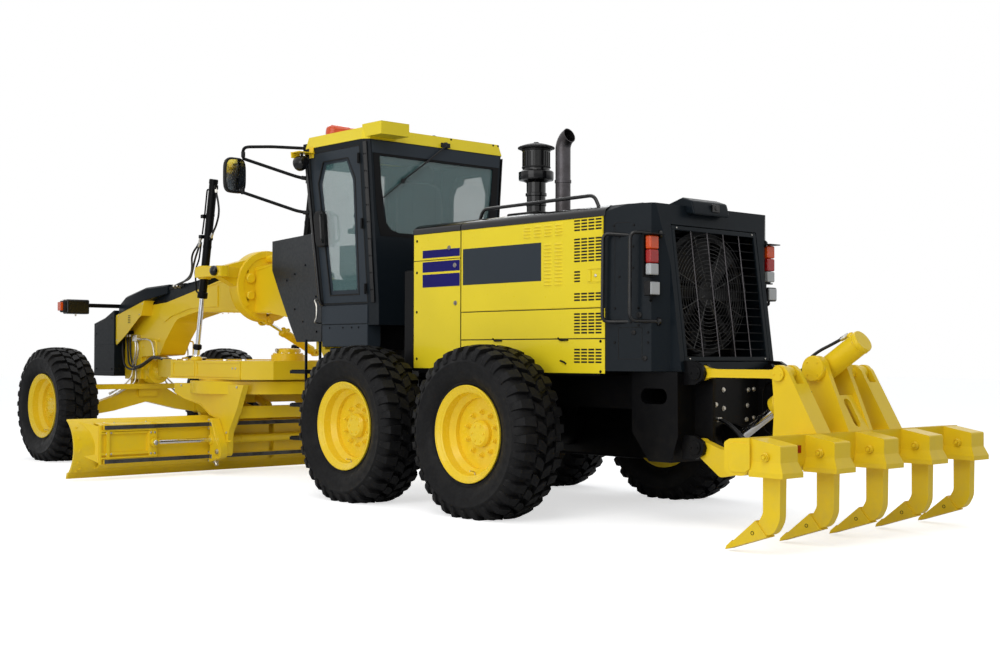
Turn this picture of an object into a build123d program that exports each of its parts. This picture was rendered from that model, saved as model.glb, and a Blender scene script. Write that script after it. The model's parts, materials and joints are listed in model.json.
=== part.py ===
"""Motor grader, articulated, six wheels, with blade, circle and rear ripper.

Millimetres.  +X runs forward, +Y to the machine's left and +Z up.  The origin is on the ground
at the middle of the machine's length and width.  Stations are distances measured forward from
the axis of the rearmost wheels; at() turns a station into a model X.
"""
import os
from math import atan2, cos, hypot, pi, radians, sin, tan

from build123d import *

os.makedirs("parts", exist_ok=True)

# ---------------------------------------------------------------- driving dimensions
# Overall plan
NOSE = 7960.0                 # station of the nose box's front face
RIPPER_END = -2740.0          # station of the ripper pockets' back
TANDEM_SPACING = 1525.0       # rear wheel to middle wheel
WHEELBASE = 6495.0            # tandem centre to front axle
TRACK = 2155.0                # tyre centre to tyre centre
AXLE_Z = 615.0

# Wheels
TYRE_R = 645.0                # free radius
SHOULDER_R = 622.0
TYRE_W = 445.0
TREAD_W = 360.0
TREAD_THICK = 60.0
RIM_R = 317.5                 # bead seat
FLANGE_R = 355.5
RIM_W = 365.0                 # over the flanges
FLANGE_T = 14.5
DISC_FACE = 25.0              # disc's outer face from the rim's centre
DISC_T = 20.0
HUB_R = 130.0
HUB_BACK = 80.0               # hub's back face behind the rim's centre
HUB_CAP_R = 100.0
FIT = 0.3                     # running clearance at pins, shafts and seats
GAP = 5.0                     # clearance round doors and panels
PIVOT_R = 4.0                 # doors' pivot pins
PIVOT_IN = 8.0                # pivot axis in from the door's edge and face
PIN_SHORT = 0.9               # the leaning door pins stop this far short of sill and header

# Rear frame and hitch
HITCH = 1600.0                # station of the articulation pin
HITCH_R = 150.0
HITCH_PIN_R = 60.0
HITCH_Z = (800.0, 1160.0)     # outer faces of the fork
FORK_T = 42.0
RAIL_Y = (330.0, 450.0)
RAIL_Z = (805.0, 1075.0)
TANDEM_Y = (560.0, 800.0)     # chain case, inner and outer face
TANDEM_R = 265.0
AXLE_TUBE_R = 190.0
TAIL_X = -1400.0
TAIL_Y = 560.0
TAIL_Z = (450.0, 1075.0)

# Hood
HOOD_FRONT = 1250.0
HOOD_SIDE_END = -906.0
HOOD_Y = 750.0
HOOD_Z = (1080.0, 2250.0)
HOOD_WALL = 25.0
CORNER = (-1240.0, 648.0)     # station and half width where the corner panel folds
REAR_HALF = 530.0             # half width of the rear face
REAR_TOP = (-1270.0, 2149.0)  # station and height on the slanted rear face
REAR_LOW = (-1408.0, 1105.0)
DOOR_X = (-880.0, 655.0)      # service door, rear and front edge stations
DOOR_Z = (1530.0, 2175.0)
DOOR_T = 25.0
GRILLE_HALF = 480.0
GRILLE_H = 960.0
GRILLE_T = 18.0
GRILLE_BAR = 9.0
FAN_R = 400.0
FAN_BLADES = 8
FAN_Z = 1640.0
EXHAUST = (124.0, 150.0)      # station and Y
EXHAUST_R = 60.0
EXHAUST_TOP = 2990.0
CLEANER = (430.0, 150.0)

# Cab
CAB_REAR = 1850.0
CAB_WIDE = 1910.0             # where the full width begins
CAB_CORNER = 2640.0           # front end of the side wall at the floor
CAB_FRONT = 3060.0
CAB_HALF = 700.0              # half width at the floor
CAB_FRONT_HALF = 380.0
CAB_FLARE = 100.0             # the walls lean out by this much at the top
CAB_Z = (1630.0, 3040.0)
CAB_BASE_Z = 1450.0
CAB_WALL = 50.0
ROOF_T = 105.0
DOOR_REAR = 1955.0
DOOR_FRONT = 2600.0
DOOR_LOW = 1650.0
DOOR_HIGH = 2985.0
CAB_DOOR_T = 36.0
GLASS_T = 8.0

# Front frame
NECK_HALF = 160.0
BASE_HALF = 260.0
NOSE_HALF = 300.0
PLATE_HOLE_Y = 210.0          # bolt holes in the nose's front face
PLATE_HOLES_Z = (1010.0, 1310.0)
PLATE_HOLE_R = 13.0
PLATE_HOLE_DEPTH = 60.0

# Front axle
AXLE_HALF_T = 60.0
LEAN_Y = 690.0
LEAN_Z = 560.0
LEAN_PIN_R = 32.0
KING_Y = 830.0
KING_R = 34.0
KNUCKLE_H = 170.0
LEAN_BAR_RISE = 260.0
LEAN_BAR_BACK = 120.0
STEER_ARM = 230.0
ARM_Z = (440.0, 476.0)        # steering arms
TIE_Z = 398.0
BALL_R = 26.0
STUD_R = 10.0                 # stud at the tie rod's far end
CUP_R = 31.0                  # cup round that stud

# Drawbar, circle and blade
BALL = (6940.0, 985.0)        # station and height of the drawbar's front ball
DRAWBAR_HALF = 660.0
DRAWBAR_Z = (945.0, 1130.0)
DRAWBAR_X = (3850.0, 5440.0)
CIRCLE = 4650.0
CIRCLE_R = 765.0
CIRCLE_BORE = 640.0
CIRCLE_Z = (800.0, 925.0)
ARM_Y = (610.0, 670.0)
PITCH = (4330.0, 235.0)       # station and height of the blade's pitch pins
PITCH_PIN_R = 35.0
EDGE_X = 4720.0
EDGE_Z = 20.0
BLADE_HALF = 2134.0
BLADE_TOP = 580.0
BLADE_BACK = 4560.0           # rearmost station of the moldboard's back
PLATE_T = 22.0
RAIL_HALF = 1870.0
RAIL_LOW = 180.0
RAIL_HIGH = 500.0
RAIL_SIZE = 44.0
SHIFT_TRAVEL = 550.0          # blade side shift, each way

# Lift and centre-shift cylinders
YOKE = (4858.4, 600.0, 2030.0)
YOKE_T = 104.0                # yoke arm's depth
LIFT_EYE = (5013.0, 600.0, 1175.0)
LIFT_TOP = 2960.0
LIFT_LOW = 1780.0
LIFT_R = 42.0
YOKE_R = 57.0
LIFT_ROD_R = 25.0
SADDLE = 4680.0
SADDLE_Z = 1900.0
SADDLE_R = 370.0
SHIFT_PIN = (4680.0, -640.0, 1215.0)
SHIFT_EYE = (4680.0, -20.0, 1545.0)
SHIFT_R = 44.0
SHIFT_SLOT = 50.0             # half width of the saddle's slot
SHIFT_ROD_R = 20.0
SHIFT_BARREL = 470.0          # barrel's mouth, along the axis from the drawbar's end
SHIFT_ROD_TIP = 240.0         # rod's inner end

# Ripper
RIP_FRAME_PIN = -1500.0
RIP_BEAM_PIN = -2200.0
RIP_LOW = 560.0
RIP_HIGH = 1070.0
RIP_Y = (385.0, 455.0)        # arm and link, inner and outer face
RIP_PIN_R = 32.0
TOWER_T = 36.0                # plates on both sides of the arm and link
BEAM_HALF = 1200.0
SHANKS = 5
SHANK_PITCH = 550.0
SHANK_T = 62.0
SHANK_TOP = 640.0
TIP_T = 84.0
POCKET_HALF = 85.0
POCKET_LIP = 103.0            # half width of the flared lip
RIP_CYL_FRAME = (-1500.0, 610.0)
RIP_TRUNNION = (-2230.0, 1105.0)
TRUNNION_R = 86.0
RIP_CYL_R = 76.0
RIP_ROD_R = 38.0

# ---------------------------------------------------------------- values worked out
MIDDLE = (NOSE + RIPPER_END) / 2
FRONT_AXLE = TANDEM_SPACING / 2 + WHEELBASE
REAR_LEAN = atan2(REAR_TOP[0] - REAR_LOW[0], REAR_TOP[1] - REAR_LOW[1])
CAB_H = CAB_Z[1] - CAB_Z[0]
WALL_LEAN = atan2(CAB_FLARE, CAB_H)
SIDES = (("left", 1), ("right", -1))


def at(station):
    """Model X of a station."""
    return station - MIDDLE


# ---------------------------------------------------------------- helpers
def side_plane(y):
    """Plane seen from the machine's right: local x is X, local y is Z."""
    return Plane(origin=(0, y, 0), x_dir=(1, 0, 0), z_dir=(0, -1, 0))


def cross_plane(x):
    """Plane across the machine: local x is Y, local y is Z."""
    return Plane(origin=(x, 0, 0), x_dir=(0, 1, 0), z_dir=(1, 0, 0))


def fitting_radius(points, index, radius):
    """The radius asked for, or less where a corner's neighbours are too near for it."""
    corner = Vector(*points[index])
    before = Vector(*points[index - 1]) - corner
    after = Vector(*points[(index + 1) % len(points)]) - corner
    half_angle = radians(before.get_angle(after)) / 2
    return min(radius, 0.45 * min(before.length, after.length) * tan(half_angle))


def slab(plane, points, low, high, mode, rounds):
    """Outline pushed both ways from a plane; rounds gives radii for corners by their index."""
    with BuildSketch(plane) as outline:
        Polygon(*points, align=None)
        for index, radius in (rounds or {}).items():
            corner = outline.vertices().sort_by_distance((*points[index], 0))[0]
            fillet(corner, fitting_radius(points, index, radius))
    extrude(outline.sketch, amount=abs(high - low) / 2, both=True, mode=mode)


def side_slab(points, y_low, y_high, mode=Mode.ADD, rounds=None):
    """Outline in station and Z, extruded between two Y values."""
    slab(side_plane((y_low + y_high) / 2), [(at(s), z) for s, z in points], y_low, y_high, mode, rounds)


def plan_slab(points, z_low, z_high, mode=Mode.ADD, rounds=None):
    """Outline in station and Y, extruded between two heights."""
    slab(Plane.XY.offset((z_low + z_high) / 2), [(at(s), y) for s, y in points], z_low, z_high, mode,
         rounds)


def cross_slab(points, s_low, s_high, mode=Mode.ADD, rounds=None):
    """Outline in Y and Z, extruded between two stations."""
    slab(cross_plane(at((s_low + s_high) / 2)), points, s_low, s_high, mode, rounds)


def block(stations, ys, zs, mode=Mode.ADD):
    """Box between two stations, two Y values and two heights."""
    middle = (at(sum(stations) / 2), sum(ys) / 2, sum(zs) / 2)
    with Locations(middle):
        Box(abs(stations[1] - stations[0]), abs(ys[1] - ys[0]), abs(zs[1] - zs[0]), mode=mode)


def bar(start, end, radius, mode=Mode.ADD, bore=0.0):
    """Round bar or tube between two points given as station, Y and Z."""
    a = Vector(at(start[0]), start[1], start[2])
    b = Vector(at(end[0]), end[1], end[2])
    with BuildSketch(Plane(origin=a, z_dir=b - a)) as section:
        Circle(radius)
        if bore:
            Circle(bore, mode=Mode.SUBTRACT)
    extrude(section.sketch, amount=(b - a).length, mode=mode)


def across(station, z, y_low, y_high, radius, mode=Mode.ADD):
    """Round bar along Y."""
    bar((station, y_low, z), (station, y_high, z), radius, mode)


def save(piece, name):
    """Label a finished piece and write it."""
    piece.part.label = name
    export_step(piece.part, f"parts/{name}.step")


def save_mirrored(piece, name):
    """Write the same piece for the machine's other side."""
    with BuildPart() as other:
        mirror(piece.part, about=Plane.XZ)
    save(other, name)


# ---------------------------------------------------------------- wheels
def tyre(station, side, name):
    """Radial tyre with a flat where it stands on the ground."""
    centre = (at(station), side * TRACK / 2, AXLE_Z)
    bead_r = RIM_R + FIT
    bead_w = RIM_W / 2 - FLANGE_T - FIT
    toe = bead_w - 45
    inner = TYRE_R - TREAD_THICK
    wide = TYRE_W / 2
    with BuildPart() as piece:
        with BuildSketch(Plane(origin=centre, x_dir=(1, 0, 0), z_dir=(0, 0, 1))):
            with BuildLine():
                Line((bead_r, -bead_w), (FLANGE_R + 2, -bead_w))
                ThreePointArc((FLANGE_R + 2, -bead_w), (480, -wide), (SHOULDER_R, -TREAD_W / 2))
                ThreePointArc((SHOULDER_R, -TREAD_W / 2), (TYRE_R, 0), (SHOULDER_R, TREAD_W / 2))
                ThreePointArc((SHOULDER_R, TREAD_W / 2), (480, wide), (FLANGE_R + 2, bead_w))
                Polyline((FLANGE_R + 2, bead_w), (bead_r, bead_w), (bead_r, toe))
                ThreePointArc((bead_r, toe), (470, wide - 28), (inner - 18, TREAD_W / 2 - 30))
                Line((inner - 18, TREAD_W / 2 - 30), (inner - 18, 30 - TREAD_W / 2))
                ThreePointArc((inner - 18, 30 - TREAD_W / 2), (470, 28 - wide), (bead_r, -toe))
                Line((bead_r, -toe), (bead_r, -bead_w))
            make_face()
        revolve(axis=Axis(centre, (0, 1, 0)))
        block((station - TYRE_R, station + TYRE_R), (centre[1] - wide, centre[1] + wide),
              (-TYRE_R, 0), Mode.SUBTRACT)
    save(piece, name)


def rim(station, side, name):
    """Deep one-piece wheel with its disc, hub and cap."""
    centre = (at(station), side * TRACK / 2, AXLE_Z)
    half = RIM_W / 2
    seat = half - FLANGE_T
    face = DISC_FACE
    back = DISC_FACE - DISC_T
    outline = [
        (0, face + 50), (HUB_CAP_R - 15, face + 50), (HUB_CAP_R, face + 30), (HUB_CAP_R, face),
        (262, face), (262, face + 35), (298, face + 70), (304, seat - 10), (FLANGE_R - 12, half),
        (FLANGE_R, half), (FLANGE_R, seat), (RIM_R, seat), (RIM_R, -seat), (FLANGE_R, -seat),
        (FLANGE_R, -half), (303, -half), (303, -60), (285, -20), (255, back), (HUB_R, back),
        (HUB_R, -HUB_BACK), (0, -HUB_BACK),
    ]
    with BuildPart() as piece:
        with BuildSketch(Plane(origin=centre, x_dir=(1, 0, 0), z_dir=(0, 0, 1))):
            Polygon(*[(r, side * t) for r, t in outline], align=None)
        revolve(axis=Axis(centre, (0, 1, 0)))
    save(piece, name)


WHEELS = (("rear", 0.0), ("middle", TANDEM_SPACING), ("front", FRONT_AXLE))
for place, station in WHEELS:
    for side_name, side in SIDES:
        tyre(station, side, f"{place}_tyre_{side_name}")
        rim(station, side, f"{place}_rim_{side_name}")

# ---------------------------------------------------------------- tandem drives
spindle_end = TRACK / 2 - HUB_BACK - FIT
with BuildPart() as tandem:
    with BuildSketch(side_plane(sum(TANDEM_Y) / 2)):
        with Locations((at(TANDEM_SPACING / 2), AXLE_Z)):
            SlotCenterToCenter(TANDEM_SPACING, 2 * TANDEM_R)
    extrude(amount=(TANDEM_Y[1] - TANDEM_Y[0]) / 2, both=True)
    fillet(tandem.edges().filter_by(Plane.XZ), radius=24)
    for station in (0.0, TANDEM_SPACING):
        across(station, AXLE_Z, TANDEM_Y[1] - 10, spindle_end, HUB_R - 12)
save(tandem, "tandem_case_left")
save_mirrored(tandem, "tandem_case_right")

# ---------------------------------------------------------------- rear frame
with BuildPart() as rear_frame:
    for _, side in SIDES:
        ys = (side * RAIL_Y[0], side * RAIL_Y[1])
        block((TAIL_X + 300, HITCH - HITCH_R - 30), ys, RAIL_Z)
        # saddle under the rail, over the axle tube
        side_slab([(TANDEM_SPACING / 2 - 260, RAIL_Z[0] + 1), (TANDEM_SPACING / 2 + 260, RAIL_Z[0] + 1),
                   (TANDEM_SPACING / 2 + 150, AXLE_Z), (TANDEM_SPACING / 2 - 150, AXLE_Z)], *ys)
    across(TANDEM_SPACING / 2, AXLE_Z, -TANDEM_Y[0], TANDEM_Y[0], AXLE_TUBE_R)
    # cross members
    for station in (250.0, 1150.0):
        block((station - 60, station + 60), (-RAIL_Y[0] - 5, RAIL_Y[0] + 5),
              (RAIL_Z[0] + 60, RAIL_Z[1] - 60))
    block((HITCH - HITCH_R - 90, HITCH - HITCH_R - 30), (-RAIL_Y[1], RAIL_Y[1]), HITCH_Z)
    # tail casting, with its tow eye through both sides
    side_slab([(TAIL_X, TAIL_Z[1]), (TAIL_X - 4, TAIL_Z[0] + 180), (TAIL_X + 60, TAIL_Z[0]),
               (TAIL_X + 260, TAIL_Z[0]), (TAIL_X + 420, TAIL_Z[0] + 200), (TAIL_X + 420, TAIL_Z[1])],
              -TAIL_Y, TAIL_Y)
    with BuildSketch(side_plane(0)):
        with Locations((at(TAIL_X + 215), 905)):
            SlotOverall(240, 110)
    extrude(amount=TAIL_Y + 1, both=True, mode=Mode.SUBTRACT)
    # fork of the articulation hitch
    for z_low, z_high in ((HITCH_Z[0], HITCH_Z[0] + FORK_T), (HITCH_Z[1] - FORK_T, HITCH_Z[1])):
        plan_slab([(HITCH - HITCH_R - 60, -RAIL_Y[1]), (HITCH, -HITCH_R), (HITCH, HITCH_R),
                   (HITCH - HITCH_R - 60, RAIL_Y[1])], z_low, z_high)
        bar((HITCH, 0, z_low), (HITCH, 0, z_high), HITCH_R)
    bar((HITCH, 0, HITCH_Z[0] - 5), (HITCH, 0, HITCH_Z[1] + 5), HITCH_PIN_R + FIT, Mode.SUBTRACT)
    # hood bearers along the sills
    for _, side in SIDES:
        block((HOOD_SIDE_END + 60, HOOD_FRONT - 60), (side * (RAIL_Y[1] - 1), side * HOOD_Y),
              (RAIL_Z[1] - 30, HOOD_Z[0]))
    # ripper bracket: two cheeks, each carrying an upper and a lower pin
    for _, side in SIDES:
        side_slab([(TAIL_X + 5, RIP_HIGH), (TAIL_X - 22, RIP_HIGH), (TAIL_X - 50, RIP_HIGH + 50),
                   (RIP_FRAME_PIN - 10, RIP_HIGH + 60),
                   (RIP_FRAME_PIN - 62, RIP_HIGH), (RIP_FRAME_PIN - 62, RIP_LOW),
                   (RIP_FRAME_PIN - 10, RIP_LOW - 60), (TAIL_X + 5, RIP_LOW - 60)],
                  side * (RIP_Y[0] - 36), side * (RIP_Y[0] - 6))
        for z in (RIP_LOW, RIP_HIGH):
            across(RIP_FRAME_PIN, z, side * (RIP_Y[0] - 10), side * (RIP_Y[1] + 8), RIP_PIN_R)
        # ears of the ripper cylinder's rod
        side_slab([(TAIL_X + 5, 710), (RIP_CYL_FRAME[0] - 50, RIP_CYL_FRAME[1] + 50),
                   (RIP_CYL_FRAME[0] - 50, RIP_CYL_FRAME[1] - 50), (TAIL_X + 5, 570)],
                  side * 48, side * 68)
save(rear_frame, "rear_frame")

# ---------------------------------------------------------------- engine, radiator, fan
with BuildPart() as engine:
    block((-650, 900), (-RAIL_Y[0] - 15, RAIL_Y[0] + 15), (RAIL_Z[1], 1900))
    chamfer(engine.edges().group_by(Axis.Z)[-1], length=60)
save(engine, "engine")

RADIATOR_X = (-1080.0, -960.0)
with BuildPart() as radiator:
    block(RADIATOR_X, (-500, 500), (RAIL_Z[1], 2110))
    # recessed core
    block((RADIATOR_X[0] - 1, RADIATOR_X[0] + 22), (-440, 440), (1180, 2070), Mode.SUBTRACT)
    # fan bearing on the core
    bar((RADIATOR_X[0] + 25, 0, FAN_Z), (RADIATOR_X[0] - 45, 0, FAN_Z), 60)
save(radiator, "radiator")

FAN_X = RADIATOR_X[0] - 45 - FIT
with BuildPart() as fan:
    bar((FAN_X, 0, FAN_Z), (FAN_X - 70, 0, FAN_Z), 90)
    for turn in range(FAN_BLADES):
        angle = turn * 360 / FAN_BLADES
        blade_plane = Plane(origin=(at(FAN_X - 35), 0, FAN_Z),
                            z_dir=(0, cos(radians(angle)), sin(radians(angle))), x_dir=(1, 0, 0))
        with BuildSketch(blade_plane.offset(60)) as root:
            Rectangle(12, 110, rotation=-32)
        extrude(root.sketch, amount=FAN_R - 60)
save(fan, "fan")

# ---------------------------------------------------------------- hood
rear_mid_s = (REAR_TOP[0] + REAR_LOW[0]) / 2
rear_mid_z = (REAR_TOP[1] + REAR_LOW[1]) / 2
rear_plane = Plane(origin=(at(rear_mid_s), 0, rear_mid_z), x_dir=(0, -1, 0),
                   z_dir=(-cos(REAR_LEAN), 0, sin(REAR_LEAN)))


def hood_outline(inset):
    """Plan outline of the hood, drawn in by a wall thickness."""
    s_end = -1500.0
    return [(HOOD_FRONT - inset, -HOOD_Y + inset), (HOOD_FRONT - inset, HOOD_Y - inset),
            (HOOD_SIDE_END, HOOD_Y - inset), (CORNER[0], CORNER[1] - inset),
            (CORNER[0] - 70, REAR_HALF - inset), (s_end, REAR_HALF - inset),
            (s_end, inset - REAR_HALF), (CORNER[0] - 70, inset - REAR_HALF),
            (CORNER[0], inset - CORNER[1]), (HOOD_SIDE_END, inset - HOOD_Y)]


with BuildPart() as hood:
    plan_slab(hood_outline(0), *HOOD_Z)
    with BuildSketch(rear_plane):
        Rectangle(3000, 3000)
    extrude(amount=600, mode=Mode.SUBTRACT)
    top_edges = hood.edges().filter_by(Axis.X).group_by(Axis.Z)[-1]
    chamfer(top_edges, length=45, length2=50)
with BuildPart() as hood_space:
    plan_slab(hood_outline(HOOD_WALL), HOOD_Z[0] - 1, HOOD_Z[1] - HOOD_WALL - 25)
    with BuildSketch(rear_plane.offset(-HOOD_WALL)):
        Rectangle(3000, 3000)
    extrude(amount=600, mode=Mode.SUBTRACT)
with BuildPart() as engine_hood:
    add(hood.part)
    add(hood_space.part, mode=Mode.SUBTRACT)
    for _, side in SIDES:
        block((DOOR_X[0] - GAP, DOOR_X[1] + GAP), (side * (HOOD_Y - HOOD_WALL - 40), side * (HOOD_Y + 40)),
              (DOOR_Z[0] - GAP, DOOR_Z[1] + GAP), Mode.SUBTRACT)
    with BuildSketch(rear_plane.offset(20)):
        Rectangle(2 * (GRILLE_HALF + GAP), GRILLE_H + 2 * GAP)
    extrude(amount=-160, mode=Mode.SUBTRACT)
save(engine_hood, "engine_hood")

with BuildPart() as service_door:
    block(DOOR_X, (HOOD_Y - DOOR_T, HOOD_Y), DOOR_Z)
    # pivot pins reach into the hood's sill and header
    pivot = (DOOR_X[1] - PIVOT_IN, HOOD_Y - PIVOT_IN)
    bar((*pivot, DOOR_Z[0] - GAP + FIT), (*pivot, DOOR_Z[1] + GAP - FIT), PIVOT_R)
save(service_door, "service_door_left")
save_mirrored(service_door, "service_door_right")

with BuildPart() as grille:
    with BuildSketch(rear_plane.offset(-GRILLE_T)):
        Rectangle(2 * GRILLE_HALF, GRILLE_H)
    extrude(amount=GRILLE_T)
    columns, rows = 5, 15
    field_w = 2 * GRILLE_HALF - 70
    field_h = GRILLE_H - 70
    pitch_x = field_w / columns
    pitch_y = field_h / rows
    with BuildSketch(rear_plane):
        with GridLocations(pitch_x, pitch_y, columns, rows):
            Rectangle(pitch_x - GRILLE_BAR, pitch_y - GRILLE_BAR)
    extrude(amount=-GRILLE_T, mode=Mode.SUBTRACT)
    half_pin = GRILLE_H / 2 + GAP - FIT
    foot = rear_plane.offset(-PIVOT_IN).from_local_coords((GRILLE_HALF - PIVOT_IN, -half_pin))
    head = rear_plane.offset(-PIVOT_IN).from_local_coords((GRILLE_HALF - PIVOT_IN, half_pin))
    pin = Plane(origin=foot, z_dir=head - foot)
    with BuildSketch(pin):
        Circle(PIVOT_R)
    extrude(amount=2 * half_pin)
save(grille, "rear_grille")

# ---------------------------------------------------------------- exhaust and air cleaner
roof_of_hood = HOOD_Z[1]
with BuildPart() as exhaust:
    bend = 110.0
    with BuildLine() as route:
        foot = (at(EXHAUST[0]), EXHAUST[1], roof_of_hood)
        knee = (at(EXHAUST[0]), EXHAUST[1], EXHAUST_TOP - bend - EXHAUST_R)
        Line(foot, knee)
        ThreePointArc(knee, (at(EXHAUST[0] - bend * (1 - cos(pi / 5))), EXHAUST[1],
                             EXHAUST_TOP - bend - EXHAUST_R + bend * sin(pi / 5)),
                      (at(EXHAUST[0] - bend * (1 - cos(pi / 2.6))), EXHAUST[1],
                       EXHAUST_TOP - bend - EXHAUST_R + bend * sin(pi / 2.6)))
    with BuildSketch(Plane.XY.offset(roof_of_hood)):
        with Locations((at(EXHAUST[0]), EXHAUST[1])):
            Circle(EXHAUST_R)
            Circle(EXHAUST_R - 6, mode=Mode.SUBTRACT)
    sweep(path=route.wire())
save(exhaust, "exhaust_stack")

with BuildPart() as cleaner:
    z0 = roof_of_hood
    outline = [(0, z0), (78, z0), (78, z0 + 330), (140, z0 + 350), (140, z0 + 395), (108, z0 + 425),
               (108, z0 + 600), (142, z0 + 610), (142, z0 + 635), (60, z0 + 665), (0, z0 + 665)]
    with BuildSketch(Plane(origin=(at(CLEANER[0]), CLEANER[1], 0), x_dir=(1, 0, 0), z_dir=(0, -1, 0))):
        Polygon(*outline, align=None)
    revolve(axis=Axis((at(CLEANER[0]), CLEANER[1], 0), (0, 0, 1)))
save(cleaner, "air_precleaner")

# ---------------------------------------------------------------- front frame
neck_outline = [
    (1790, 862), (3200, 930), (3540, 1400), (3820, 1540), (4300, 1610), (5780, 1660), (6220, 1590),
    (6480, 1345), (6600, 1185), (7050, 1165), (7060, 905), (7440, 905), (7440, 1600), (7300, 1730),
    (6450, 1780), (5600, 1930), (4850, 2075), (4150, 2120), (3650, 1960), (3100, 1380), (1790, 1290),
]
neck_rounds = {2: 400, 3: 400, 5: 600, 6: 260, 7: 500, 8: 60, 14: 600, 16: 500, 17: 260, 18: 300, 19: 400}
with BuildPart() as front_frame:
    side_slab(neck_outline, -NECK_HALF, NECK_HALF, rounds=neck_rounds)
    side_slab([(1790, 862), (3000, 915), (3100, 1380), (1790, 1290)], -BASE_HALF, BASE_HALF)
    # tongue of the hitch and its pin
    plan_slab([(HITCH, -HITCH_R + 4), (HITCH + 200, -HITCH_R + 4), (HITCH + 200, HITCH_R - 4),
               (HITCH, HITCH_R - 4)], HITCH_Z[0] + FORK_T + GAP, HITCH_Z[1] - FORK_T - GAP)
    bar((HITCH, 0, HITCH_Z[0] + FORK_T + GAP), (HITCH, 0, HITCH_Z[1] - FORK_T - GAP), HITCH_R - 4)
    bar((HITCH, 0, HITCH_Z[0]), (HITCH, 0, HITCH_Z[1]), HITCH_PIN_R)
    # cab bearers
    for station in (2080.0, 2850.0):
        block((station - 70, station + 70), (-560, 560), (1240, CAB_BASE_Z))
    # trunnion of the front axle
    block((FRONT_AXLE - AXLE_HALF_T - 30, FRONT_AXLE - AXLE_HALF_T - FIT), (-120, 120), (700, 910))
    block((FRONT_AXLE + AXLE_HALF_T + FIT, FRONT_AXLE + AXLE_HALF_T + 60), (-120, 120), (700, 910))
    # socket of the drawbar's ball, open to the rear
    bar((BALL[0] + 175, 0, BALL[1]), (BALL[0] - 20, 0, BALL[1]), 130)
    block((BALL[0] + 40, BALL[0] + 175), (-130, 130), (905, 1170))
    with Locations((at(BALL[0]), 0, BALL[1])):
        Sphere(90 + FIT, mode=Mode.SUBTRACT)
save(front_frame, "front_frame")

with BuildPart() as nose_cover:
    # tank ahead of the axle and the long cover along the neck
    side_slab([(7441, 940), (NOSE, 940), (NOSE, 1560), (7560, 1650), (7441, 1650)], -NOSE_HALF, NOSE_HALF)
    side_slab([(7441, 1601), (7301, 1731), (6450, 1781), (5600, 1931), (5570, 2030), (6450, 1930),
               (7250, 1850), (7560, 1650), (7560, 1601)], -NECK_HALF + 15, NECK_HALF - 15)
    # bolt holes for a front attachment
    for _, side in SIDES:
        for z in PLATE_HOLES_Z:
            bar((NOSE - PLATE_HOLE_DEPTH, side * PLATE_HOLE_Y, z), (NOSE + 1, side * PLATE_HOLE_Y, z),
                PLATE_HOLE_R, Mode.SUBTRACT)
save(nose_cover, "nose_cover")

# saddle that carries the lift and centre-shift cylinders
with BuildPart() as saddle:
    with BuildSketch(cross_plane(at(SADDLE))) as disc:
        with Locations((0, SADDLE_Z)):
            Circle(SADDLE_R)
            with PolarLocations(SADDLE_R - 70, 6, start_angle=30):
                Circle(26, mode=Mode.SUBTRACT)
    extrude(disc.sketch, amount=80, both=True)
    round_edges = saddle.edges().filter_by(GeomType.CIRCLE)
    rim_edges = round_edges.filter_by(lambda edge: edge.radius > SADDLE_R - 1)
    chamfer(rim_edges, 16)
    block((SADDLE - 81, SADDLE + 81), (-NECK_HALF - FIT, NECK_HALF + FIT), (1619.5, 2093), Mode.SUBTRACT)
    for _, side in SIDES:
        cross_slab([(side * 240, 1830), (side * 240, 2170), (side * 560, YOKE[2] + YOKE_T / 2 - 2),
                    (side * 560, YOKE[2] - YOKE_T / 2 + 2)], SADDLE - 60, SADDLE + 60)
        plan_slab([(SADDLE - 55, side * 330), (SADDLE + 65, side * 330), (SADDLE + 100, side * 515),
                   (YOKE[0] + 87, side * 515), (YOKE[0] + 87, side * 690), (SADDLE - 240, side * 690),
                   (SADDLE - 240, side * 560), (SADDLE - 120, side * 530)],
                  YOKE[2] - YOKE_T / 2, YOKE[2] + YOKE_T / 2, rounds={3: 50, 4: 60, 5: 50, 6: 50, 7: 60})
        bar((SADDLE - 185, side * 680, YOKE[2]), (SADDLE - 185, side * 702, YOKE[2]), 44)
        bar((YOKE[0], side * YOKE[1], YOKE[2] - YOKE_T / 2 - 1),
            (YOKE[0], side * YOKE[1], YOKE[2] + YOKE_T / 2 + 1), YOKE_R + FIT, Mode.SUBTRACT)
    # slot, lobes and pin of the centre-shift rod
    block((SADDLE - SHIFT_SLOT, SADDLE + SHIFT_SLOT), (SHIFT_EYE[1] - 270, SHIFT_EYE[1] + 56),
          (SHIFT_EYE[2] - 60, SHIFT_EYE[2] + 51), Mode.SUBTRACT)
    for sign in (1, -1):
        bar((SADDLE + sign * SHIFT_SLOT, SHIFT_EYE[1], SHIFT_EYE[2]),
            (SADDLE + sign * 80, SHIFT_EYE[1], SHIFT_EYE[2]), 50)
    bar((SADDLE - 86, SHIFT_EYE[1], SHIFT_EYE[2]), (SADDLE + 86, SHIFT_EYE[1], SHIFT_EYE[2]),
        SHIFT_ROD_R - 4)
save(saddle, "lift_saddle")

# ---------------------------------------------------------------- cab


def cab_outline(flare):
    """Plan outline of the cab's walls, drawn out by a flare."""
    half = CAB_HALF + flare
    slope = (CAB_HALF - CAB_FRONT_HALF) / (CAB_FRONT - CAB_CORNER)
    front = CAB_FRONT + flare
    corner = CAB_CORNER + flare
    front_half = half - slope * (front - corner)
    left = [(CAB_REAR, half - 45), (CAB_WIDE, half), (corner, half), (front, front_half)]
    return left + [(s, -y) for s, y in reversed(left)]


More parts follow.
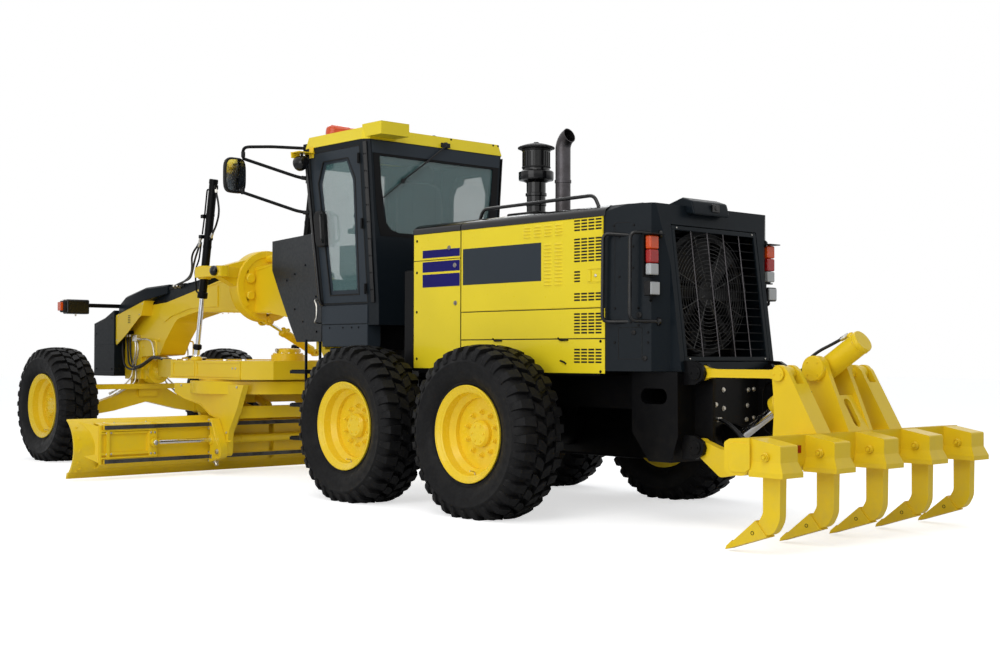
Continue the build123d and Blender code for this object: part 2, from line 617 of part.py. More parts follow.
with BuildPart() as cab_shell:
    for z in CAB_Z:
        flare = CAB_FLARE * (z - CAB_Z[0]) / CAB_H
        with BuildSketch(Plane.XY.offset(z)):
            Polygon(*[(at(s), y) for s, y in cab_outline(flare)], align=None)
    loft(ruled=True)
    for z in (CAB_Z[0] + 30, CAB_Z[1] + 1):
        flare = CAB_FLARE * (z - CAB_Z[0]) / CAB_H
        with BuildSketch(Plane.XY.offset(z)):
            Polygon(*[(at(s), y) for s, y in cab_outline(flare)], align=None)
            offset(amount=-CAB_WALL, kind=Kind.INTERSECTION, mode=Mode.REPLACE)
    loft(ruled=True, mode=Mode.SUBTRACT)
    # base box under the floor
    plan_slab([(CAB_REAR, -CAB_HALF + 45), (CAB_REAR, CAB_HALF - 45), (CAB_WIDE, CAB_HALF),
               (CAB_CORNER, CAB_HALF), (CAB_FRONT, CAB_FRONT_HALF), (CAB_FRONT, -CAB_FRONT_HALF),
               (CAB_CORNER, -CAB_HALF), (CAB_WIDE, -CAB_HALF)], CAB_BASE_Z, CAB_Z[0])
    # door openings
    for _, side in SIDES:
        side_slab([(DOOR_REAR - GAP, DOOR_LOW - GAP), (DOOR_FRONT + GAP, DOOR_LOW - GAP),
                   (DOOR_FRONT + 94 + GAP, DOOR_HIGH + GAP), (DOOR_REAR - GAP, DOOR_HIGH + GAP)],
                  side * (CAB_HALF - 100), side * (CAB_HALF + 200), Mode.SUBTRACT)
    # windscreen and rear window
    cross_slab([(-330, 1900), (330, 1900), (400, 2940), (-400, 2940)], CAB_FRONT - 90, CAB_FRONT + 200,
               Mode.SUBTRACT)
    cross_slab([(-560, 2240), (560, 2240), (680, 2930), (-680, 2930)], CAB_REAR - 10,
               CAB_REAR + CAB_WALL + 10, Mode.SUBTRACT)
    # steering pedestal on the floor
    side_slab([(2880, CAB_Z[0] + 29), (2960, CAB_Z[0] + 29), (2900, 2250), (2830, 2230)], -90, 90)
    # cheeks either side of the neck
    for _, side in SIDES:
        plan_slab([(CAB_CORNER + 25, side * (CAB_HALF - 20)), (3880, side * 420), (3880, side * 385),
                   (CAB_CORNER + 25, side * (CAB_HALF - 60))], 1310, 2300)
    side_slab([(3240, 1300), (3400, 1460), (3700, 1800), (3900, 2040), (3900, 1200), (3240, 1200)],
              -900, 900, Mode.SUBTRACT)
    # ladders
    for _, side in SIDES:
        for rung in range(3):
            z = 420 + 300 * rung
            block((2720, 2960), (side * 640, side * 820), (z, z + 30))
        for station in (2720, 2942):
            block((station, station + 18), (side * 640, side * 660), (420, 1331))
save(cab_shell, "cab_shell")

# panes are drawn in the frame's windows with a small seat gap
front_plane = Plane(origin=(at(CAB_FRONT), 0, CAB_Z[0]), x_dir=(0, 1, 0),
                    z_dir=(cos(WALL_LEAN), 0, -sin(WALL_LEAN)))
g = FIT
with BuildPart() as rear_pane:
    cross_slab([(-560 + g, 2240 + g), (560 - g, 2240 + g), (680 - g, 2930 - g), (-680 + g, 2930 - g)],
               CAB_REAR + 8, CAB_REAR + 8 + GLASS_T)
with BuildPart() as windscreen:
    with BuildSketch(front_plane.offset(-20)) as screen:
        Rectangle(1400, 4000)
    extrude(screen.sketch, amount=-GLASS_T)
    cross_slab([(-330 + g, 1900 + g), (330 - g, 1900 + g), (400 - g, 2940 - g), (-400 + g, 2940 - g)],
               CAB_FRONT - 90, CAB_FRONT + 200, Mode.INTERSECT)
with BuildPart() as cab_glass:
    add(rear_pane.part)
    add(windscreen.part)
save(cab_glass, "cab_glass")

with BuildPart() as cab_roof:
    for z, grow in ((CAB_Z[1] + 0.1, 8.0), (CAB_Z[1] + ROOF_T, -22.0)):
        with BuildSketch(Plane.XY.offset(z)):
            Polygon(*[(at(s), y) for s, y in cab_outline(CAB_FLARE)], align=None)
            offset(amount=grow, kind=Kind.INTERSECTION, mode=Mode.REPLACE)
    loft(ruled=True)
    block((1660, 1930), (480, 780), (CAB_Z[1] + 20, CAB_Z[1] + 130))
save(cab_roof, "cab_roof")

with BuildPart() as seat:
    block((2150, 2550), (-180, 180), (CAB_Z[0] + 30, 1960))
    block((2130, 2650), (-260, 260), (1960, 2090))
    side_slab([(2130, 2060), (2260, 2060), (2190, 2720), (2080, 2720)], -250, 250)
save(seat, "seat")

# doors lie in the walls, which lean out
wall_plane = Plane(origin=(at(0), CAB_HALF, CAB_Z[0]), x_dir=(1, 0, 0),
                   z_dir=(0, -cos(WALL_LEAN), sin(WALL_LEAN)))


def up_wall(z):
    """Distance up the leaning wall of a height."""
    return (z - CAB_Z[0]) / cos(WALL_LEAN)


door_outline = [(DOOR_REAR, up_wall(DOOR_LOW)), (DOOR_FRONT, up_wall(DOOR_LOW)),
                (DOOR_FRONT + 94, up_wall(DOOR_HIGH)), (DOOR_REAR, up_wall(DOOR_HIGH))]
pane_outline = [(DOOR_REAR + 110, up_wall(1720)), (DOOR_FRONT - 110, up_wall(1720)),
                (DOOR_FRONT - 20, up_wall(2720)), (DOOR_FRONT - 110, up_wall(2900)),
                (DOOR_REAR + 170, up_wall(2900)), (DOOR_REAR + 80, up_wall(2720))]
with BuildPart() as cab_door:
    with BuildSketch(wall_plane):
        Polygon(*door_outline, align=None)
        Polygon(*pane_outline, align=None, mode=Mode.SUBTRACT)
    extrude(amount=CAB_DOOR_T)
    pin_plane = wall_plane.offset(PIVOT_IN)
    foot = pin_plane.from_local_coords((DOOR_REAR + PIVOT_IN, up_wall(DOOR_LOW - GAP) + PIN_SHORT))
    head = pin_plane.from_local_coords((DOOR_REAR + PIVOT_IN, up_wall(DOOR_HIGH + GAP) - PIN_SHORT))
    with BuildSketch(Plane(origin=foot, z_dir=head - foot)):
        Circle(PIVOT_R)
    extrude(amount=(head - foot).length)
save(cab_door, "cab_door_left")
save_mirrored(cab_door, "cab_door_right")

with BuildPart() as door_glass:
    with BuildSketch(wall_plane.offset(10)):
        Polygon(*pane_outline, align=None)
        offset(amount=-FIT, kind=Kind.INTERSECTION, mode=Mode.REPLACE)
    extrude(amount=GLASS_T)
save(door_glass, "door_glass_left")
save_mirrored(door_glass, "door_glass_right")

# ---------------------------------------------------------------- front axle and steering
with BuildPart() as front_axle:
    cross_slab([(-LEAN_Y, LEAN_Z - 60), (-420, LEAN_Z - 20), (0, 640), (420, LEAN_Z - 20),
                (LEAN_Y, LEAN_Z - 60),
                (LEAN_Y, LEAN_Z + 60), (380, 720), (120, 870), (-120, 870), (-380, 720), (-LEAN_Y,
                                                                                          LEAN_Z + 60)],
               FRONT_AXLE - AXLE_HALF_T, FRONT_AXLE + AXLE_HALF_T)
    for _, side in SIDES:
        bar((FRONT_AXLE - AXLE_HALF_T, side * LEAN_Y, LEAN_Z),
            (FRONT_AXLE + AXLE_HALF_T, side * LEAN_Y, LEAN_Z), 60)
        bar((FRONT_AXLE - 200, side * LEAN_Y, LEAN_Z), (FRONT_AXLE + 200, side * LEAN_Y, LEAN_Z),
            LEAN_PIN_R + FIT, Mode.SUBTRACT)
save(front_axle, "front_axle")

ear = 26.0
king_half = KNUCKLE_H / 2
lean_bar_x = FRONT_AXLE - LEAN_BAR_BACK
with BuildPart() as bracket:
    # cheeks that straddle the beam's end
    for sign in (1, -1):
        x_in = FRONT_AXLE + sign * (AXLE_HALF_T + GAP)
        x_out = x_in + sign * ear
        cross_slab([(LEAN_Y - 60, LEAN_Z - 40), (LEAN_Y + 20, LEAN_Z - 70), (LEAN_Y + 82, LEAN_Z - 70),
                    (LEAN_Y + 82, LEAN_Z + 180), (LEAN_Y - 10, LEAN_Z + 180), (LEAN_Y - 60, LEAN_Z + 40)],
                   min(x_in, x_out), max(x_in, x_out))
    bar((FRONT_AXLE - AXLE_HALF_T - GAP - ear, LEAN_Y, LEAN_Z),
        (FRONT_AXLE + AXLE_HALF_T + GAP + ear, LEAN_Y, LEAN_Z),
        LEAN_PIN_R)
    # kingpin yoke, above and below the knuckle
    for sign in (1, -1):
        z_in = AXLE_Z + sign * (king_half + FIT)
        z_out = z_in + sign * 40
        plan_slab([(FRONT_AXLE - AXLE_HALF_T - GAP - ear, LEAN_Y + 68),
                   (FRONT_AXLE + AXLE_HALF_T + GAP + ear, LEAN_Y + 68),
                   (FRONT_AXLE + 44, KING_Y), (FRONT_AXLE - 44, KING_Y)], min(z_in, z_out), max(z_in,
                                                                                                z_out))
        bar((FRONT_AXLE, KING_Y, min(z_in, z_out)), (FRONT_AXLE, KING_Y, max(z_in, z_out)), 44)
    bar((FRONT_AXLE, KING_Y, AXLE_Z - king_half - 40), (FRONT_AXLE, KING_Y, AXLE_Z + king_half + 40),
        KING_R)
    # lever of the wheel-lean bar
    cross_slab([(LEAN_Y - 10, LEAN_Z + 150), (LEAN_Y + 60, LEAN_Z + 150),
                (LEAN_Y + 36, LEAN_Z + LEAN_BAR_RISE + 36),
                (LEAN_Y - 36, LEAN_Z + LEAN_BAR_RISE + 36), (LEAN_Y - 36, LEAN_Z + LEAN_BAR_RISE - 36)],
               FRONT_AXLE - AXLE_HALF_T - GAP - ear, FRONT_AXLE - AXLE_HALF_T - GAP)
    bar((lean_bar_x - 28, LEAN_Y, LEAN_Z + LEAN_BAR_RISE),
        (FRONT_AXLE - AXLE_HALF_T - GAP, LEAN_Y, LEAN_Z + LEAN_BAR_RISE), 22)
save(bracket, "kingpin_bracket_left")
save_mirrored(bracket, "kingpin_bracket_right")

arm_tip = (FRONT_AXLE - STEER_ARM, KING_Y)


def knuckle(name, side, stud):
    """Steering knuckle with its spindle and arm; one side carries the stud of the tie rod's far end."""
    drop = (KING_Y + 50, KING_Y + 75)
    with BuildPart() as piece:
        bar((FRONT_AXLE, side * KING_Y, AXLE_Z - king_half),
            (FRONT_AXLE, side * KING_Y, AXLE_Z + king_half), 56)
        bar((FRONT_AXLE, side * KING_Y, AXLE_Z),
            (FRONT_AXLE, side * (TRACK / 2 - HUB_BACK - FIT), AXLE_Z), 58)
        # arm, hung below the kingpin yoke
        block((FRONT_AXLE - 38, FRONT_AXLE + 38), (side * drop[0], side * drop[1]), (ARM_Z[0], AXLE_Z - 20))
        plan_slab([(FRONT_AXLE + 38, side * drop[0]), (FRONT_AXLE + 38, side * drop[1]),
                   (arm_tip[0] - 26, side * (arm_tip[1] + 26)), (arm_tip[0] - 26, side * (arm_tip[1] - 26)),
                   (arm_tip[0] + 26, side * (arm_tip[1] - 26)), (FRONT_AXLE - 38,
                                                                 side * (drop[0] - 12))], *ARM_Z)
        bar((FRONT_AXLE, side * KING_Y, AXLE_Z - king_half - 1),
            (FRONT_AXLE, side * KING_Y, AXLE_Z + king_half + 1),
            KING_R + FIT, Mode.SUBTRACT)
        if stud:
            bar((arm_tip[0], side * arm_tip[1], ARM_Z[0] + 5),
                (arm_tip[0], side * arm_tip[1], TIE_Z - 2), STUD_R)
    save(piece, name)


knuckle("steering_knuckle_left", 1, False)
knuckle("steering_knuckle_right", -1, True)

with BuildPart() as tie_rod_end:
    bar((arm_tip[0], arm_tip[1], ARM_Z[0] - FIT), (arm_tip[0], arm_tip[1], TIE_Z), 12)
    with Locations((at(arm_tip[0]), arm_tip[1], TIE_Z)):
        Sphere(BALL_R)
save(tie_rod_end, "tie_rod_end")

with BuildPart() as tie_rod:
    bar((arm_tip[0], 36 - arm_tip[1], TIE_Z), (arm_tip[0], arm_tip[1] - 30, TIE_Z), 21)
    bar((arm_tip[0], arm_tip[1], TIE_Z - 20), (arm_tip[0], arm_tip[1], TIE_Z + 20), BALL_R + 14)
    bar((arm_tip[0], arm_tip[1], TIE_Z - 21), (arm_tip[0], arm_tip[1], TIE_Z + 21), BALL_R + FIT,
        Mode.SUBTRACT)
    # the far end is a cup, wide enough for the linkage's small change of length
    bar((arm_tip[0], -arm_tip[1], TIE_Z - 24), (arm_tip[0], -arm_tip[1], TIE_Z + 20), CUP_R + 14)
    bar((arm_tip[0], -arm_tip[1], TIE_Z - 16), (arm_tip[0], -arm_tip[1], TIE_Z + 21), CUP_R, Mode.SUBTRACT)
save(tie_rod, "tie_rod")

lean_pin_z = LEAN_Z + LEAN_BAR_RISE
with BuildPart() as lean_bar:
    block((lean_bar_x - 24, lean_bar_x + 20), (-LEAN_Y, LEAN_Y), (lean_pin_z - 30, lean_pin_z + 30))
    for _, side in SIDES:
        bar((lean_bar_x - 24, side * LEAN_Y, lean_pin_z), (lean_bar_x + 20, side * LEAN_Y, lean_pin_z), 38)
    for _, side in SIDES:
        bar((lean_bar_x - 40, side * LEAN_Y, lean_pin_z), (lean_bar_x + 40, side * LEAN_Y, lean_pin_z),
            22 + FIT,
            Mode.SUBTRACT)
save(lean_bar, "lean_bar")

# ---------------------------------------------------------------- drawbar, circle, blade
with BuildPart() as drawbar:
    plan_slab([(BALL[0] - 110, -60), (BALL[0] - 110, 60), (DRAWBAR_X[1], DRAWBAR_HALF),
               (DRAWBAR_X[0] + 200, DRAWBAR_HALF),
               (DRAWBAR_X[0], 420), (DRAWBAR_X[0], -420), (DRAWBAR_X[0] + 200, -DRAWBAR_HALF),
               (DRAWBAR_X[1], -DRAWBAR_HALF)], DRAWBAR_Z[0], DRAWBAR_Z[1])
    # opening of the A and recess over the circle
    plan_slab([(6250, 0), (DRAWBAR_X[1] + 60, 400), (DRAWBAR_X[1] + 60, -400)], 900, 1200, Mode.SUBTRACT)
    with BuildSketch(Plane.XY.offset(DRAWBAR_Z[0] - 1)) as recess:
        with Locations((at(CIRCLE), 0)):
            Circle(560)
    extrude(recess.sketch, amount=110, mode=Mode.SUBTRACT)
    with Locations((at(BALL[0]), 0, BALL[1])):
        Sphere(90)
    bar((BALL[0], 0, BALL[1]), (BALL[0] - 170, 0, BALL[1]), 40)
    # bottom flange, pads of the lift rods' balls and of the centre-shift barrel's eye
    plan_slab([(DRAWBAR_X[1] + 14, DRAWBAR_HALF + 14), (DRAWBAR_X[0] + 200, DRAWBAR_HALF + 14),
               (DRAWBAR_X[0] + 200, 560), (DRAWBAR_X[1] + 14, 560)], DRAWBAR_Z[0], DRAWBAR_Z[0] + 14)
    plan_slab([(DRAWBAR_X[1] + 14, -DRAWBAR_HALF - 14), (DRAWBAR_X[0] + 200, -DRAWBAR_HALF - 14),
               (DRAWBAR_X[0] + 200, -560), (DRAWBAR_X[1] + 14, -560)], DRAWBAR_Z[0], DRAWBAR_Z[0] + 14)
    for _, side in SIDES:
        bar((LIFT_EYE[0], side * LIFT_EYE[1], DRAWBAR_Z[1] - 5),
            (LIFT_EYE[0], side * LIFT_EYE[1], DRAWBAR_Z[1] + 2), 54)
    plan_slab([(SHIFT_PIN[0] - 60, SHIFT_PIN[1] - 18), (SHIFT_PIN[0] + 60, SHIFT_PIN[1] - 18),
               (SHIFT_PIN[0] + 60, SHIFT_PIN[1] + 50), (SHIFT_PIN[0] - 60, SHIFT_PIN[1] + 50)],
              DRAWBAR_Z[1] - 45, DRAWBAR_Z[1] + 3, rounds={0: 16, 1: 16, 2: 30, 3: 30})
    # circle drive gearbox
    bar((CIRCLE - 420, 0, DRAWBAR_Z[1] - 5), (CIRCLE - 420, 0, DRAWBAR_Z[1] + 60), 170)
save(drawbar, "drawbar")

with BuildPart() as circle:
    with BuildSketch(Plane.XY.offset(CIRCLE_Z[0])) as ring:
        with Locations((at(CIRCLE), 0)):
            Circle(CIRCLE_R)
            Circle(CIRCLE_BORE, mode=Mode.SUBTRACT)
    extrude(ring.sketch, amount=CIRCLE_Z[1] - CIRCLE_Z[0])
    # rim that runs against the drawbar
    with BuildSketch(Plane.XY.offset(CIRCLE_Z[1] - 1)) as lip:
        with Locations((at(CIRCLE), 0)):
            Circle(CIRCLE_R - 90)
            Circle(CIRCLE_BORE, mode=Mode.SUBTRACT)
    extrude(lip.sketch, amount=DRAWBAR_Z[0] - FIT - CIRCLE_Z[1] + 1)
    # arms that sweep down to the pitch pins
    for _, side in SIDES:
        side_slab([(3990, CIRCLE_Z[1] - 30), (5340, CIRCLE_Z[1] - 30), (5340, CIRCLE_Z[0]), (5150, 740),
                   (4800, 680),
                   (4590, 575), (4425, 540), (4380, 300), (PITCH[0] + 50, PITCH[1] - 50),
                   (PITCH[0] - 50, PITCH[1] - 50), (PITCH[0] - 62, 420), (4120, 640)],
                  side * ARM_Y[0], side * ARM_Y[1], rounds={2: 60, 3: 300, 4: 700, 5: 120, 6: 60, 8: 50,
                                                            9: 50, 10: 200, 11: 400})
        across(PITCH[0], PITCH[1], side * (ARM_Y[1] - 5), side * (ARM_Y[1] + 85), PITCH_PIN_R)
        # brace from the arm's foot up to the ring
        bar((4300, side * (ARM_Y[0] + 5), 440), (4560, side * 300, CIRCLE_Z[0] - 60), 32)
    # crossbeams between the arms
    for stations, heights in (((4200, 4300), (560, 680)),
                              ((4500, 4620), (CIRCLE_Z[0] - 95, CIRCLE_Z[0] - 15))):
        block(stations, (-ARM_Y[0] - 5, ARM_Y[0] + 5), heights)
save(circle, "circle")

rail_s = BLADE_BACK - PLATE_T - 8
carrier_y = (ARM_Y[1] + GAP, ARM_Y[1] + 80)
rib_y = (RAIL_HALF - 60, carrier_y[1] + SHIFT_TRAVEL + 20)
with BuildPart() as carrier:
    for _, side in SIDES:
        side_slab([(PITCH[0] - 60, PITCH[1] - 55), (rail_s - RAIL_SIZE - 4, RAIL_LOW - 60),
                   (rail_s - RAIL_SIZE - 4, RAIL_HIGH + 60), (rail_s - 100, RAIL_HIGH + 60),
                   (PITCH[0] - 60, PITCH[1] + 60)],
                  side * carrier_y[0], side * carrier_y[1], rounds={0: 50, 3: 40, 4: 50})
        across(PITCH[0], PITCH[1], side * (carrier_y[0] - 1), side * (carrier_y[1] + 1), PITCH_PIN_R + FIT,
               Mode.SUBTRACT)
        for z in (RAIL_LOW, RAIL_HIGH):
            block((rail_s - RAIL_SIZE - 5, rail_s - 6), (side * carrier_y[0], side * carrier_y[1]),
                  (z - 55, z + 55))
            block((rail_s - RAIL_SIZE - FIT, rail_s + 1),
                  (side * (carrier_y[0] - 1), side * (carrier_y[1] + 1)),
                  (z - RAIL_SIZE / 2 - FIT, z + RAIL_SIZE / 2 + FIT), Mode.SUBTRACT)
    # barrel of the side-shift cylinder, which also ties the two carriers
    across(rail_s - 62, 345, -carrier_y[0] - 5, carrier_y[0] + 5, 42)
    across(rail_s - 62, 345, -SHIFT_TRAVEL - 40, carrier_y[1] + 6, 22 + FIT, Mode.SUBTRACT)
save(carrier, "blade_carrier")

arc_mid = (BLADE_BACK, (EDGE_Z + BLADE_TOP) / 2)
with BuildPart() as moldboard:
    with BuildSketch(side_plane(0)) as section:
        with BuildLine() as curve:
            back = ThreePointArc((at(EDGE_X - 12), EDGE_Z + 12), (at(arc_mid[0]), arc_mid[1]),
                                 (at(EDGE_X), BLADE_TOP))
            face = ThreePointArc((at(EDGE_X) + 10, BLADE_TOP - 12), (at(arc_mid[0]) + PLATE_T, arc_mid[1]),
                                 (at(EDGE_X) - 12 + PLATE_T * 1.1, EDGE_Z + 30))
            Line(back @ 1, face @ 0)
            Line(face @ 1, back @ 0)
        make_face()
    extrude(section.sketch, amount=BLADE_HALF, both=True)
    # room for the bolted edge
    block((EDGE_X - 200, EDGE_X + 60), (-BLADE_HALF - 1, BLADE_HALF + 1), (0, EDGE_Z + 60), Mode.SUBTRACT)
    for z in (RAIL_LOW, RAIL_HIGH):
        block((rail_s - RAIL_SIZE, rail_s), (-RAIL_HALF, RAIL_HALF), (z - RAIL_SIZE / 2, z + RAIL_SIZE / 2))
    for _, side in SIDES:
        for y in rib_y:
            side_slab([(rail_s - 30, RAIL_LOW - 30), (rail_s + 60, RAIL_LOW - 50), (rail_s + 24, 340),
                       (rail_s + 60, RAIL_HIGH + 40), (rail_s - 30,
                                                       RAIL_HIGH + 30)], side * y, side * (y + 30))
    # lug and rod of the side-shift cylinder
    across(rail_s - 62, 345, 0, rib_y[1] + 40, 22)
    block((rail_s - 84, rail_s + 20), (rib_y[1], rib_y[1] + 30), (315, 375))
save(moldboard, "moldboard")

with BuildPart() as cutting_edge:
    side_slab([(EDGE_X - 44, EDGE_Z + 60 - FIT), (EDGE_X - 2, EDGE_Z + 60 - FIT), (EDGE_X + 18, EDGE_Z),
               (EDGE_X, EDGE_Z)],
              -BLADE_HALF, BLADE_HALF)
save(cutting_edge, "cutting_edge")

# ---------------------------------------------------------------- lift and centre-shift cylinders
lift_dx = LIFT_EYE[0] - YOKE[0]
lift_dz = LIFT_EYE[2] - YOKE[2]


def on_lift(z):
    """Station on the lift cylinder's axis at a height."""
    return YOKE[0] + lift_dx * (z - YOKE[2]) / lift_dz


with BuildPart() as lift_cylinder:
    bar((on_lift(LIFT_LOW), YOKE[1], LIFT_LOW), (on_lift(LIFT_TOP), YOKE[1], LIFT_TOP), LIFT_R)
    with Locations((at(YOKE[0]), YOKE[1], YOKE[2])):
        Sphere(YOKE_R)
    bar((on_lift(LIFT_LOW - 1), YOKE[1], LIFT_LOW - 1), (on_lift(LIFT_TOP - 40), YOKE[1], LIFT_TOP - 40),
        LIFT_ROD_R + FIT, Mode.SUBTRACT)
save(lift_cylinder, "lift_cylinder_left")
save_mirrored(lift_cylinder, "lift_cylinder_right")

with BuildPart() as lift_rod:
    bar(LIFT_EYE, (on_lift(LIFT_LOW + 500), YOKE[1], LIFT_LOW + 500), LIFT_ROD_R)
    bar(LIFT_EYE, (on_lift(LIFT_EYE[2] + 90), YOKE[1], LIFT_EYE[2] + 90), LIFT_ROD_R + 7)
    with Locations((at(LIFT_EYE[0]), LIFT_EYE[1], LIFT_EYE[2])):
        Sphere(36)
save(lift_rod, "lift_rod_left")
save_mirrored(lift_rod, "lift_rod_right")

shift_dir = Vector(0, SHIFT_EYE[1] - SHIFT_PIN[1], SHIFT_EYE[2] - SHIFT_PIN[2]).normalized()


def on_shift(distance):
    """Point on the centre-shift cylinder's axis, measured from its pin."""
    return (SHIFT_PIN[0], SHIFT_PIN[1] + shift_dir.Y * distance, SHIFT_PIN[2] + shift_dir.Z * distance)


shift_len = hypot(SHIFT_EYE[1] - SHIFT_PIN[1], SHIFT_EYE[2] - SHIFT_PIN[2])
with BuildPart() as shift_cylinder:
    bar(on_shift(46), on_shift(SHIFT_BARREL), SHIFT_R)
    bar(on_shift(0), on_shift(60), 26)
    bar((SHIFT_PIN[0] - 31, SHIFT_PIN[1], SHIFT_PIN[2]),
        (SHIFT_PIN[0] + 31, SHIFT_PIN[1], SHIFT_PIN[2]), 40)
    bar((SHIFT_PIN[0] - 40, SHIFT_PIN[1], SHIFT_PIN[2]),
        (SHIFT_PIN[0] + 40, SHIFT_PIN[1], SHIFT_PIN[2]), 16,
        Mode.SUBTRACT)
    bar(on_shift(52), on_shift(SHIFT_BARREL + 1), SHIFT_ROD_R + FIT, Mode.SUBTRACT)
save(shift_cylinder, "shift_cylinder")

with BuildPart() as shift_rod:
    bar(on_shift(SHIFT_ROD_TIP), on_shift(shift_len), SHIFT_ROD_R)
    bar((SHIFT_EYE[0] - 45, SHIFT_EYE[1], SHIFT_EYE[2]),
        (SHIFT_EYE[0] + 45, SHIFT_EYE[1], SHIFT_EYE[2]), 34)
    bar((SHIFT_EYE[0] - 46, SHIFT_EYE[1], SHIFT_EYE[2]), (SHIFT_EYE[0] + 46, SHIFT_EYE[1], SHIFT_EYE[2]),
        SHIFT_ROD_R - 4 + FIT, Mode.SUBTRACT)
save(shift_rod, "shift_rod")

# ---------------------------------------------------------------- ripper
with BuildPart() as ripper_arms:
    for _, side in SIDES:
        ys = (side * RIP_Y[0], side * RIP_Y[1])
        side_slab([(RIP_FRAME_PIN, RIP_LOW + 60), (-1700, RIP_LOW - 6), (-1950, RIP_LOW),
                   (RIP_BEAM_PIN, RIP_LOW + 60),
                   (RIP_BEAM_PIN, RIP_LOW - 60), (-1883, 405), (-1686, 366), (RIP_FRAME_PIN, RIP_LOW - 60)],
                  *ys, rounds={1: 200, 2: 300, 5: 300, 6: 50})
        for station in (RIP_FRAME_PIN, RIP_BEAM_PIN):
            across(station, RIP_LOW, *ys, 62)
    across((RIP_FRAME_PIN + RIP_BEAM_PIN) / 2, RIP_LOW - 80, -RIP_Y[0] - 5, RIP_Y[0] + 5, 42)
    for station in (RIP_FRAME_PIN, RIP_BEAM_PIN):
        across(station, RIP_LOW, -RIP_Y[1] - 1, RIP_Y[1] + 1, RIP_PIN_R + FIT, Mode.SUBTRACT)
save(ripper_arms, "ripper_arms")

with BuildPart() as ripper_links:
    for _, side in SIDES:
        ys = (side * RIP_Y[0], side * RIP_Y[1])
        side_slab([(RIP_FRAME_PIN, RIP_HIGH + 44), (-1610, RIP_HIGH + 28), (-2090, RIP_HIGH + 28),
                   (RIP_BEAM_PIN, RIP_HIGH + 44), (RIP_BEAM_PIN, RIP_HIGH - 44), (-2090, RIP_HIGH - 28),
                   (-1610, RIP_HIGH - 28), (RIP_FRAME_PIN, RIP_HIGH - 44)], *ys)
        for station in (RIP_FRAME_PIN, RIP_BEAM_PIN):
            across(station, RIP_HIGH, *ys, 52)
    for station in (RIP_FRAME_PIN, RIP_BEAM_PIN):
        across(station, RIP_HIGH, -RIP_Y[1] - 1, RIP_Y[1] + 1, RIP_PIN_R + FIT, Mode.SUBTRACT)
save(ripper_links, "ripper_links")

beam_s = (-2500.0, -2310.0)
shank_s = (-2675.0, -2545.0)
tower_back = ((-2262.0, RIP_HIGH + 30), (-2490.0, 696.0))    # upper and lower end of the towers' rear edge
lean_back = atan2(tower_back[0][1] - tower_back[1][1], tower_back[0][0] - tower_back[1][0])
shank_ys = [(index - (SHANKS - 1) / 2) * SHANK_PITCH for index in range(SHANKS)]


def on_back(share, depth=0.0):
    """Point along the towers' rear edge, from its top, and that far in front of it."""
    (s0, z0), (s1, z1) = tower_back
    return (s0 + (s1 - s0) * share + depth * sin(lean_back),
            z0 + (z1 - z0) * share - depth * cos(lean_back))


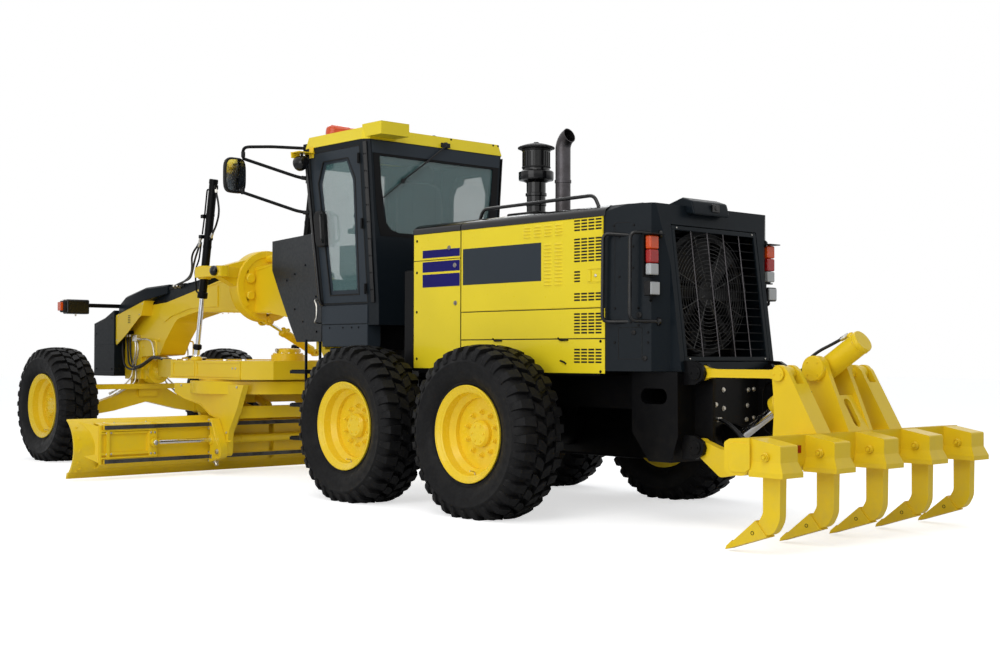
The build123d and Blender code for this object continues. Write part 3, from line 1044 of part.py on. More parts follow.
with BuildPart() as ripper_beam:
    side_slab([(beam_s[0], 470), (beam_s[1], 470), (beam_s[1], 668), (beam_s[1] - 40, 690),
               (beam_s[0], 700)],
              -BEAM_HALF, BEAM_HALF, rounds={0: 70, 1: 50, 2: 20, 3: 20})
    for y in shank_ys:
        side_slab([(beam_s[0] + 5, 500), (beam_s[0] + 5, 698), (RIPPER_END + 28, 660),
                   (RIPPER_END + 28, 500)],
                  y - POCKET_HALF, y + POCKET_HALF, rounds={2: 12})
        # flared lip
        for height, half, behind in ((500, POCKET_LIP, 0), (562, POCKET_HALF, 28)):
            with BuildSketch(Plane.XY.offset(height)):
                with Locations((at(RIPPER_END + behind), y)):
                    Rectangle(beam_s[0] + 5 - RIPPER_END - behind, 2 * half,
                              align=(Align.MIN, Align.CENTER))
        loft()
        block((RIPPER_END, beam_s[0] + 5), (y - POCKET_LIP, y + POCKET_LIP), (470, 500))
        block((shank_s[0] - FIT, shank_s[1] + FIT), (y - SHANK_T / 2 - FIT, y + SHANK_T / 2 + FIT),
              (400, SHANK_TOP + FIT), Mode.SUBTRACT)
        across(-2610, 590, y - POCKET_HALF - 16, y - POCKET_HALF + 8, 17)
        across(-2610, 590, y + POCKET_HALF - 8, y + POCKET_HALF + 16, 17)
    for _, side in SIDES:
        # towers: a plate on each side of the arm and link, and a web behind
        for inner in (RIP_Y[0] - 6 - TOWER_T, RIP_Y[1] + 6):
            side_slab([(RIP_BEAM_PIN + 58, RIP_HIGH), (RIP_BEAM_PIN + 38, 860),
                       (RIP_BEAM_PIN + 58, RIP_LOW),
                       (RIP_BEAM_PIN, RIP_LOW - 60), (beam_s[1] - 30, 480), (beam_s[0] + 30,
                                                                             600), tower_back[1],
                       tower_back[0], (RIP_BEAM_PIN, RIP_HIGH + 60)],
                      side * inner, side * (inner + TOWER_T), rounds={1: 700, 7: 60})
            for z in (RIP_LOW, RIP_HIGH):
                across(RIP_BEAM_PIN, z, side * inner, side * (inner + TOWER_T), 60)
        side_slab([on_back(0.22), on_back(1.0), on_back(1.0, 26), on_back(0.22, 26)],
                  side * (RIP_Y[0] - 7), side * (RIP_Y[1] + 7))
        for z in (RIP_LOW, RIP_HIGH):
            across(RIP_BEAM_PIN, z, side * (RIP_Y[0] - 60), side * (RIP_Y[1] + TOWER_T + 18), RIP_PIN_R)
        # inner towers with the cylinder's trunnion housings
        side_slab([(RIP_TRUNNION[0] + 80, RIP_TRUNNION[1]), (RIP_TRUNNION[0] + 20, 860),
                   (RIP_TRUNNION[0] - 10, 690),
                   (beam_s[1] - 20, 600), (beam_s[0] + 30, 600), tower_back[1], (RIP_TRUNNION[0] - 72,
                                                                                 RIP_TRUNNION[1] + 40)],
                  side * 100, side * 140, rounds={1: 500})
        across(RIP_TRUNNION[0], RIP_TRUNNION[1], side * 100, side * 168, TRUNNION_R)
    # cross plate with its slot
    side_slab([on_back(0.42), on_back(1.0), on_back(1.0, 26), on_back(0.42, 26)], -101, 101)
    slot_mid = on_back(0.70)
    with BuildSketch(Plane(origin=(at(slot_mid[0]), 0, slot_mid[1]),
                           x_dir=(cos(lean_back), 0, sin(lean_back)),
                           z_dir=(-sin(lean_back), 0, cos(lean_back)))) as slot:
        SlotOverall(210, 72)
    extrude(slot.sketch, amount=60, both=True, mode=Mode.SUBTRACT)
    across(RIP_TRUNNION[0], RIP_TRUNNION[1], -142, 142, 34 + FIT, Mode.SUBTRACT)
save(ripper_beam, "ripper_beam")

with BuildPart() as shanks:
    for y in shank_ys:
        side_slab([(shank_s[1], SHANK_TOP), (shank_s[0], SHANK_TOP), (shank_s[0] + 8, 215),
                   (-2620, 128), (-2480, 112),
                   (-2500, 175), (shank_s[1], 250)], y - SHANK_T / 2, y + SHANK_T / 2, rounds={2: 120,
                           3: 80, 6: 60})
        # wedge tip, wider than the shank
        side_slab([(-2277, 12), (-2285, 32), (-2498, 206), (-2580, 112)], y - TIP_T / 2, y + TIP_T / 2)
save(shanks, "ripper_shanks")

rip_dx = RIP_TRUNNION[0] - RIP_CYL_FRAME[0]
rip_dz = RIP_TRUNNION[1] - RIP_CYL_FRAME[1]
rip_len = hypot(rip_dx, rip_dz)


def on_ripper(distance):
    """Point on the ripper cylinder's axis, measured from the frame's pin."""
    return (RIP_CYL_FRAME[0] + rip_dx * distance / rip_len, 0,
            RIP_CYL_FRAME[1] + rip_dz * distance / rip_len)


with BuildPart() as ripper_cylinder:
    bar(on_ripper(rip_len - 480), on_ripper(rip_len + 330), RIP_CYL_R)
    across(RIP_TRUNNION[0], RIP_TRUNNION[1], -141, 141, 34)
    bar(on_ripper(rip_len - 481), on_ripper(rip_len + 290), RIP_ROD_R + FIT, Mode.SUBTRACT)
save(ripper_cylinder, "ripper_cylinder")

with BuildPart() as ripper_rod:
    bar(on_ripper(0), on_ripper(rip_len - 250), RIP_ROD_R)
    across(RIP_CYL_FRAME[0], RIP_CYL_FRAME[1], -42, 42, 50)
save(ripper_rod, "ripper_rod")
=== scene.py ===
"""Looks of the articulated motor grader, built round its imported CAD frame.

Metres, in the frame's own axes: +X forward, +Y to the machine's left, +Z up.  Stations are
distances forward of the rearmost wheels' axis; at() turns a station into X.
"""

import json
import math
import random

import bmesh
import bpy
from mathutils import Matrix, Vector

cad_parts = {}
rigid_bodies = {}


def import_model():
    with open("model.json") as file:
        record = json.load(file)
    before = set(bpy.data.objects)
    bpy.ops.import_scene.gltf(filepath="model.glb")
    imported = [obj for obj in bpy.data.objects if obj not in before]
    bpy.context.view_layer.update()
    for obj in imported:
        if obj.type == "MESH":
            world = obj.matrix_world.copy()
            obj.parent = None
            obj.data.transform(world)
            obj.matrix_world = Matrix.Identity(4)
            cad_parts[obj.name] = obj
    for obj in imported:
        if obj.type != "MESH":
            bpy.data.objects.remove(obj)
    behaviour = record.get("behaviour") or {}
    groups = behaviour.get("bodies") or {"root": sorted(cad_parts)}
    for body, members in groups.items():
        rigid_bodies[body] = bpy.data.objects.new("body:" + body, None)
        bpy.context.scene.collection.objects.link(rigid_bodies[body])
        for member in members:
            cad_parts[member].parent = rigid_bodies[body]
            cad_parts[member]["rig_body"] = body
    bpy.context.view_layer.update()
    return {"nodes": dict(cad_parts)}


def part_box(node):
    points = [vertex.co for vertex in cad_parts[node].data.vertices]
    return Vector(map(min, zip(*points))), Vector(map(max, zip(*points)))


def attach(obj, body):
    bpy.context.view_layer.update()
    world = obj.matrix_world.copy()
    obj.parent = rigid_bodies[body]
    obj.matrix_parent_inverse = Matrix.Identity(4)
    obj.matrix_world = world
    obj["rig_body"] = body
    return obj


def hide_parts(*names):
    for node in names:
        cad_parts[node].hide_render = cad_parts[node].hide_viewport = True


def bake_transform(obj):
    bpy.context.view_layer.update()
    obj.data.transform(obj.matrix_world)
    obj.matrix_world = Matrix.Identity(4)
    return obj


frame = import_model()
random.seed(7)

SIDES = (("left", 1), ("right", -1))
UP = Vector((0, 0, 1))


def span(node):
    """Lowest and highest corner of a CAD node, as vectors."""
    low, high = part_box(node)
    return Vector(low), Vector(high)


def centre(node):
    low, high = span(node)
    return (low + high) / 2


REAR_AXLE_X = centre("rear_tyre_left").x
AXLE_Z = centre("rear_rim_left").z


def at(station):
    """X of a station."""
    return REAR_AXLE_X + station


# ---------------------------------------------------------------- node helpers
class Nodes:
    """A material being wired up."""

    def __init__(self, name):
        self.material = bpy.data.materials.new(name)
        self.material.use_nodes = True
        self.tree = self.material.node_tree
        self.shader = self.tree.nodes["Principled BSDF"]
        self.place = self.tree.nodes.new("ShaderNodeTexCoord").outputs["Object"]

    def new(self, kind, **values):
        node = self.tree.nodes.new(kind)
        for key, value in values.items():
            if key in node.inputs:
                node.inputs[key].default_value = value
            else:
                setattr(node, key, value)
        return node

    def link(self, source, target):
        self.tree.links.new(source, target)

    def noise(self, scale, detail=4.0, rough=0.55, place=None):
        node = self.new("ShaderNodeTexNoise", Scale=scale, Detail=detail, Roughness=rough)
        self.link(place or self.place, node.inputs["Vector"])
        return node.outputs["Fac"]

    def ramp(self, source, low, high, to_low=0.0, to_high=1.0):
        node = self.new("ShaderNodeMapRange", clamp=True)
        for key, value in (("From Min", low), ("From Max", high), ("To Min", to_low), ("To Max", to_high)):
            node.inputs[key].default_value = value
        self.link(source, node.inputs["Value"])
        return node.outputs["Result"]

    def times(self, a, b):
        node = self.new("ShaderNodeMath", operation="MULTIPLY")
        for index, value in enumerate((a, b)):
            if isinstance(value, (int, float)):
                node.inputs[index].default_value = value
            else:
                self.link(value, node.inputs[index])
        return node.outputs[0]

    def mix(self, factor, first, second):
        node = self.new("ShaderNodeMix", data_type="RGBA")
        self.link(factor, node.inputs["Factor"])
        for socket, value in ((node.inputs[6], first), (node.inputs[7], second)):
            if isinstance(value, tuple):
                socket.default_value = (*value, 1.0)
            else:
                self.link(value, socket)
        return node.outputs[2]

    def height(self):
        """Z of the point being shaded."""
        node = self.new("ShaderNodeSeparateXYZ")
        self.link(self.place, node.inputs[0])
        return node.outputs["Z"]

    def bump(self, source, strength, distance=0.001):
        node = self.new("ShaderNodeBump", Strength=strength, Distance=distance)
        self.link(source, node.inputs["Height"])
        previous = self.shader.inputs["Normal"]
        if previous.is_linked:
            self.link(previous.links[0].from_socket, node.inputs["Normal"])
        self.link(node.outputs["Normal"], previous)

    def finish(self, **values):
        for key, value in values.items():
            self.shader.inputs[key.replace("_", " ")].default_value = value
        return self.material


def tint(colour, factor):
    return tuple(min(1.0, c * factor) for c in colour)


def paint(name, colour, rough=0.32, coat=0.12, dust=0.10, peel=0.05, dust_colour=(0.32, 0.27, 0.18),
          shine=0.24):
    """Sprayed enamel: slight shade changes, a little road dust low down, orange peel."""
    n = Nodes(name)
    patch = n.ramp(n.noise(2.3, 5.0), 0.3, 0.7)
    body = n.mix(patch, tint(colour, 0.965), tint(colour, 1.03))
    low = n.ramp(n.height(), 1.1, 0.05)
    settled = n.times(n.times(low, n.ramp(n.noise(9.0, 8.0, 0.7), 0.42, 0.72)), dust)
    n.link(n.mix(settled, body, dust_colour), n.shader.inputs["Base Color"])
    n.link(n.ramp(n.noise(38.0, 3.0), 0.3, 0.75, rough - 0.05, rough + 0.09), n.shader.inputs["Roughness"])
    n.bump(n.noise(230.0, 2.0), peel, 0.0006)
    return n.finish(Coat_Weight=coat, Coat_Roughness=0.08, Specular_IOR_Level=shine)


def plastic(name, colour, rough=0.55, grain=420.0, depth=0.25):
    """Moulded plastic or rubber with a fine grain."""
    n = Nodes(name)
    n.link(n.mix(n.ramp(n.noise(14.0, 5.0), 0.3, 0.7), tint(colour, 0.8), tint(colour, 1.25)),
           n.shader.inputs["Base Color"])
    n.link(n.ramp(n.noise(60.0, 4.0), 0.3, 0.7, rough - 0.08, rough + 0.08), n.shader.inputs["Roughness"])
    n.bump(n.noise(grain, 2.0), depth, 0.0004)
    return n.finish(Specular_IOR_Level=0.25)


def metal(name, colour, rough=0.3, scratch=0.3, stretch=(1, 1, 1), grime=None):
    """Bare metal with drawn or turned marks and, where asked, grime in patches."""
    n = Nodes(name)
    mapping = n.new("ShaderNodeMapping", Scale=stretch)
    n.link(n.place, mapping.inputs["Vector"])
    marks = n.noise(60.0, 6.0, 0.6, mapping.outputs["Vector"])
    base = n.mix(n.ramp(marks, 0.3, 0.7), tint(colour, 0.85), tint(colour, 1.1))
    if grime:
        base = n.mix(n.ramp(n.noise(7.0, 8.0, 0.7), 0.45, 0.72), base, grime)
    n.link(base, n.shader.inputs["Base Color"])
    n.link(n.ramp(marks, 0.3, 0.75, max(0.04, rough - 0.1), rough + 0.12), n.shader.inputs["Roughness"])
    n.bump(marks, scratch, 0.0003)
    return n.finish(Metallic=1.0)


def tyre_rubber(name):
    n = Nodes(name)
    fine = n.noise(46.0, 8.0, 0.7)
    colour = n.mix(n.ramp(fine, 0.35, 0.7), (0.0035, 0.0035, 0.004), (0.009, 0.009, 0.0095))
    colour = n.mix(n.times(n.ramp(n.noise(5.0, 6.0, 0.65), 0.5, 0.8), 0.35), colour, (0.028, 0.026, 0.024))
    n.link(colour, n.shader.inputs["Base Color"])
    n.link(n.ramp(n.noise(17.0, 6.0), 0.3, 0.7, 0.42, 0.66), n.shader.inputs["Roughness"])
    n.bump(fine, 0.35, 0.0012)
    return n.finish(Specular_IOR_Level=0.13)


def glass(name, colour, alpha):
    """Tinted window glass, thin enough to see the cab through."""
    n = Nodes(name)
    n.link(n.mix(n.ramp(n.noise(3.0, 4.0), 0.3, 0.7), tint(colour, 0.92), tint(colour, 1.05)),
           n.shader.inputs["Base Color"])
    n.link(n.ramp(n.noise(26.0, 5.0), 0.4, 0.8, 0.02, 0.07), n.shader.inputs["Roughness"])
    n.material.surface_render_method = "DITHERED"
    return n.finish(Alpha=alpha, Specular_IOR_Level=0.8, Coat_Weight=0.6, Coat_Roughness=0.02)


def lens(name, colour, glow=0.0):
    """Moulded lamp lens with fine flutes spaced along X."""
    n = Nodes(name)
    wave = n.new("ShaderNodeTexWave", Scale=42.0, Distortion=0.0)
    n.link(n.place, wave.inputs["Vector"])
    n.link(n.mix(wave.outputs["Fac"], tint(colour, 0.75), tint(colour, 1.1)), n.shader.inputs["Base Color"])
    n.link(n.ramp(n.noise(30.0), 0.3, 0.7, 0.08, 0.18), n.shader.inputs["Roughness"])
    n.bump(wave.outputs["Fac"], 0.5, 0.001)
    n.shader.inputs["Emission Color"].default_value = (*colour, 1.0)
    return n.finish(Transmission_Weight=0.15, Coat_Weight=0.25, Specular_IOR_Level=0.3,
                    Emission_Strength=glow)


def cloth(name, colour):
    n = Nodes(name)
    weave = n.new("ShaderNodeTexVoronoi", Scale=240.0)
    n.link(n.place, weave.inputs["Vector"])
    n.link(n.mix(n.ramp(weave.outputs["Distance"], 0.1, 0.7), tint(colour, 1.5), tint(colour, 0.6)),
           n.shader.inputs["Base Color"])
    n.bump(weave.outputs["Distance"], 0.6, 0.0008)
    return n.finish(Roughness=0.9, Sheen_Weight=0.3)


BODY_YELLOW = (0.84, 0.66, 0.018)
GEAR_YELLOW = (0.86, 0.60, 0.014)
CHARCOAL = (0.0066, 0.0100, 0.0134)
mat_body = paint("paint_body_yellow", BODY_YELLOW)
mat_gear = paint("paint_gear_yellow", GEAR_YELLOW, rough=0.34, dust=0.16)
mat_rim = paint("paint_rim_yellow", (0.88, 0.62, 0.025), rough=0.24, dust=0.12)
mat_charcoal = paint("paint_charcoal", CHARCOAL, rough=0.36, coat=0.03, dust=0.02, shine=0.08)
mat_panel_grey = paint("paint_panel_grey", (0.026, 0.034, 0.043), rough=0.38, coat=0.04, dust=0.02,
                       shine=0.12)
mat_black = paint("paint_black", (0.0035, 0.0035, 0.004), rough=0.34, coat=0.04, dust=0.03, shine=0.08)
mat_gloss_black = paint("paint_gloss_black", (0.004, 0.004, 0.0045), rough=0.20, coat=0.25, dust=0.0,
                        shine=0.25)
mat_navy = paint("paint_navy", (0.008, 0.006, 0.12), rough=0.4, coat=0.02, dust=0.0, shine=0.10)
mat_liner = plastic("plastic_liner", (0.30, 0.33, 0.33))
mat_plastic = plastic("plastic_black", (0.006, 0.006, 0.0065))
mat_hose = plastic("rubber_hose", (0.010, 0.010, 0.011), rough=0.45, grain=300.0, depth=0.5)
mat_seal = plastic("rubber_seal", (0.006, 0.006, 0.006), rough=0.6)
mat_tyre = tyre_rubber("rubber_tyre")
mat_chrome = metal("chrome_rod", (0.80, 0.81, 0.83), rough=0.12, scratch=0.05, stretch=(1, 1, 0.1))
mat_zinc = metal("zinc_plated", (0.62, 0.60, 0.55), rough=0.32, scratch=0.2)
mat_steel = metal("steel_worn", (0.30, 0.28, 0.26), rough=0.42, scratch=0.4, grime=(0.10, 0.075, 0.05))
mat_exhaust = metal("steel_exhaust", (0.085, 0.080, 0.085), rough=0.42, scratch=0.2,
                    grime=(0.05, 0.045, 0.045))
mat_iron = metal("iron_cast", (0.10, 0.10, 0.10), rough=0.6, scratch=0.6, grime=(0.03, 0.03, 0.03))
mat_glass = glass("glass_tinted", (0.13, 0.26, 0.26), 0.34)
mat_mirror = metal("mirror_silver", (0.85, 0.87, 0.88), rough=0.06, scratch=0.0)
mat_seat = cloth("fabric_seat", (0.030, 0.030, 0.034))
mat_orange = lens("lens_orange", (0.72, 0.075, 0.004), 0.06)
mat_red = lens("lens_red", (0.42, 0.006, 0.004), 0.03)
mat_clear = lens("lens_clear", (0.50, 0.52, 0.53))


# ---------------------------------------------------------------- mesh helpers
class Shape:
    """Faces gathered into one mesh."""

    def __init__(self):
        self.points = []
        self.faces = []

    def add(self, points, faces):
        start = len(self.points)
        self.points += [Vector(p) for p in points]
        self.faces += [tuple(start + i for i in face) for face in faces]
        return self

    def loft(self, rings, closed=True, caps=True):
        """Skin through rings of equal length."""
        count = len(rings[0])
        points = [p for ring in rings for p in ring]
        faces = []
        for r in range(len(rings) - 1):
            for i in range(count if closed else count - 1):
                j = (i + 1) % count
                faces.append((r * count + i, r * count + j, (r + 1) * count + j, (r + 1) * count + i))
        if caps:
            faces.append(tuple(reversed(range(count))))
            faces.append(tuple((len(rings) - 1) * count + i for i in range(count)))
        return self.add(points, faces)

    def prism(self, outline, shift):
        """Outline of points pushed along a vector."""
        shift = Vector(shift)
        return self.loft([[Vector(p) for p in outline], [Vector(p) + shift for p in outline]])

    def box(self, low, high):
        (x0, y0, z0), (x1, y1, z1) = low, high
        return self.prism([(x0, y0, z0), (x1, y0, z0), (x1, y1, z0), (x0, y1, z0)], (0, 0, z1 - z0))

    def side(self, outline, y0, y1):
        """Outline in station and Z between two Y values."""
        return self.prism([(at(s), y0, z) for s, z in outline], (0, y1 - y0, 0))

    def spin(self, profile, origin, axis, sides=32):
        """Closed loop of (radius, distance) turned about an axis."""
        origin, axis = Vector(origin), Vector(axis).normalized()
        u = axis.orthogonal().normalized()
        v = axis.cross(u)
        points, faces, count = [], [], len(profile)
        for k in range(sides):
            angle = 2 * math.pi * k / sides
            out = u * math.cos(angle) + v * math.sin(angle)
            points += [origin + axis * d + out * r for r, d in profile]
            for i in range(count):
                j = (i + 1) % count
                after = (k + 1) % sides
                faces.append((k * count + i, k * count + j, after * count + j, after * count + i))
        return self.add(points, faces)

    def lathe(self, profile, origin, axis, sides=24):
        """Open profile turned into a closed solid."""
        return self.spin([(0.0, profile[0][1]), *profile, (0.0, profile[-1][1])], origin, axis, sides)

    def tube(self, path, radius, sides=10):
        """Round tube through a smooth or straight path."""
        path = [Vector(p) for p in path]
        rings = []
        normal = None
        for i, point in enumerate(path):
            ahead = path[min(i + 1, len(path) - 1)] - path[max(i - 1, 0)]
            ahead.normalize()
            if normal is None:
                normal = ahead.orthogonal().normalized()
            normal = (normal - ahead * normal.dot(ahead)).normalized()
            other = ahead.cross(normal)
            rings.append([point + (normal * math.cos(a) + other * math.sin(a)) * radius
                          for a in (2 * math.pi * k / sides for k in range(sides))])
        return self.loft(rings)

    def bolt(self, place, axis, size=0.012, washer=True):
        """Hexagon head on a washer."""
        if washer:
            self.lathe([(size * 1.25, 0), (size * 1.25, size * 0.18)], place, axis, 14)
        self.lathe([(size, size * 0.1), (size, size * 0.75), (size * 0.85, size * 0.85)], place, axis, 6)
        return self


def piece(name, shape, material, body, bevel=0.0, smooth=35.0, segments=2):
    """Finish a shape as an object that rides on a body."""
    mesh = bpy.data.meshes.new(name)
    mesh.from_pydata([tuple(p) for p in shape.points], [], shape.faces)
    work = bmesh.new()
    work.from_mesh(mesh)
    bmesh.ops.remove_doubles(work, verts=work.verts, dist=1e-6)
    bmesh.ops.dissolve_degenerate(work, edges=work.edges, dist=1e-6)
    bmesh.ops.recalc_face_normals(work, faces=work.faces)
    work.to_mesh(mesh)
    work.free()
    mesh.shade_smooth()
    mesh.set_sharp_from_angle(angle=math.radians(smooth))
    obj = bpy.data.objects.new(name, mesh)
    bpy.context.scene.collection.objects.link(obj)
    mesh.materials.append(material)
    if bevel:
        rounded = obj.modifiers.new("edges", "BEVEL")
        rounded.width = bevel
        rounded.segments = segments
        rounded.limit_method = "ANGLE"
        rounded.angle_limit = math.radians(40)
        rounded.harden_normals = True
    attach(obj, body)
    return obj


def bent(points, radius, steps=6):
    """Path with each inner corner rounded by an arc-like curve."""
    points = [Vector(p) for p in points]
    path = [points[0]]
    for before, corner, after in zip(points, points[1:], points[2:]):
        a = corner + (before - corner).normalized() * min(radius, (before - corner).length * 0.49)
        b = corner + (after - corner).normalized() * min(radius, (after - corner).length * 0.49)
        for i in range(steps + 1):
            t = i / steps
            path.append(a * (1 - t) ** 2 + corner * 2 * t * (1 - t) + b * t ** 2)
    path.append(points[-1])
    return path


def curve(points, steps=8):
    """Smooth Catmull-Rom path through the points."""
    points = [Vector(p) for p in points]
    ends = [points[0] * 2 - points[1]] + points + [points[-1] * 2 - points[-2]]
    path = []
    for p0, p1, p2, p3 in zip(ends, ends[1:], ends[2:], ends[3:]):
        for i in range(steps):
            t = i / steps
            path.append(0.5 * (2 * p1 + (p2 - p0) * t + (2 * p0 - 5 * p1 + 4 * p2 - p3) * t * t
                               + (3 * p1 - p0 - 3 * p2 + p3) * t ** 3))
    path.append(points[-1])
    return path


def paint_node(material, *names):
    """Give CAD nodes a material."""
    for name in names:
        mesh = frame["nodes"][name].data
        mesh.materials.clear()
        mesh.materials.append(material)


def both(prefix):
    return [f"{prefix}_{side}" for side, _ in SIDES]


def paint_split(name, station):
    """Gear yellow ahead of a station and black behind it."""
    n = Nodes(name)
    apart = n.new("ShaderNodeSeparateXYZ")
    n.link(n.place, apart.inputs["Vector"])
    ahead = n.ramp(apart.outputs["X"], at(station), at(station) + 0.002)
    n.link(n.mix(ahead, (0.0045, 0.0045, 0.005), GEAR_YELLOW), n.shader.inputs["Base Color"])
    n.link(n.ramp(n.noise(38.0, 3.0), 0.3, 0.75, 0.29, 0.42), n.shader.inputs["Roughness"])
    return n.finish(Coat_Weight=0.10, Coat_Roughness=0.08, Specular_IOR_Level=0.22)


# ---------------------------------------------------------------- materials of the CAD nodes
paint_node(mat_charcoal, "engine_hood", "cab_shell", *both("cab_door"), "nose_cover")
paint_node(mat_body, "cab_roof", *both("service_door"))
paint_node(paint_split("paint_front_frame", 2.745), "front_frame")
paint_node(mat_gear, "front_axle", *both("kingpin_bracket"), *both("steering_knuckle"), "lean_bar",
           "tie_rod", "drawbar", "circle", "blade_carrier", "moldboard", "shift_cylinder", "lift_saddle",
           "ripper_cylinder", "ripper_beam", "ripper_arms", "ripper_links", "ripper_shanks")
paint_node(mat_black, "rear_frame", *both("tandem_case"), *both("lift_cylinder"), "rear_grille", "radiator",
           "tie_rod_end")
paint_node(mat_iron, "engine")
paint_node(mat_plastic, "fan", "air_precleaner")
paint_node(mat_exhaust, "exhaust_stack")
paint_node(mat_chrome, *both("lift_rod"), "shift_rod", "ripper_rod")
paint_node(mat_gear, "cutting_edge")
paint_node(mat_seat, "seat")
paint_node(mat_glass, "cab_glass", *both("door_glass"))

# ---------------------------------------------------------------- tyres and rims
TYRE_R = (span("rear_tyre_left")[1].x - span("rear_tyre_left")[0].x) / 2 + 0.0115
SIDEWALL = [(0.360, 0.168), (0.372, 0.176), (0.384, 0.176), (0.392, 0.186), (0.430, 0.208), (0.480, 0.2215),
            (0.520, 0.2225), (0.524, 0.2245), (0.532, 0.2245), (0.536, 0.2220), (0.566, 0.2120),
            (0.596, 0.190)]
PITCHES = 32


def crown(t):
    """Radius of the tread's face across the tyre."""
    return TYRE_R - 0.022 * (abs(t) / 0.185) ** 2.2


def on_tyre(middle, radius, angle, t):
    return Vector((middle.x + radius * math.sin(angle), middle.y + t, middle.z + radius * math.cos(angle)))


def lug(shape, middle, rows, inset=0.006):
    """Tread block: rows of (t, start angle, end angle, base radius, top radius)."""
    rings = []
    for t, start, end, base, top in rows:
        shrink = inset / top
        rings.append([on_tyre(middle, base, start, t), on_tyre(middle, top, start + shrink, t),
                      on_tyre(middle, top, end - shrink, t), on_tyre(middle, base, end, t)])
    shape.loft(rings)


def tyre(place, side_name):
    node = f"{place}_tyre_{side_name}"
    middle = centre(node)
    middle.z = AXLE_Z
    outline = [(r, t) for r, t in SIDEWALL] + [(0.608, 0.165), (0.616, 0.08)]
    profile = outline + [(r, -t) for r, t in reversed(outline)] + [(0.330, -0.150), (0.330, 0.150)]
    shape = Shape().spin(profile, middle, (0, 1, 0), 96)
    pitch = 2 * math.pi / PITCHES
    base = 0.600
    for k in range(PITCHES):
        for hand in (1, -1):
            start = (k + (0.0 if hand > 0 else 0.5)) * pitch
            slant = 0.30 * pitch
            # block beside the centre line, then the long shoulder lug that wraps over the side
            lug(shape, middle, [(hand * t, start + slant * t / 0.08, start + slant * t / 0.08 + pitch * wide,
                                 base,
                                 crown(t)) for t, wide in ((0.004, 0.60), (0.042, 0.74), (0.080, 0.66))])
            first = start + slant * 1.35 + 0.16 * pitch
            lug(shape, middle, [(hand * t, first + turn * pitch, first + (turn + wide) * pitch, low, top)
                                for t, turn, wide, low, top in
                                ((0.094, 0.00, 0.68, base, crown(0.094)),
                                 (0.150, 0.06, 0.62, base - 0.01, crown(0.150)),
                                 (0.186, 0.10, 0.56, 0.570, crown(0.186)),
                                 (0.214, 0.12, 0.50, 0.560, 0.592),
                                 (0.2235, 0.13, 0.44, 0.548, 0.562))])
    # flat where it stands
    for point in shape.points:
        if point.z < 0.0:
            point.z = 0.0
            point.y = middle.y + (point.y - middle.y) * 1.012
    obj = piece(f"tyre_{place}_{side_name}", shape, mat_tyre, f"{place}_wheel_{side_name}",
                smooth=38)
    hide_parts(node)


def rim_details(place, side_name, side):
    """Wheel nuts, hub bolts, lock ring and valve."""
    node = f"{place}_rim_{side_name}"
    middle = centre(node)
    middle.z = AXLE_Z
    out = Vector((0, side, 0))
    shape = Shape()
    face = 0.025
    for k in range(10):
        angle = 2 * math.pi * (k + 0.5) / 10
        spot = middle + out * face + Vector((math.cos(angle), 0, math.sin(angle))) * 0.158
        shape.lathe([(0.021, -0.002), (0.021, 0.004), (0.018, 0.009)], spot, out, 18)
        shape.lathe([(0.0165, 0.006), (0.0165, 0.022), (0.014, 0.026)], spot, out, 6)
        shape.lathe([(0.009, 0.02), (0.009, 0.040), (0.007, 0.042)], spot, out, 12)
    for k in range(6):
        angle = 2 * math.pi * k / 6
        spot = middle + out * (face + 0.048) + Vector((math.cos(angle), 0, math.sin(angle))) * 0.062
        shape.lathe([(0.009, -0.002), (0.009, 0.008), (0.007, 0.010)], spot, out, 6)
    # rolled lock ring at the rim's edge
    ring = [(0.3525 + 0.0065 * math.cos(a), 0.1815 + 0.0065 * math.sin(a)) for a in
            (2 * math.pi * i / 10 for i in range(10))]
    shape.spin([(r, side * d) for r, d in ring], middle, (0, 1, 0), 96)
    piece(f"wheel_nuts_{place}_{side_name}", shape, mat_rim, f"{place}_wheel_{side_name}",
          smooth=30)
    valve = Shape()
    foot = middle + out * 0.10 + Vector((0.0, 0, -0.297))
    valve.tube(bent([foot, foot + Vector((0, 0, 0.022)), foot + Vector((0.0, side * 0.05, 0.028))], 0.015),
               0.0045, 8)
    piece(f"tyre_valve_{place}_{side_name}", valve, mat_zinc, f"{place}_wheel_{side_name}")


for place in ("rear", "middle", "front"):
    for side_name, side in SIDES:
        tyre(place, side_name)
        rim_details(place, side_name, side)
        paint_node(mat_rim, f"{place}_rim_{side_name}")


# ---------------------------------------------------------------- hood skins
HOOD_LOW, HOOD_HIGH = span("engine_hood")
HOOD_Y = HOOD_HIGH.y
SKIN = 0.005
SEAM = 0.007


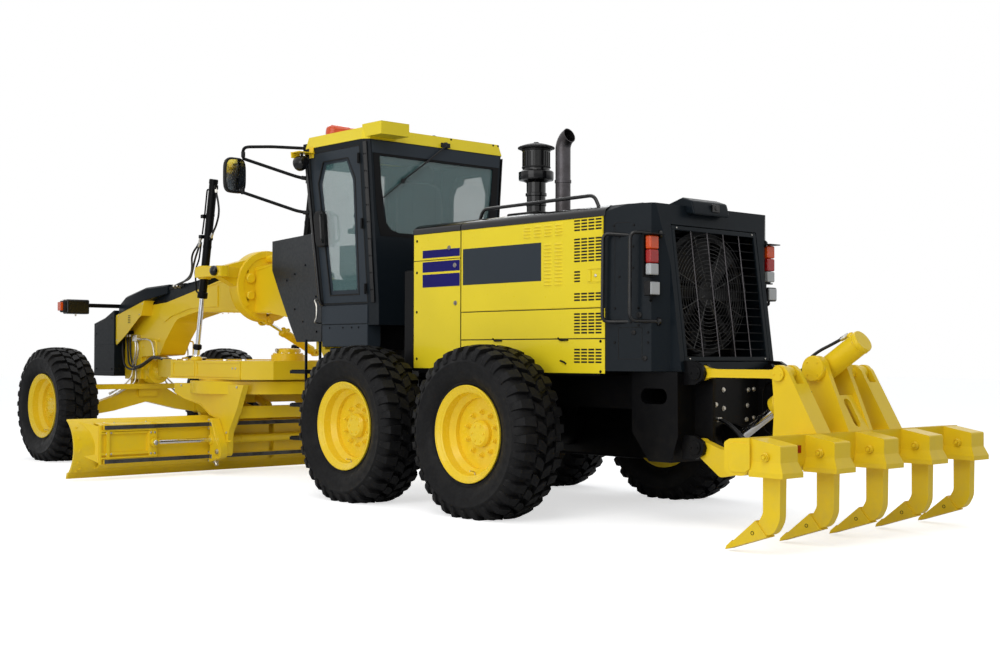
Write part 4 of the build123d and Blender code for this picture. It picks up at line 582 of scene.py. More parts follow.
def plate_grid(name, s_range, z_range, holes, y, side, material, body, thick=SKIN):
    """Flat side panel with rectangular holes punched through it."""
    cuts_s = sorted({s_range[0], s_range[1], *(h[0] for h in holes), *(h[1] for h in holes)})
    cuts_z = sorted({z_range[0], z_range[1], *(h[2] for h in holes), *(h[3] for h in holes)})
    width = len(cuts_s)
    cells = []
    for i, (s0, s1) in enumerate(zip(cuts_s, cuts_s[1:])):
        for j, (z0, z1) in enumerate(zip(cuts_z, cuts_z[1:])):
            sm, zm = (s0 + s1) / 2, (z0 + z1) / 2
            if not any(h[0] < sm < h[1] and h[2] < zm < h[3] for h in holes):
                first = j * width + i
                cells.append((first, first + 1, first + width + 1, first + width))
    shape = Shape()
    shape.add([(at(s), y, z) for z in cuts_z for s in cuts_s], cells)
    obj = piece(name, shape, material, body)
    obj.data.shade_flat()
    thicken = obj.modifiers.new("sheet", "SOLIDIFY")
    thicken.thickness = thick
    outward = obj.data.polygons[0].normal.y * side > 0
    thicken.offset = 1.0 if outward else -1.0
    edge = obj.modifiers.new("edges", "BEVEL")
    edge.width = 0.0012
    edge.segments = 1
    edge.limit_method = "ANGLE"
    return obj


def slots(s_start, columns, z_start, rows, pitch_s=0.071, pitch_z=0.0225, wide=0.060, tall=0.0125):
    """Grid of cooling slots running rearward and up from a corner."""
    return [(s_start - c * pitch_s - wide, s_start - c * pitch_s, z_start + r * pitch_z,
             z_start + r * pitch_z + tall)
            for c in range(columns) for r in range(rows)]


DOOR_LOW, _ = span("service_door_left")
HOOD_S = (HOOD_LOW.x - REAR_AXLE_X, HOOD_HIGH.x - REAR_AXLE_X)
HOOD_FRONT = HOOD_S[1]
PANEL_REAR = -0.900
SPLIT = 0.657                 # station of the upright seam
WAIST = 1.533                 # underside of the service door
LOWER = 1.309                 # seam between the two lower panels
SKIN_TOP = 2.172
door_slots = (slots(-0.595, 4, 2.084, 4) + slots(-0.595, 4, 1.860, 8)
              + slots(-0.595, 1, 1.716, 4) + slots(-0.595, 4, 1.580, 3))
low_slots = slots(-0.595, 4, 1.345, 7)
foot_slots = slots(-0.595, 4, 1.135, 5)
LOUVRES = ([(-0.105 - 0.112 * c, 2.075 + 0.024 * r) for c in range(4) for r in range(4)]
           + [(-0.325 - 0.112 * c, 1.712 + 0.0268 * r) for c in range(2) for r in range(12)])


def louvre(shape, station, z, y, side, wide=0.082, tall=0.016, proud=0.009):
    """Pressed louvre: a hooded bump that opens downward."""
    rings = []
    for u in (-1.0, -0.9, -0.6, 0.0, 0.6, 0.9, 1.0):
        lift = math.sqrt(max(0.0, 1 - u * u)) * proud + 0.0005
        x = at(station) + u * wide / 2
        rings.append([(x, y - side * 0.002, z - tall / 2), (x, y + side * lift, z - tall / 2 + 0.001),
                      (x, y + side * lift * 0.7, z), (x, y - side * 0.002, z + tall / 2)])
    shape.loft(rings)


for side_name, side in SIDES:
    y = side * HOOD_Y
    door_body = f"service_door_{side_name}"
    front_split = 1.957
    plate_grid(f"hood_panel_front_upper_{side_name}", (SPLIT + SEAM, HOOD_FRONT - 0.004),
               (front_split + 0.003, SKIN_TOP), [],
               y, side, mat_body, "rear_frame")
    plate_grid(f"hood_panel_front_lower_{side_name}", (SPLIT + SEAM, HOOD_FRONT - 0.004),
               (HOOD_LOW.z + 0.004, front_split - 0.003),
               [], y, side, mat_body, "rear_frame")
    plate_grid(f"hood_panel_waist_{side_name}", (PANEL_REAR, SPLIT - SEAM), (LOWER + 0.004, WAIST - 0.010),
               low_slots,
               y, side, mat_body, "rear_frame")
    plate_grid(f"hood_panel_foot_{side_name}", (PANEL_REAR, SPLIT - SEAM),
               (HOOD_LOW.z - 0.018, LOWER - 0.004), foot_slots,
               y, side, mat_body, "rear_frame")
    plate_grid(f"door_panel_{side_name}", (-0.878, 0.634), (DOOR_LOW.z + 0.008, SKIN_TOP), door_slots, y,
               side,
               mat_body, door_body)
    backing = Shape()
    for grid in ((2.080, 2.172), (1.850, 2.045), (1.575, 1.652)):
        backing.box((at(-0.875), y - side * 0.004, grid[0]), (at(-0.590), y + side * 0.0012, grid[1]))
    backing.box((at(-0.662), y - side * 0.004, 1.708), (at(-0.590), y + side * 0.0012, 1.805))
    piece(f"door_slot_mesh_{side_name}", backing, mat_seal, door_body)
    low_back = Shape()
    for grid in ((1.340, 1.505), (1.130, 1.245)):
        low_back.box((at(-0.875), y - side * 0.004, grid[0]), (at(-0.590), y + side * 0.0012, grid[1]))
    piece(f"panel_slot_mesh_{side_name}", low_back, mat_seal, "rear_frame")
    # dark gaps behind the seams
    dark = Shape()
    dark.box((at(SPLIT + 0.001), y - side * 0.002, HOOD_LOW.z), (at(SPLIT + 0.012), y + side * 0.0008, 2.178))
    dark.box((at(PANEL_REAR), y - side * 0.002, WAIST - 0.016), (at(SPLIT), y + side * 0.0008, WAIST - 0.006))
    dark.box((at(PANEL_REAR), y - side * 0.002, LOWER - 0.008), (at(SPLIT), y + side * 0.0008, LOWER + 0.008))
    dark.box((at(SPLIT), y - side * 0.002, front_split - 0.006),
             (at(HOOD_FRONT - 0.004), y + side * 0.0008, front_split + 0.006))
    piece(f"hood_seam_seal_{side_name}", dark, mat_seal, "rear_frame")
    bumps = Shape()
    for station, z in LOUVRES:
        louvre(bumps, station, z, y + side * SKIN, side)
    piece(f"door_louvres_{side_name}", bumps, mat_body, door_body, smooth=50)
    # navy bands on the front panel and the bare charcoal field on the door
    bands = Shape()
    for low, high in ((1.975, 2.038), (1.860, 1.944), (1.738, 1.842)):
        bands.box((at(0.668), y + side * SKIN * 0.5, low), (at(1.132), y + side * (SKIN + 0.0014), high))
    piece(f"hood_bands_{side_name}", bands, mat_navy, "rear_frame")
    field = Shape().box((at(-0.255), y + side * SKIN * 0.5, 1.740),
                        (at(0.630), y + side * (SKIN + 0.0014), 2.024))
    piece(f"door_field_{side_name}", field, mat_panel_grey, door_body)
    # recessed latch with its paddle and lock
    latch = Shape()
    for low, high in (((-0.866, 1.712), (-0.858, 1.803)), ((-0.740, 1.712), (-0.732, 1.803)),
                      ((-0.866, 1.704), (-0.732, 1.712)), ((-0.866, 1.803), (-0.732, 1.811))):
        latch.box((at(low[0]), y + side * SKIN * 0.6, low[1]),
                  (at(high[0]), y + side * (SKIN + 0.004), high[1]))
    latch.box((at(-0.770), y + side * SKIN * 0.5, 1.716), (at(-0.742), y + side * (SKIN + 0.010), 1.799))
    piece(f"door_latch_{side_name}", latch, mat_body, door_body, bevel=0.0015)
    lock = Shape().lathe([(0.011, 0), (0.011, 0.009), (0.008, 0.011)],
                         (at(-0.815), y + side * SKIN * 0.7, 1.757), (0, side, 0), 16)
    piece(f"door_lock_{side_name}", lock, mat_zinc, door_body)
    locks = Shape()
    for station, z in ((0.727, 1.903), (0.720, 1.603)):
        locks.lathe([(0.019, 0), (0.019, 0.004), (0.015, 0.006), (0.015, 0.009), (0.008, 0.009),
                     (0.008, 0.012), (0.006, 0.013)],
                    (at(station), y + side * SKIN, z), (0, side, 0), 20)
    locks.lathe([(0.020, 0), (0.017, 0.005), (0.008, 0.009)], (at(0.80), y + side * SKIN, 2.045),
                (0, side, 0), 16)
    piece(f"hood_locks_{side_name}", locks, mat_steel, "rear_frame")
    screws = Shape()
    for station, z in ((1.205, 1.862), (1.205, 1.540), (1.205, 1.16), (1.205, 2.12), (-0.860, 1.290),
                       (-0.860, 1.075),
                       (0.620, 1.120), (-0.20, 1.10)):
        screws.lathe([(0.011, 0), (0.011, 0.002), (0.006, 0.006)], (at(station), y + side * SKIN, z),
                     (0, side, 0), 14)
    piece(f"hood_screws_{side_name}", screws, mat_black, "rear_frame")
    hooks = Shape()
    for station in (0.20, -0.51):
        hooks.tube(bent([(at(station - 0.03), y + side * 0.012, LOWER - 0.008),
                         (at(station + 0.05), y + side * 0.012, LOWER - 0.010),
                         (at(station + 0.075), y + side * 0.008, LOWER + 0.008)], 0.01), 0.006, 8)
    hooks.tube(bent([(at(-0.46), y + side * 0.008, 1.150), (at(-0.50), y + side * 0.014, 1.142),
                     (at(-0.52), y + side * 0.01, 1.128)], 0.01), 0.007, 8)
    piece(f"hood_hooks_{side_name}", hooks, mat_black, "rear_frame")
    # hinges at the front edge
    hinges = Shape()
    for z in (2.06, 1.92, 1.33, 1.20):
        hinges.tube([(at(1.256), y - side * 0.004, z - 0.035), (at(1.256), y - side * 0.004, z + 0.035)],
                    0.009, 10)
        hinges.box((at(1.252), y - side * 0.05, z - 0.03), (at(1.262), y - side * 0.004, z + 0.03))
    piece(f"hood_hinges_{side_name}", hinges, mat_black, "rear_frame", bevel=0.001)

# glossy cap along the hood's shoulders and front edge
SHOULDER = [(0.000, 2.176), (0.0065, 2.176), (0.0065, 2.205), (0.000, 2.222), (-0.050, 2.2535),
            (-0.090, 2.2535), (-0.090, 2.2505),
            (-0.050, 2.2495), (-0.005, 2.219)]
for side_name, side in SIDES:
    cap = Shape()
    rear, split, front = -0.905, SPLIT, HOOD_FRONT + 0.004
    for s0, s1 in ((rear, split - 0.005), (split + 0.005, front)):
        cap.loft([[(at(s), side * (HOOD_Y + dy), z) for dy, z in SHOULDER] for s in (s0, s1)])
    piece(f"hood_shoulder_{side_name}", cap, mat_gloss_black, "rear_frame", smooth=50)
top_lines = Shape()
for s0, s1 in ((-1.16, -0.92), (-0.90, 0.650), (0.664, 1.235)):
    top_lines.box((at(s0), -HOOD_Y + 0.10, HOOD_HIGH.z), (at(s1), HOOD_Y - 0.10, HOOD_HIGH.z + 0.006))
piece("hood_top_panels", top_lines, mat_gloss_black, "rear_frame", bevel=0.004)
rail = Shape()
for _, side in SIDES:
    ry = side * 0.655
    rail.tube(bent([(at(0.545), ry, 2.25), (at(0.500), ry, 2.335), (at(-0.700), ry, 2.345),
                    (at(-0.752), ry, 2.25)], 0.05), 0.0135, 12)
    for station in (0.545, -0.752):
        rail.lathe([(0.028, 0), (0.028, 0.006), (0.016, 0.010)], (at(station), ry, 2.25), UP, 16)
piece("hood_handrails", rail, mat_gloss_black, "rear_frame")

# ---------------------------------------------------------------- pre-cleaner, exhaust, top boxes
cleaner_low, _ = span("air_precleaner")
cleaner_x, cleaner_y = centre("air_precleaner").x, centre("air_precleaner").y
cleaner = Shape()
top = cleaner_low.z
cleaner.lathe([(0.080, 0), (0.080, 0.02), (0.076, 0.03), (0.076, 0.14), (0.082, 0.145), (0.082, 0.165),
               (0.076, 0.17),
               (0.076, 0.22), (0.086, 0.225), (0.086, 0.245), (0.078, 0.25), (0.078, 0.33), (0.110, 0.345),
               (0.138, 0.350),
               (0.142, 0.36), (0.142, 0.415), (0.134, 0.424), (0.112, 0.428), (0.110, 0.440), (0.110, 0.605),
               (0.100, 0.61)],
              (cleaner_x, cleaner_y, top), UP, 48)
obj = piece("precleaner_body", cleaner, mat_gloss_black, "rear_frame", smooth=40)
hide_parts("air_precleaner")
fins = Shape()
for k in range(26):
    angle = 2 * math.pi * k / 26
    out = Vector((math.cos(angle), math.sin(angle), 0))
    flat = Vector((-math.sin(angle), math.cos(angle), 0)) * 0.0015
    spot = Vector((cleaner_x, cleaner_y, top + 0.462))
    fins.prism([spot + out * 0.108 - flat, spot + out * 0.1135 - flat, spot + out * 0.1135 + flat,
                spot + out * 0.108 + flat],
               (0, 0, 0.115))
for z, radius in ((0.448, 0.114), (0.585, 0.114)):
    fins.spin([(radius, 0), (radius + 0.003, 0.002), (radius + 0.003, 0.010), (radius, 0.012)],
              (cleaner_x, cleaner_y, top + z), UP, 48)
piece("precleaner_fins", fins, mat_plastic, "rear_frame")
lid = Shape()
lid.lathe([(0.118, 0.602), (0.144, 0.606), (0.146, 0.616), (0.140, 0.622), (0.100, 0.636), (0.050, 0.648),
           (0.022, 0.650), (0.020, 0.660)],
          (cleaner_x, cleaner_y, top), UP, 48)
for k in range(24):
    angle = 2 * math.pi * k / 24
    spot = Vector((cleaner_x + 0.143 * math.cos(angle), cleaner_y + 0.143 * math.sin(angle), top + 0.604))
    lid.lathe([(0.006, 0), (0.006, 0.014)], spot, UP, 8)
piece("precleaner_lid", lid, mat_plastic, "rear_frame", smooth=40)
boxes = Shape()
boxes.box((cleaner_x - 0.17, cleaner_y - 0.15, top - 0.004),
          (cleaner_x + 0.19, cleaner_y + 0.15, top + 0.085))
piece("intake_box", boxes, mat_black, "rear_frame", bevel=0.012)
exhaust_low, exhaust_high = span("exhaust_stack")
collar = Shape()
stack_x, stack_y = exhaust_high.x - 0.060, centre("exhaust_stack").y
for z in (0.035, 0.30):
    collar.spin([(0.061, 0), (0.066, 0.002), (0.066, 0.024), (0.061, 0.026)],
                (stack_x, stack_y, exhaust_low.z + z), UP, 40)
collar.bolt((stack_x + 0.066, stack_y, exhaust_low.z + 0.313), (1, 0, 0), 0.008)
collar.lathe([(0.105, 0), (0.105, 0.006), (0.070, 0.010), (0.0615, 0.030)],
             (stack_x, stack_y, exhaust_low.z - 0.001), UP, 40)
piece("exhaust_collars", collar, mat_exhaust, "rear_frame")

# rear-view camera housing on the tail of the hood
cam_box = Shape()
cam_box.prism([(at(-1.00), 0.30, 2.250), (at(-1.33), 0.30, 2.185), (at(-1.33), 0.30, 2.215),
               (at(-1.31), 0.30, 2.285), (at(-1.22), 0.30, 2.315)],
              (0, -0.40, 0))
piece("tail_camera_housing", cam_box, mat_charcoal, "rear_frame", bevel=0.012)
cam_eye = Shape()
cam_eye.box((at(-1.338), 0.02, 2.215), (at(-1.322), 0.10, 2.270))
cam_eye.lathe([(0.018, 0), (0.018, 0.006), (0.012, 0.007)], (at(-1.336), 0.06, 2.243), (-1, 0, 0), 20)
piece("tail_camera_eye", cam_eye, mat_gloss_black, "rear_frame", bevel=0.003)

# ---------------------------------------------------------------- tail of the hood
for side_name, side in SIDES:
    grips = Shape()
    y = side * 0.80
    inner = side * 0.675
    grips.tube(bent([(at(-1.085), inner, 2.030), (at(-0.925), y, 2.045), (at(-0.918), y, 1.425),
                     (at(-1.085), inner, 1.425)], 0.05), 0.013, 12)
    grips.tube(bent([(at(-1.270), side * 0.58, 2.030), (at(-1.150), side * 0.765, 2.045),
                     (at(-1.145), side * 0.765, 1.430),
                     (at(-1.265), side * 0.60, 1.425)], 0.05), 0.013, 12)
    for spot in ((at(-1.085), inner, 2.030), (at(-1.085), inner, 1.425), (at(-1.265), side * 0.595, 2.03),
                 (at(-1.262), side * 0.605, 1.425)):
        grips.lathe([(0.030, -0.01), (0.030, 0.006), (0.016, 0.012)], spot, (0.25, side, 0), 16)
    piece(f"tail_grips_{side_name}", grips, mat_gloss_black, "rear_frame")
    # stacked tail lamp on its bracket
    lamp_x = at(-1.235)
    y0, y1 = sorted((side * 0.610, side * 0.715))
    guard = Shape()
    guard.box((lamp_x, y0 - 0.006, 1.735), (lamp_x + 0.012, y1 + 0.006, 2.030))
    guard.box((lamp_x - 0.085, y0 - 0.012, 2.022), (lamp_x + 0.012, y1 + 0.012, 2.030))
    guard.box((lamp_x - 0.02, y0 - 0.006, 1.730), (lamp_x + 0.012, y1 + 0.006, 1.740))
    guard.tube([(lamp_x + 0.01, side * 0.60, 1.80), (lamp_x + 0.06, side * 0.55, 1.80)], 0.012)
    piece(f"tail_lamp_guard_{side_name}", guard, mat_black, "rear_frame", bevel=0.002)
    for name, low, high, look in (("amber", 1.925, 2.018, mat_orange), ("red", 1.828, 1.922, mat_red),
                                  ("clear", 1.745, 1.825, mat_clear)):
        lens_shape = Shape().box((lamp_x - 0.050, y0 + 0.008, low), (lamp_x, y1 - 0.008, high))
        piece(f"tail_lens_{name}_{side_name}", lens_shape, look, "rear_frame", bevel=0.010,
              segments=3)
    work = Shape().box((lamp_x - 0.055, side * 0.668 - 0.055, 1.600),
                       (lamp_x + 0.002, side * 0.668 + 0.055, 1.705))
    piece(f"tail_work_lamp_body_{side_name}", work, mat_plastic, "rear_frame", bevel=0.010,
          segments=3)
    face = Shape().box((lamp_x - 0.062, side * 0.668 - 0.047, 1.608),
                       (lamp_x - 0.050, side * 0.668 + 0.047, 1.697))
    piece(f"tail_work_lamp_lens_{side_name}", face, mat_clear, "rear_frame", bevel=0.006)
    arm = Shape().tube(bent([(lamp_x - 0.02, side * 0.668, 1.60), (lamp_x - 0.02, side * 0.668, 1.575),
                             (lamp_x + 0.05, side * 0.60, 1.560)], 0.01), 0.010)
    piece(f"tail_work_lamp_arm_{side_name}", arm, mat_black, "rear_frame")

# screws, caps and a hatch's outline on the folded corners
fold_a = Vector((at(-0.906), HOOD_Y, 0))
fold_b = Vector((at(-1.240), 0.648, 0))


def on_fold(a, b, along, z, side):
    """Point on a folded corner panel."""
    spot = a.lerp(b, along)
    return Vector((spot.x, side * spot.y, z))


for side_name, side in SIDES:
    fold_out = Vector((fold_a.y - fold_b.y, (fold_a.x - fold_b.x), 0)).normalized()
    fold_out.x = -abs(fold_out.x)
    outward = Vector((fold_out.x, side * abs(fold_out.y), 0))
    studs = Shape()
    for along, z in ((0.18, 2.10), (0.62, 2.10), (0.30, 2.02), (0.60, 1.95), (0.60, 1.80), (0.30, 1.74),
                     (0.72, 1.52), (0.72, 1.40),
                     (0.20, 1.28), (0.93, 1.35), (0.93, 1.28), (0.55, 1.42), (0.20, 1.52)):
        studs.bolt(on_fold(fold_a, fold_b, along, z, side), outward, 0.0075)
    piece(f"tail_screws_{side_name}", studs, mat_black, "rear_frame")
    caps = Shape()
    for along, z, radius in ((0.74, 1.47, 0.022), (0.62, 1.35, 0.018), (0.86, 1.17, 0.020)):
        caps.lathe([(radius, -0.002), (radius, 0.004), (radius * 0.8, 0.008), (radius * 0.4, 0.009),
                    (radius * 0.35, 0.006)],
                   on_fold(fold_a, fold_b, along, z, side), outward, 22)
    piece(f"tail_caps_{side_name}", caps, mat_plastic, "rear_frame")
    hatch = Shape()
    for (u0, z0), (u1, z1) in (((0.28, 1.385), (0.80, 1.385)), ((0.28, 1.165), (0.80, 1.165)),
                               ((0.28, 1.165), (0.28, 1.385)),
                               ((0.80, 1.165), (0.80, 1.385)), ((0.20, 1.62), (0.20, 2.12)),
                               ((0.20, 2.12), (0.55, 2.12))):
        hatch.tube([on_fold(fold_a, fold_b, u0, z0, side), on_fold(fold_a, fold_b, u1, z1, side)], 0.0022, 6)
    piece(f"tail_hatch_lines_{side_name}", hatch, mat_seal, "rear_frame")

# ---------------------------------------------------------------- rear grille: frame, wires and fan guard
grille_low, grille_high = span("rear_grille")
lean = math.atan2(0.138, 1.044)
grille_out = Vector((-math.cos(lean), 0, math.sin(lean)))
grille_up = Vector((math.sin(lean), 0, math.cos(lean)))
grille_mid = Vector(((grille_low.x + grille_high.x) / 2, 0, (grille_low.z + grille_high.z) / 2))
grille_mid += grille_out * 0.009
GRILLE_HALF_W, GRILLE_HALF_H = 0.478, 0.479


def on_grille(y, up, out=0.0):
    return grille_mid + Vector((0, y, 0)) + grille_up * up + grille_out * out


def grille_bar(shape, y0, y1, u0, u1, deep=0.018, proud=0.0):
    """Flat bar in the grille's plane."""
    shape.prism([on_grille(y0, u0, proud), on_grille(y1, u0, proud), on_grille(y1, u1, proud),
                 on_grille(y0, u1, proud)],
                -grille_out * deep)


grille_frame = Shape()
edge = 0.030
grille_bar(grille_frame, -GRILLE_HALF_W, GRILLE_HALF_W, GRILLE_HALF_H - edge, GRILLE_HALF_H)
grille_bar(grille_frame, -GRILLE_HALF_W, GRILLE_HALF_W, -GRILLE_HALF_H, edge - GRILLE_HALF_H)
for y0, y1 in ((-GRILLE_HALF_W, edge - GRILLE_HALF_W), (GRILLE_HALF_W - edge, GRILLE_HALF_W)):
    grille_bar(grille_frame, y0, y1, edge - GRILLE_HALF_H, GRILLE_HALF_H - edge)
obj = piece("grille_frame", grille_frame, mat_charcoal, "rear_grille", bevel=0.004)
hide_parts("rear_grille")
rods = Shape()
inner_w, inner_h = GRILLE_HALF_W - edge + 0.004, GRILLE_HALF_H - edge + 0.004
for k in range(1, 15):
    up = -inner_h + 2 * inner_h * k / 15
    rods.tube([on_grille(-inner_w, up, -0.010), on_grille(inner_w, up, -0.010)], 0.0032, 6)
piece("grille_wires", rods, mat_black, "rear_grille")
stays = Shape()
for k in range(1, 5):
    y = -inner_w + 2 * inner_w * k / 5
    stays.tube([on_grille(y, -inner_h, -0.005), on_grille(y, inner_h, -0.005)], 0.0040, 8)
piece("grille_uprights", stays, mat_exhaust, "rear_grille")
bolts = Shape()
for y in (0.050 - GRILLE_HALF_W, GRILLE_HALF_W - 0.050):
    for up in (0.016 - GRILLE_HALF_H, GRILLE_HALF_H - 0.016):
        bolts.bolt(on_grille(y, up), grille_out, 0.0055, washer=False)
piece("grille_bolts", bolts, mat_zinc, "rear_grille")

radiator_low, _ = span("radiator")
fan_mid = centre("fan")
guard = Shape()
guard_x = fan_mid.x - 0.060
for k in range(1, 15):
    radius = 0.05 + 0.027 * k
    guard.spin([(radius - 0.0014, -0.0014), (radius + 0.0014, -0.0014), (radius + 0.0014, 0.0014),
                (radius - 0.0014, 0.0014)],
               (guard_x, 0, fan_mid.z), (1, 0, 0), 56)
for k in range(8):
    angle = 2 * math.pi * (k + 0.5) / 8
    out = Vector((0, math.cos(angle), math.sin(angle)))
    guard.tube([Vector((guard_x, 0, fan_mid.z)) + out * 0.05, Vector((guard_x, 0, fan_mid.z)) + out * 0.435,
                Vector((radiator_low.x + 0.05, 0, fan_mid.z)) + out * 0.445], 0.0035, 6)
piece("fan_guard", guard, mat_iron, "rear_frame")
shroud = Shape().spin([(0.415, 0.0), (0.455, 0.0), (0.455, 0.085), (0.420, 0.085)],
                      (radiator_low.x - 0.03, 0, fan_mid.z), (1, 0, 0), 56)
piece("fan_shroud", shroud, mat_plastic, "rear_frame")
core = Shape()
for k in range(22):
    z = 1.20 + 0.040 * k
    core.box((radiator_low.x + 0.050, -0.44, z), (radiator_low.x + 0.064, 0.44, z + 0.022))
piece("radiator_core_rows", core, mat_black, "rear_frame")
pipes = Shape()
pipes.tube(curve([(at(-1.12), 0.30, 1.35), (at(-1.17), 0.24, 1.30), (at(-1.16), 0.10, 1.22),
                  (at(-1.12), -0.06, 1.25), (at(-1.08), -0.10, 1.32)]), 0.020, 12)
pipes.tube(curve([(at(-1.10), -0.42, 1.20), (at(-1.16), -0.36, 1.40), (at(-1.15), -0.30, 1.55),
                  (at(-1.10), -0.32, 1.72)]), 0.016, 12)
piece("radiator_hoses", pipes, mat_hose, "rear_frame")

# ---------------------------------------------------------------- rear frame: plates, bolts, steps
tail = Shape()
for side_name, side in SIDES:
    # thick bracket plate that carries the ripper's pins
    y0, y1 = side * 0.335, side * 0.378
    outline = [(-1.402, 1.095), (-1.47, 1.100), (-1.50, 1.095), (-1.535, 1.07), (-1.54, 1.03), (-1.52, 1.00),
               (-1.47, 0.98), (-1.45, 0.93),
               (-1.45, 0.70), (-1.47, 0.65), (-1.52, 0.62), (-1.545, 0.58), (-1.54, 0.53), (-1.50, 0.50),
               (-1.43, 0.49), (-1.402, 0.50)]
    tail.side(outline, y0, y1)
piece("tail_bracket_plates", tail, mat_black, "rear_frame", bevel=0.005)
tail_bolts = Shape()
for side_name, side in SIDES:
    for z in (1.07, 0.56):
        tail_bolts.lathe([(0.030, 0), (0.030, 0.012), (0.020, 0.020), (0.010, 0.021)],
                         (at(-1.50), side * 0.470, z), (0, side, 0), 20)
for y, z in ((0.063, 0.948), (-0.224, 0.943), (0.146, 0.844), (0.059, 0.816), (-0.214, 0.830), (0.125, 0.739),
             (-0.202, 0.730),
             (-0.290, 0.948), (0.290, 0.948), (0.290, 0.740), (-0.290, 0.740)):
    tail_bolts.bolt((at(-1.402), y, z), (-1, 0, 0), 0.014)
piece("tail_bolts", tail_bolts, mat_zinc, "rear_frame")

# ---------------------------------------------------------------- cab
roof_low, roof_high = span("cab_roof")
CAB_FLOOR = 1.630
FLARE = 0.100 / 1.410
WALL_Y = 0.700


def wall(station, z, side, proud=0.0):
    """Point on the cab's leaning side wall."""
    return Vector((at(station), side * (WALL_Y + FLARE * (z - CAB_FLOOR) + proud), z))


def wall_plate(shape, outline, side, proud, thick):
    """Flat plate on the leaning wall: outline in station and Z."""
    outer = [wall(s, z, side, proud) for s, z in outline]
    shape.prism(outer, (0, -side * thick, 0))


def wall_ring(shape, outer, inner, side, proud, thick):
    """Frame between two outlines of the same count on the leaning wall."""
    count = len(outer)
    for i in range(count):
        j = (i + 1) % count
        wall_plate(shape, [outer[i], outer[j], inner[j], inner[i]], side, proud, thick)


def toward(points, factor):
    """Outline drawn toward its own middle."""
    cs = sum(p[0] for p in points) / len(points)
    cz = sum(p[1] for p in points) / len(points)
    return [(cs + (s - cs) * factor[0], cz + (z - cz) * factor[1]) for s, z in points]


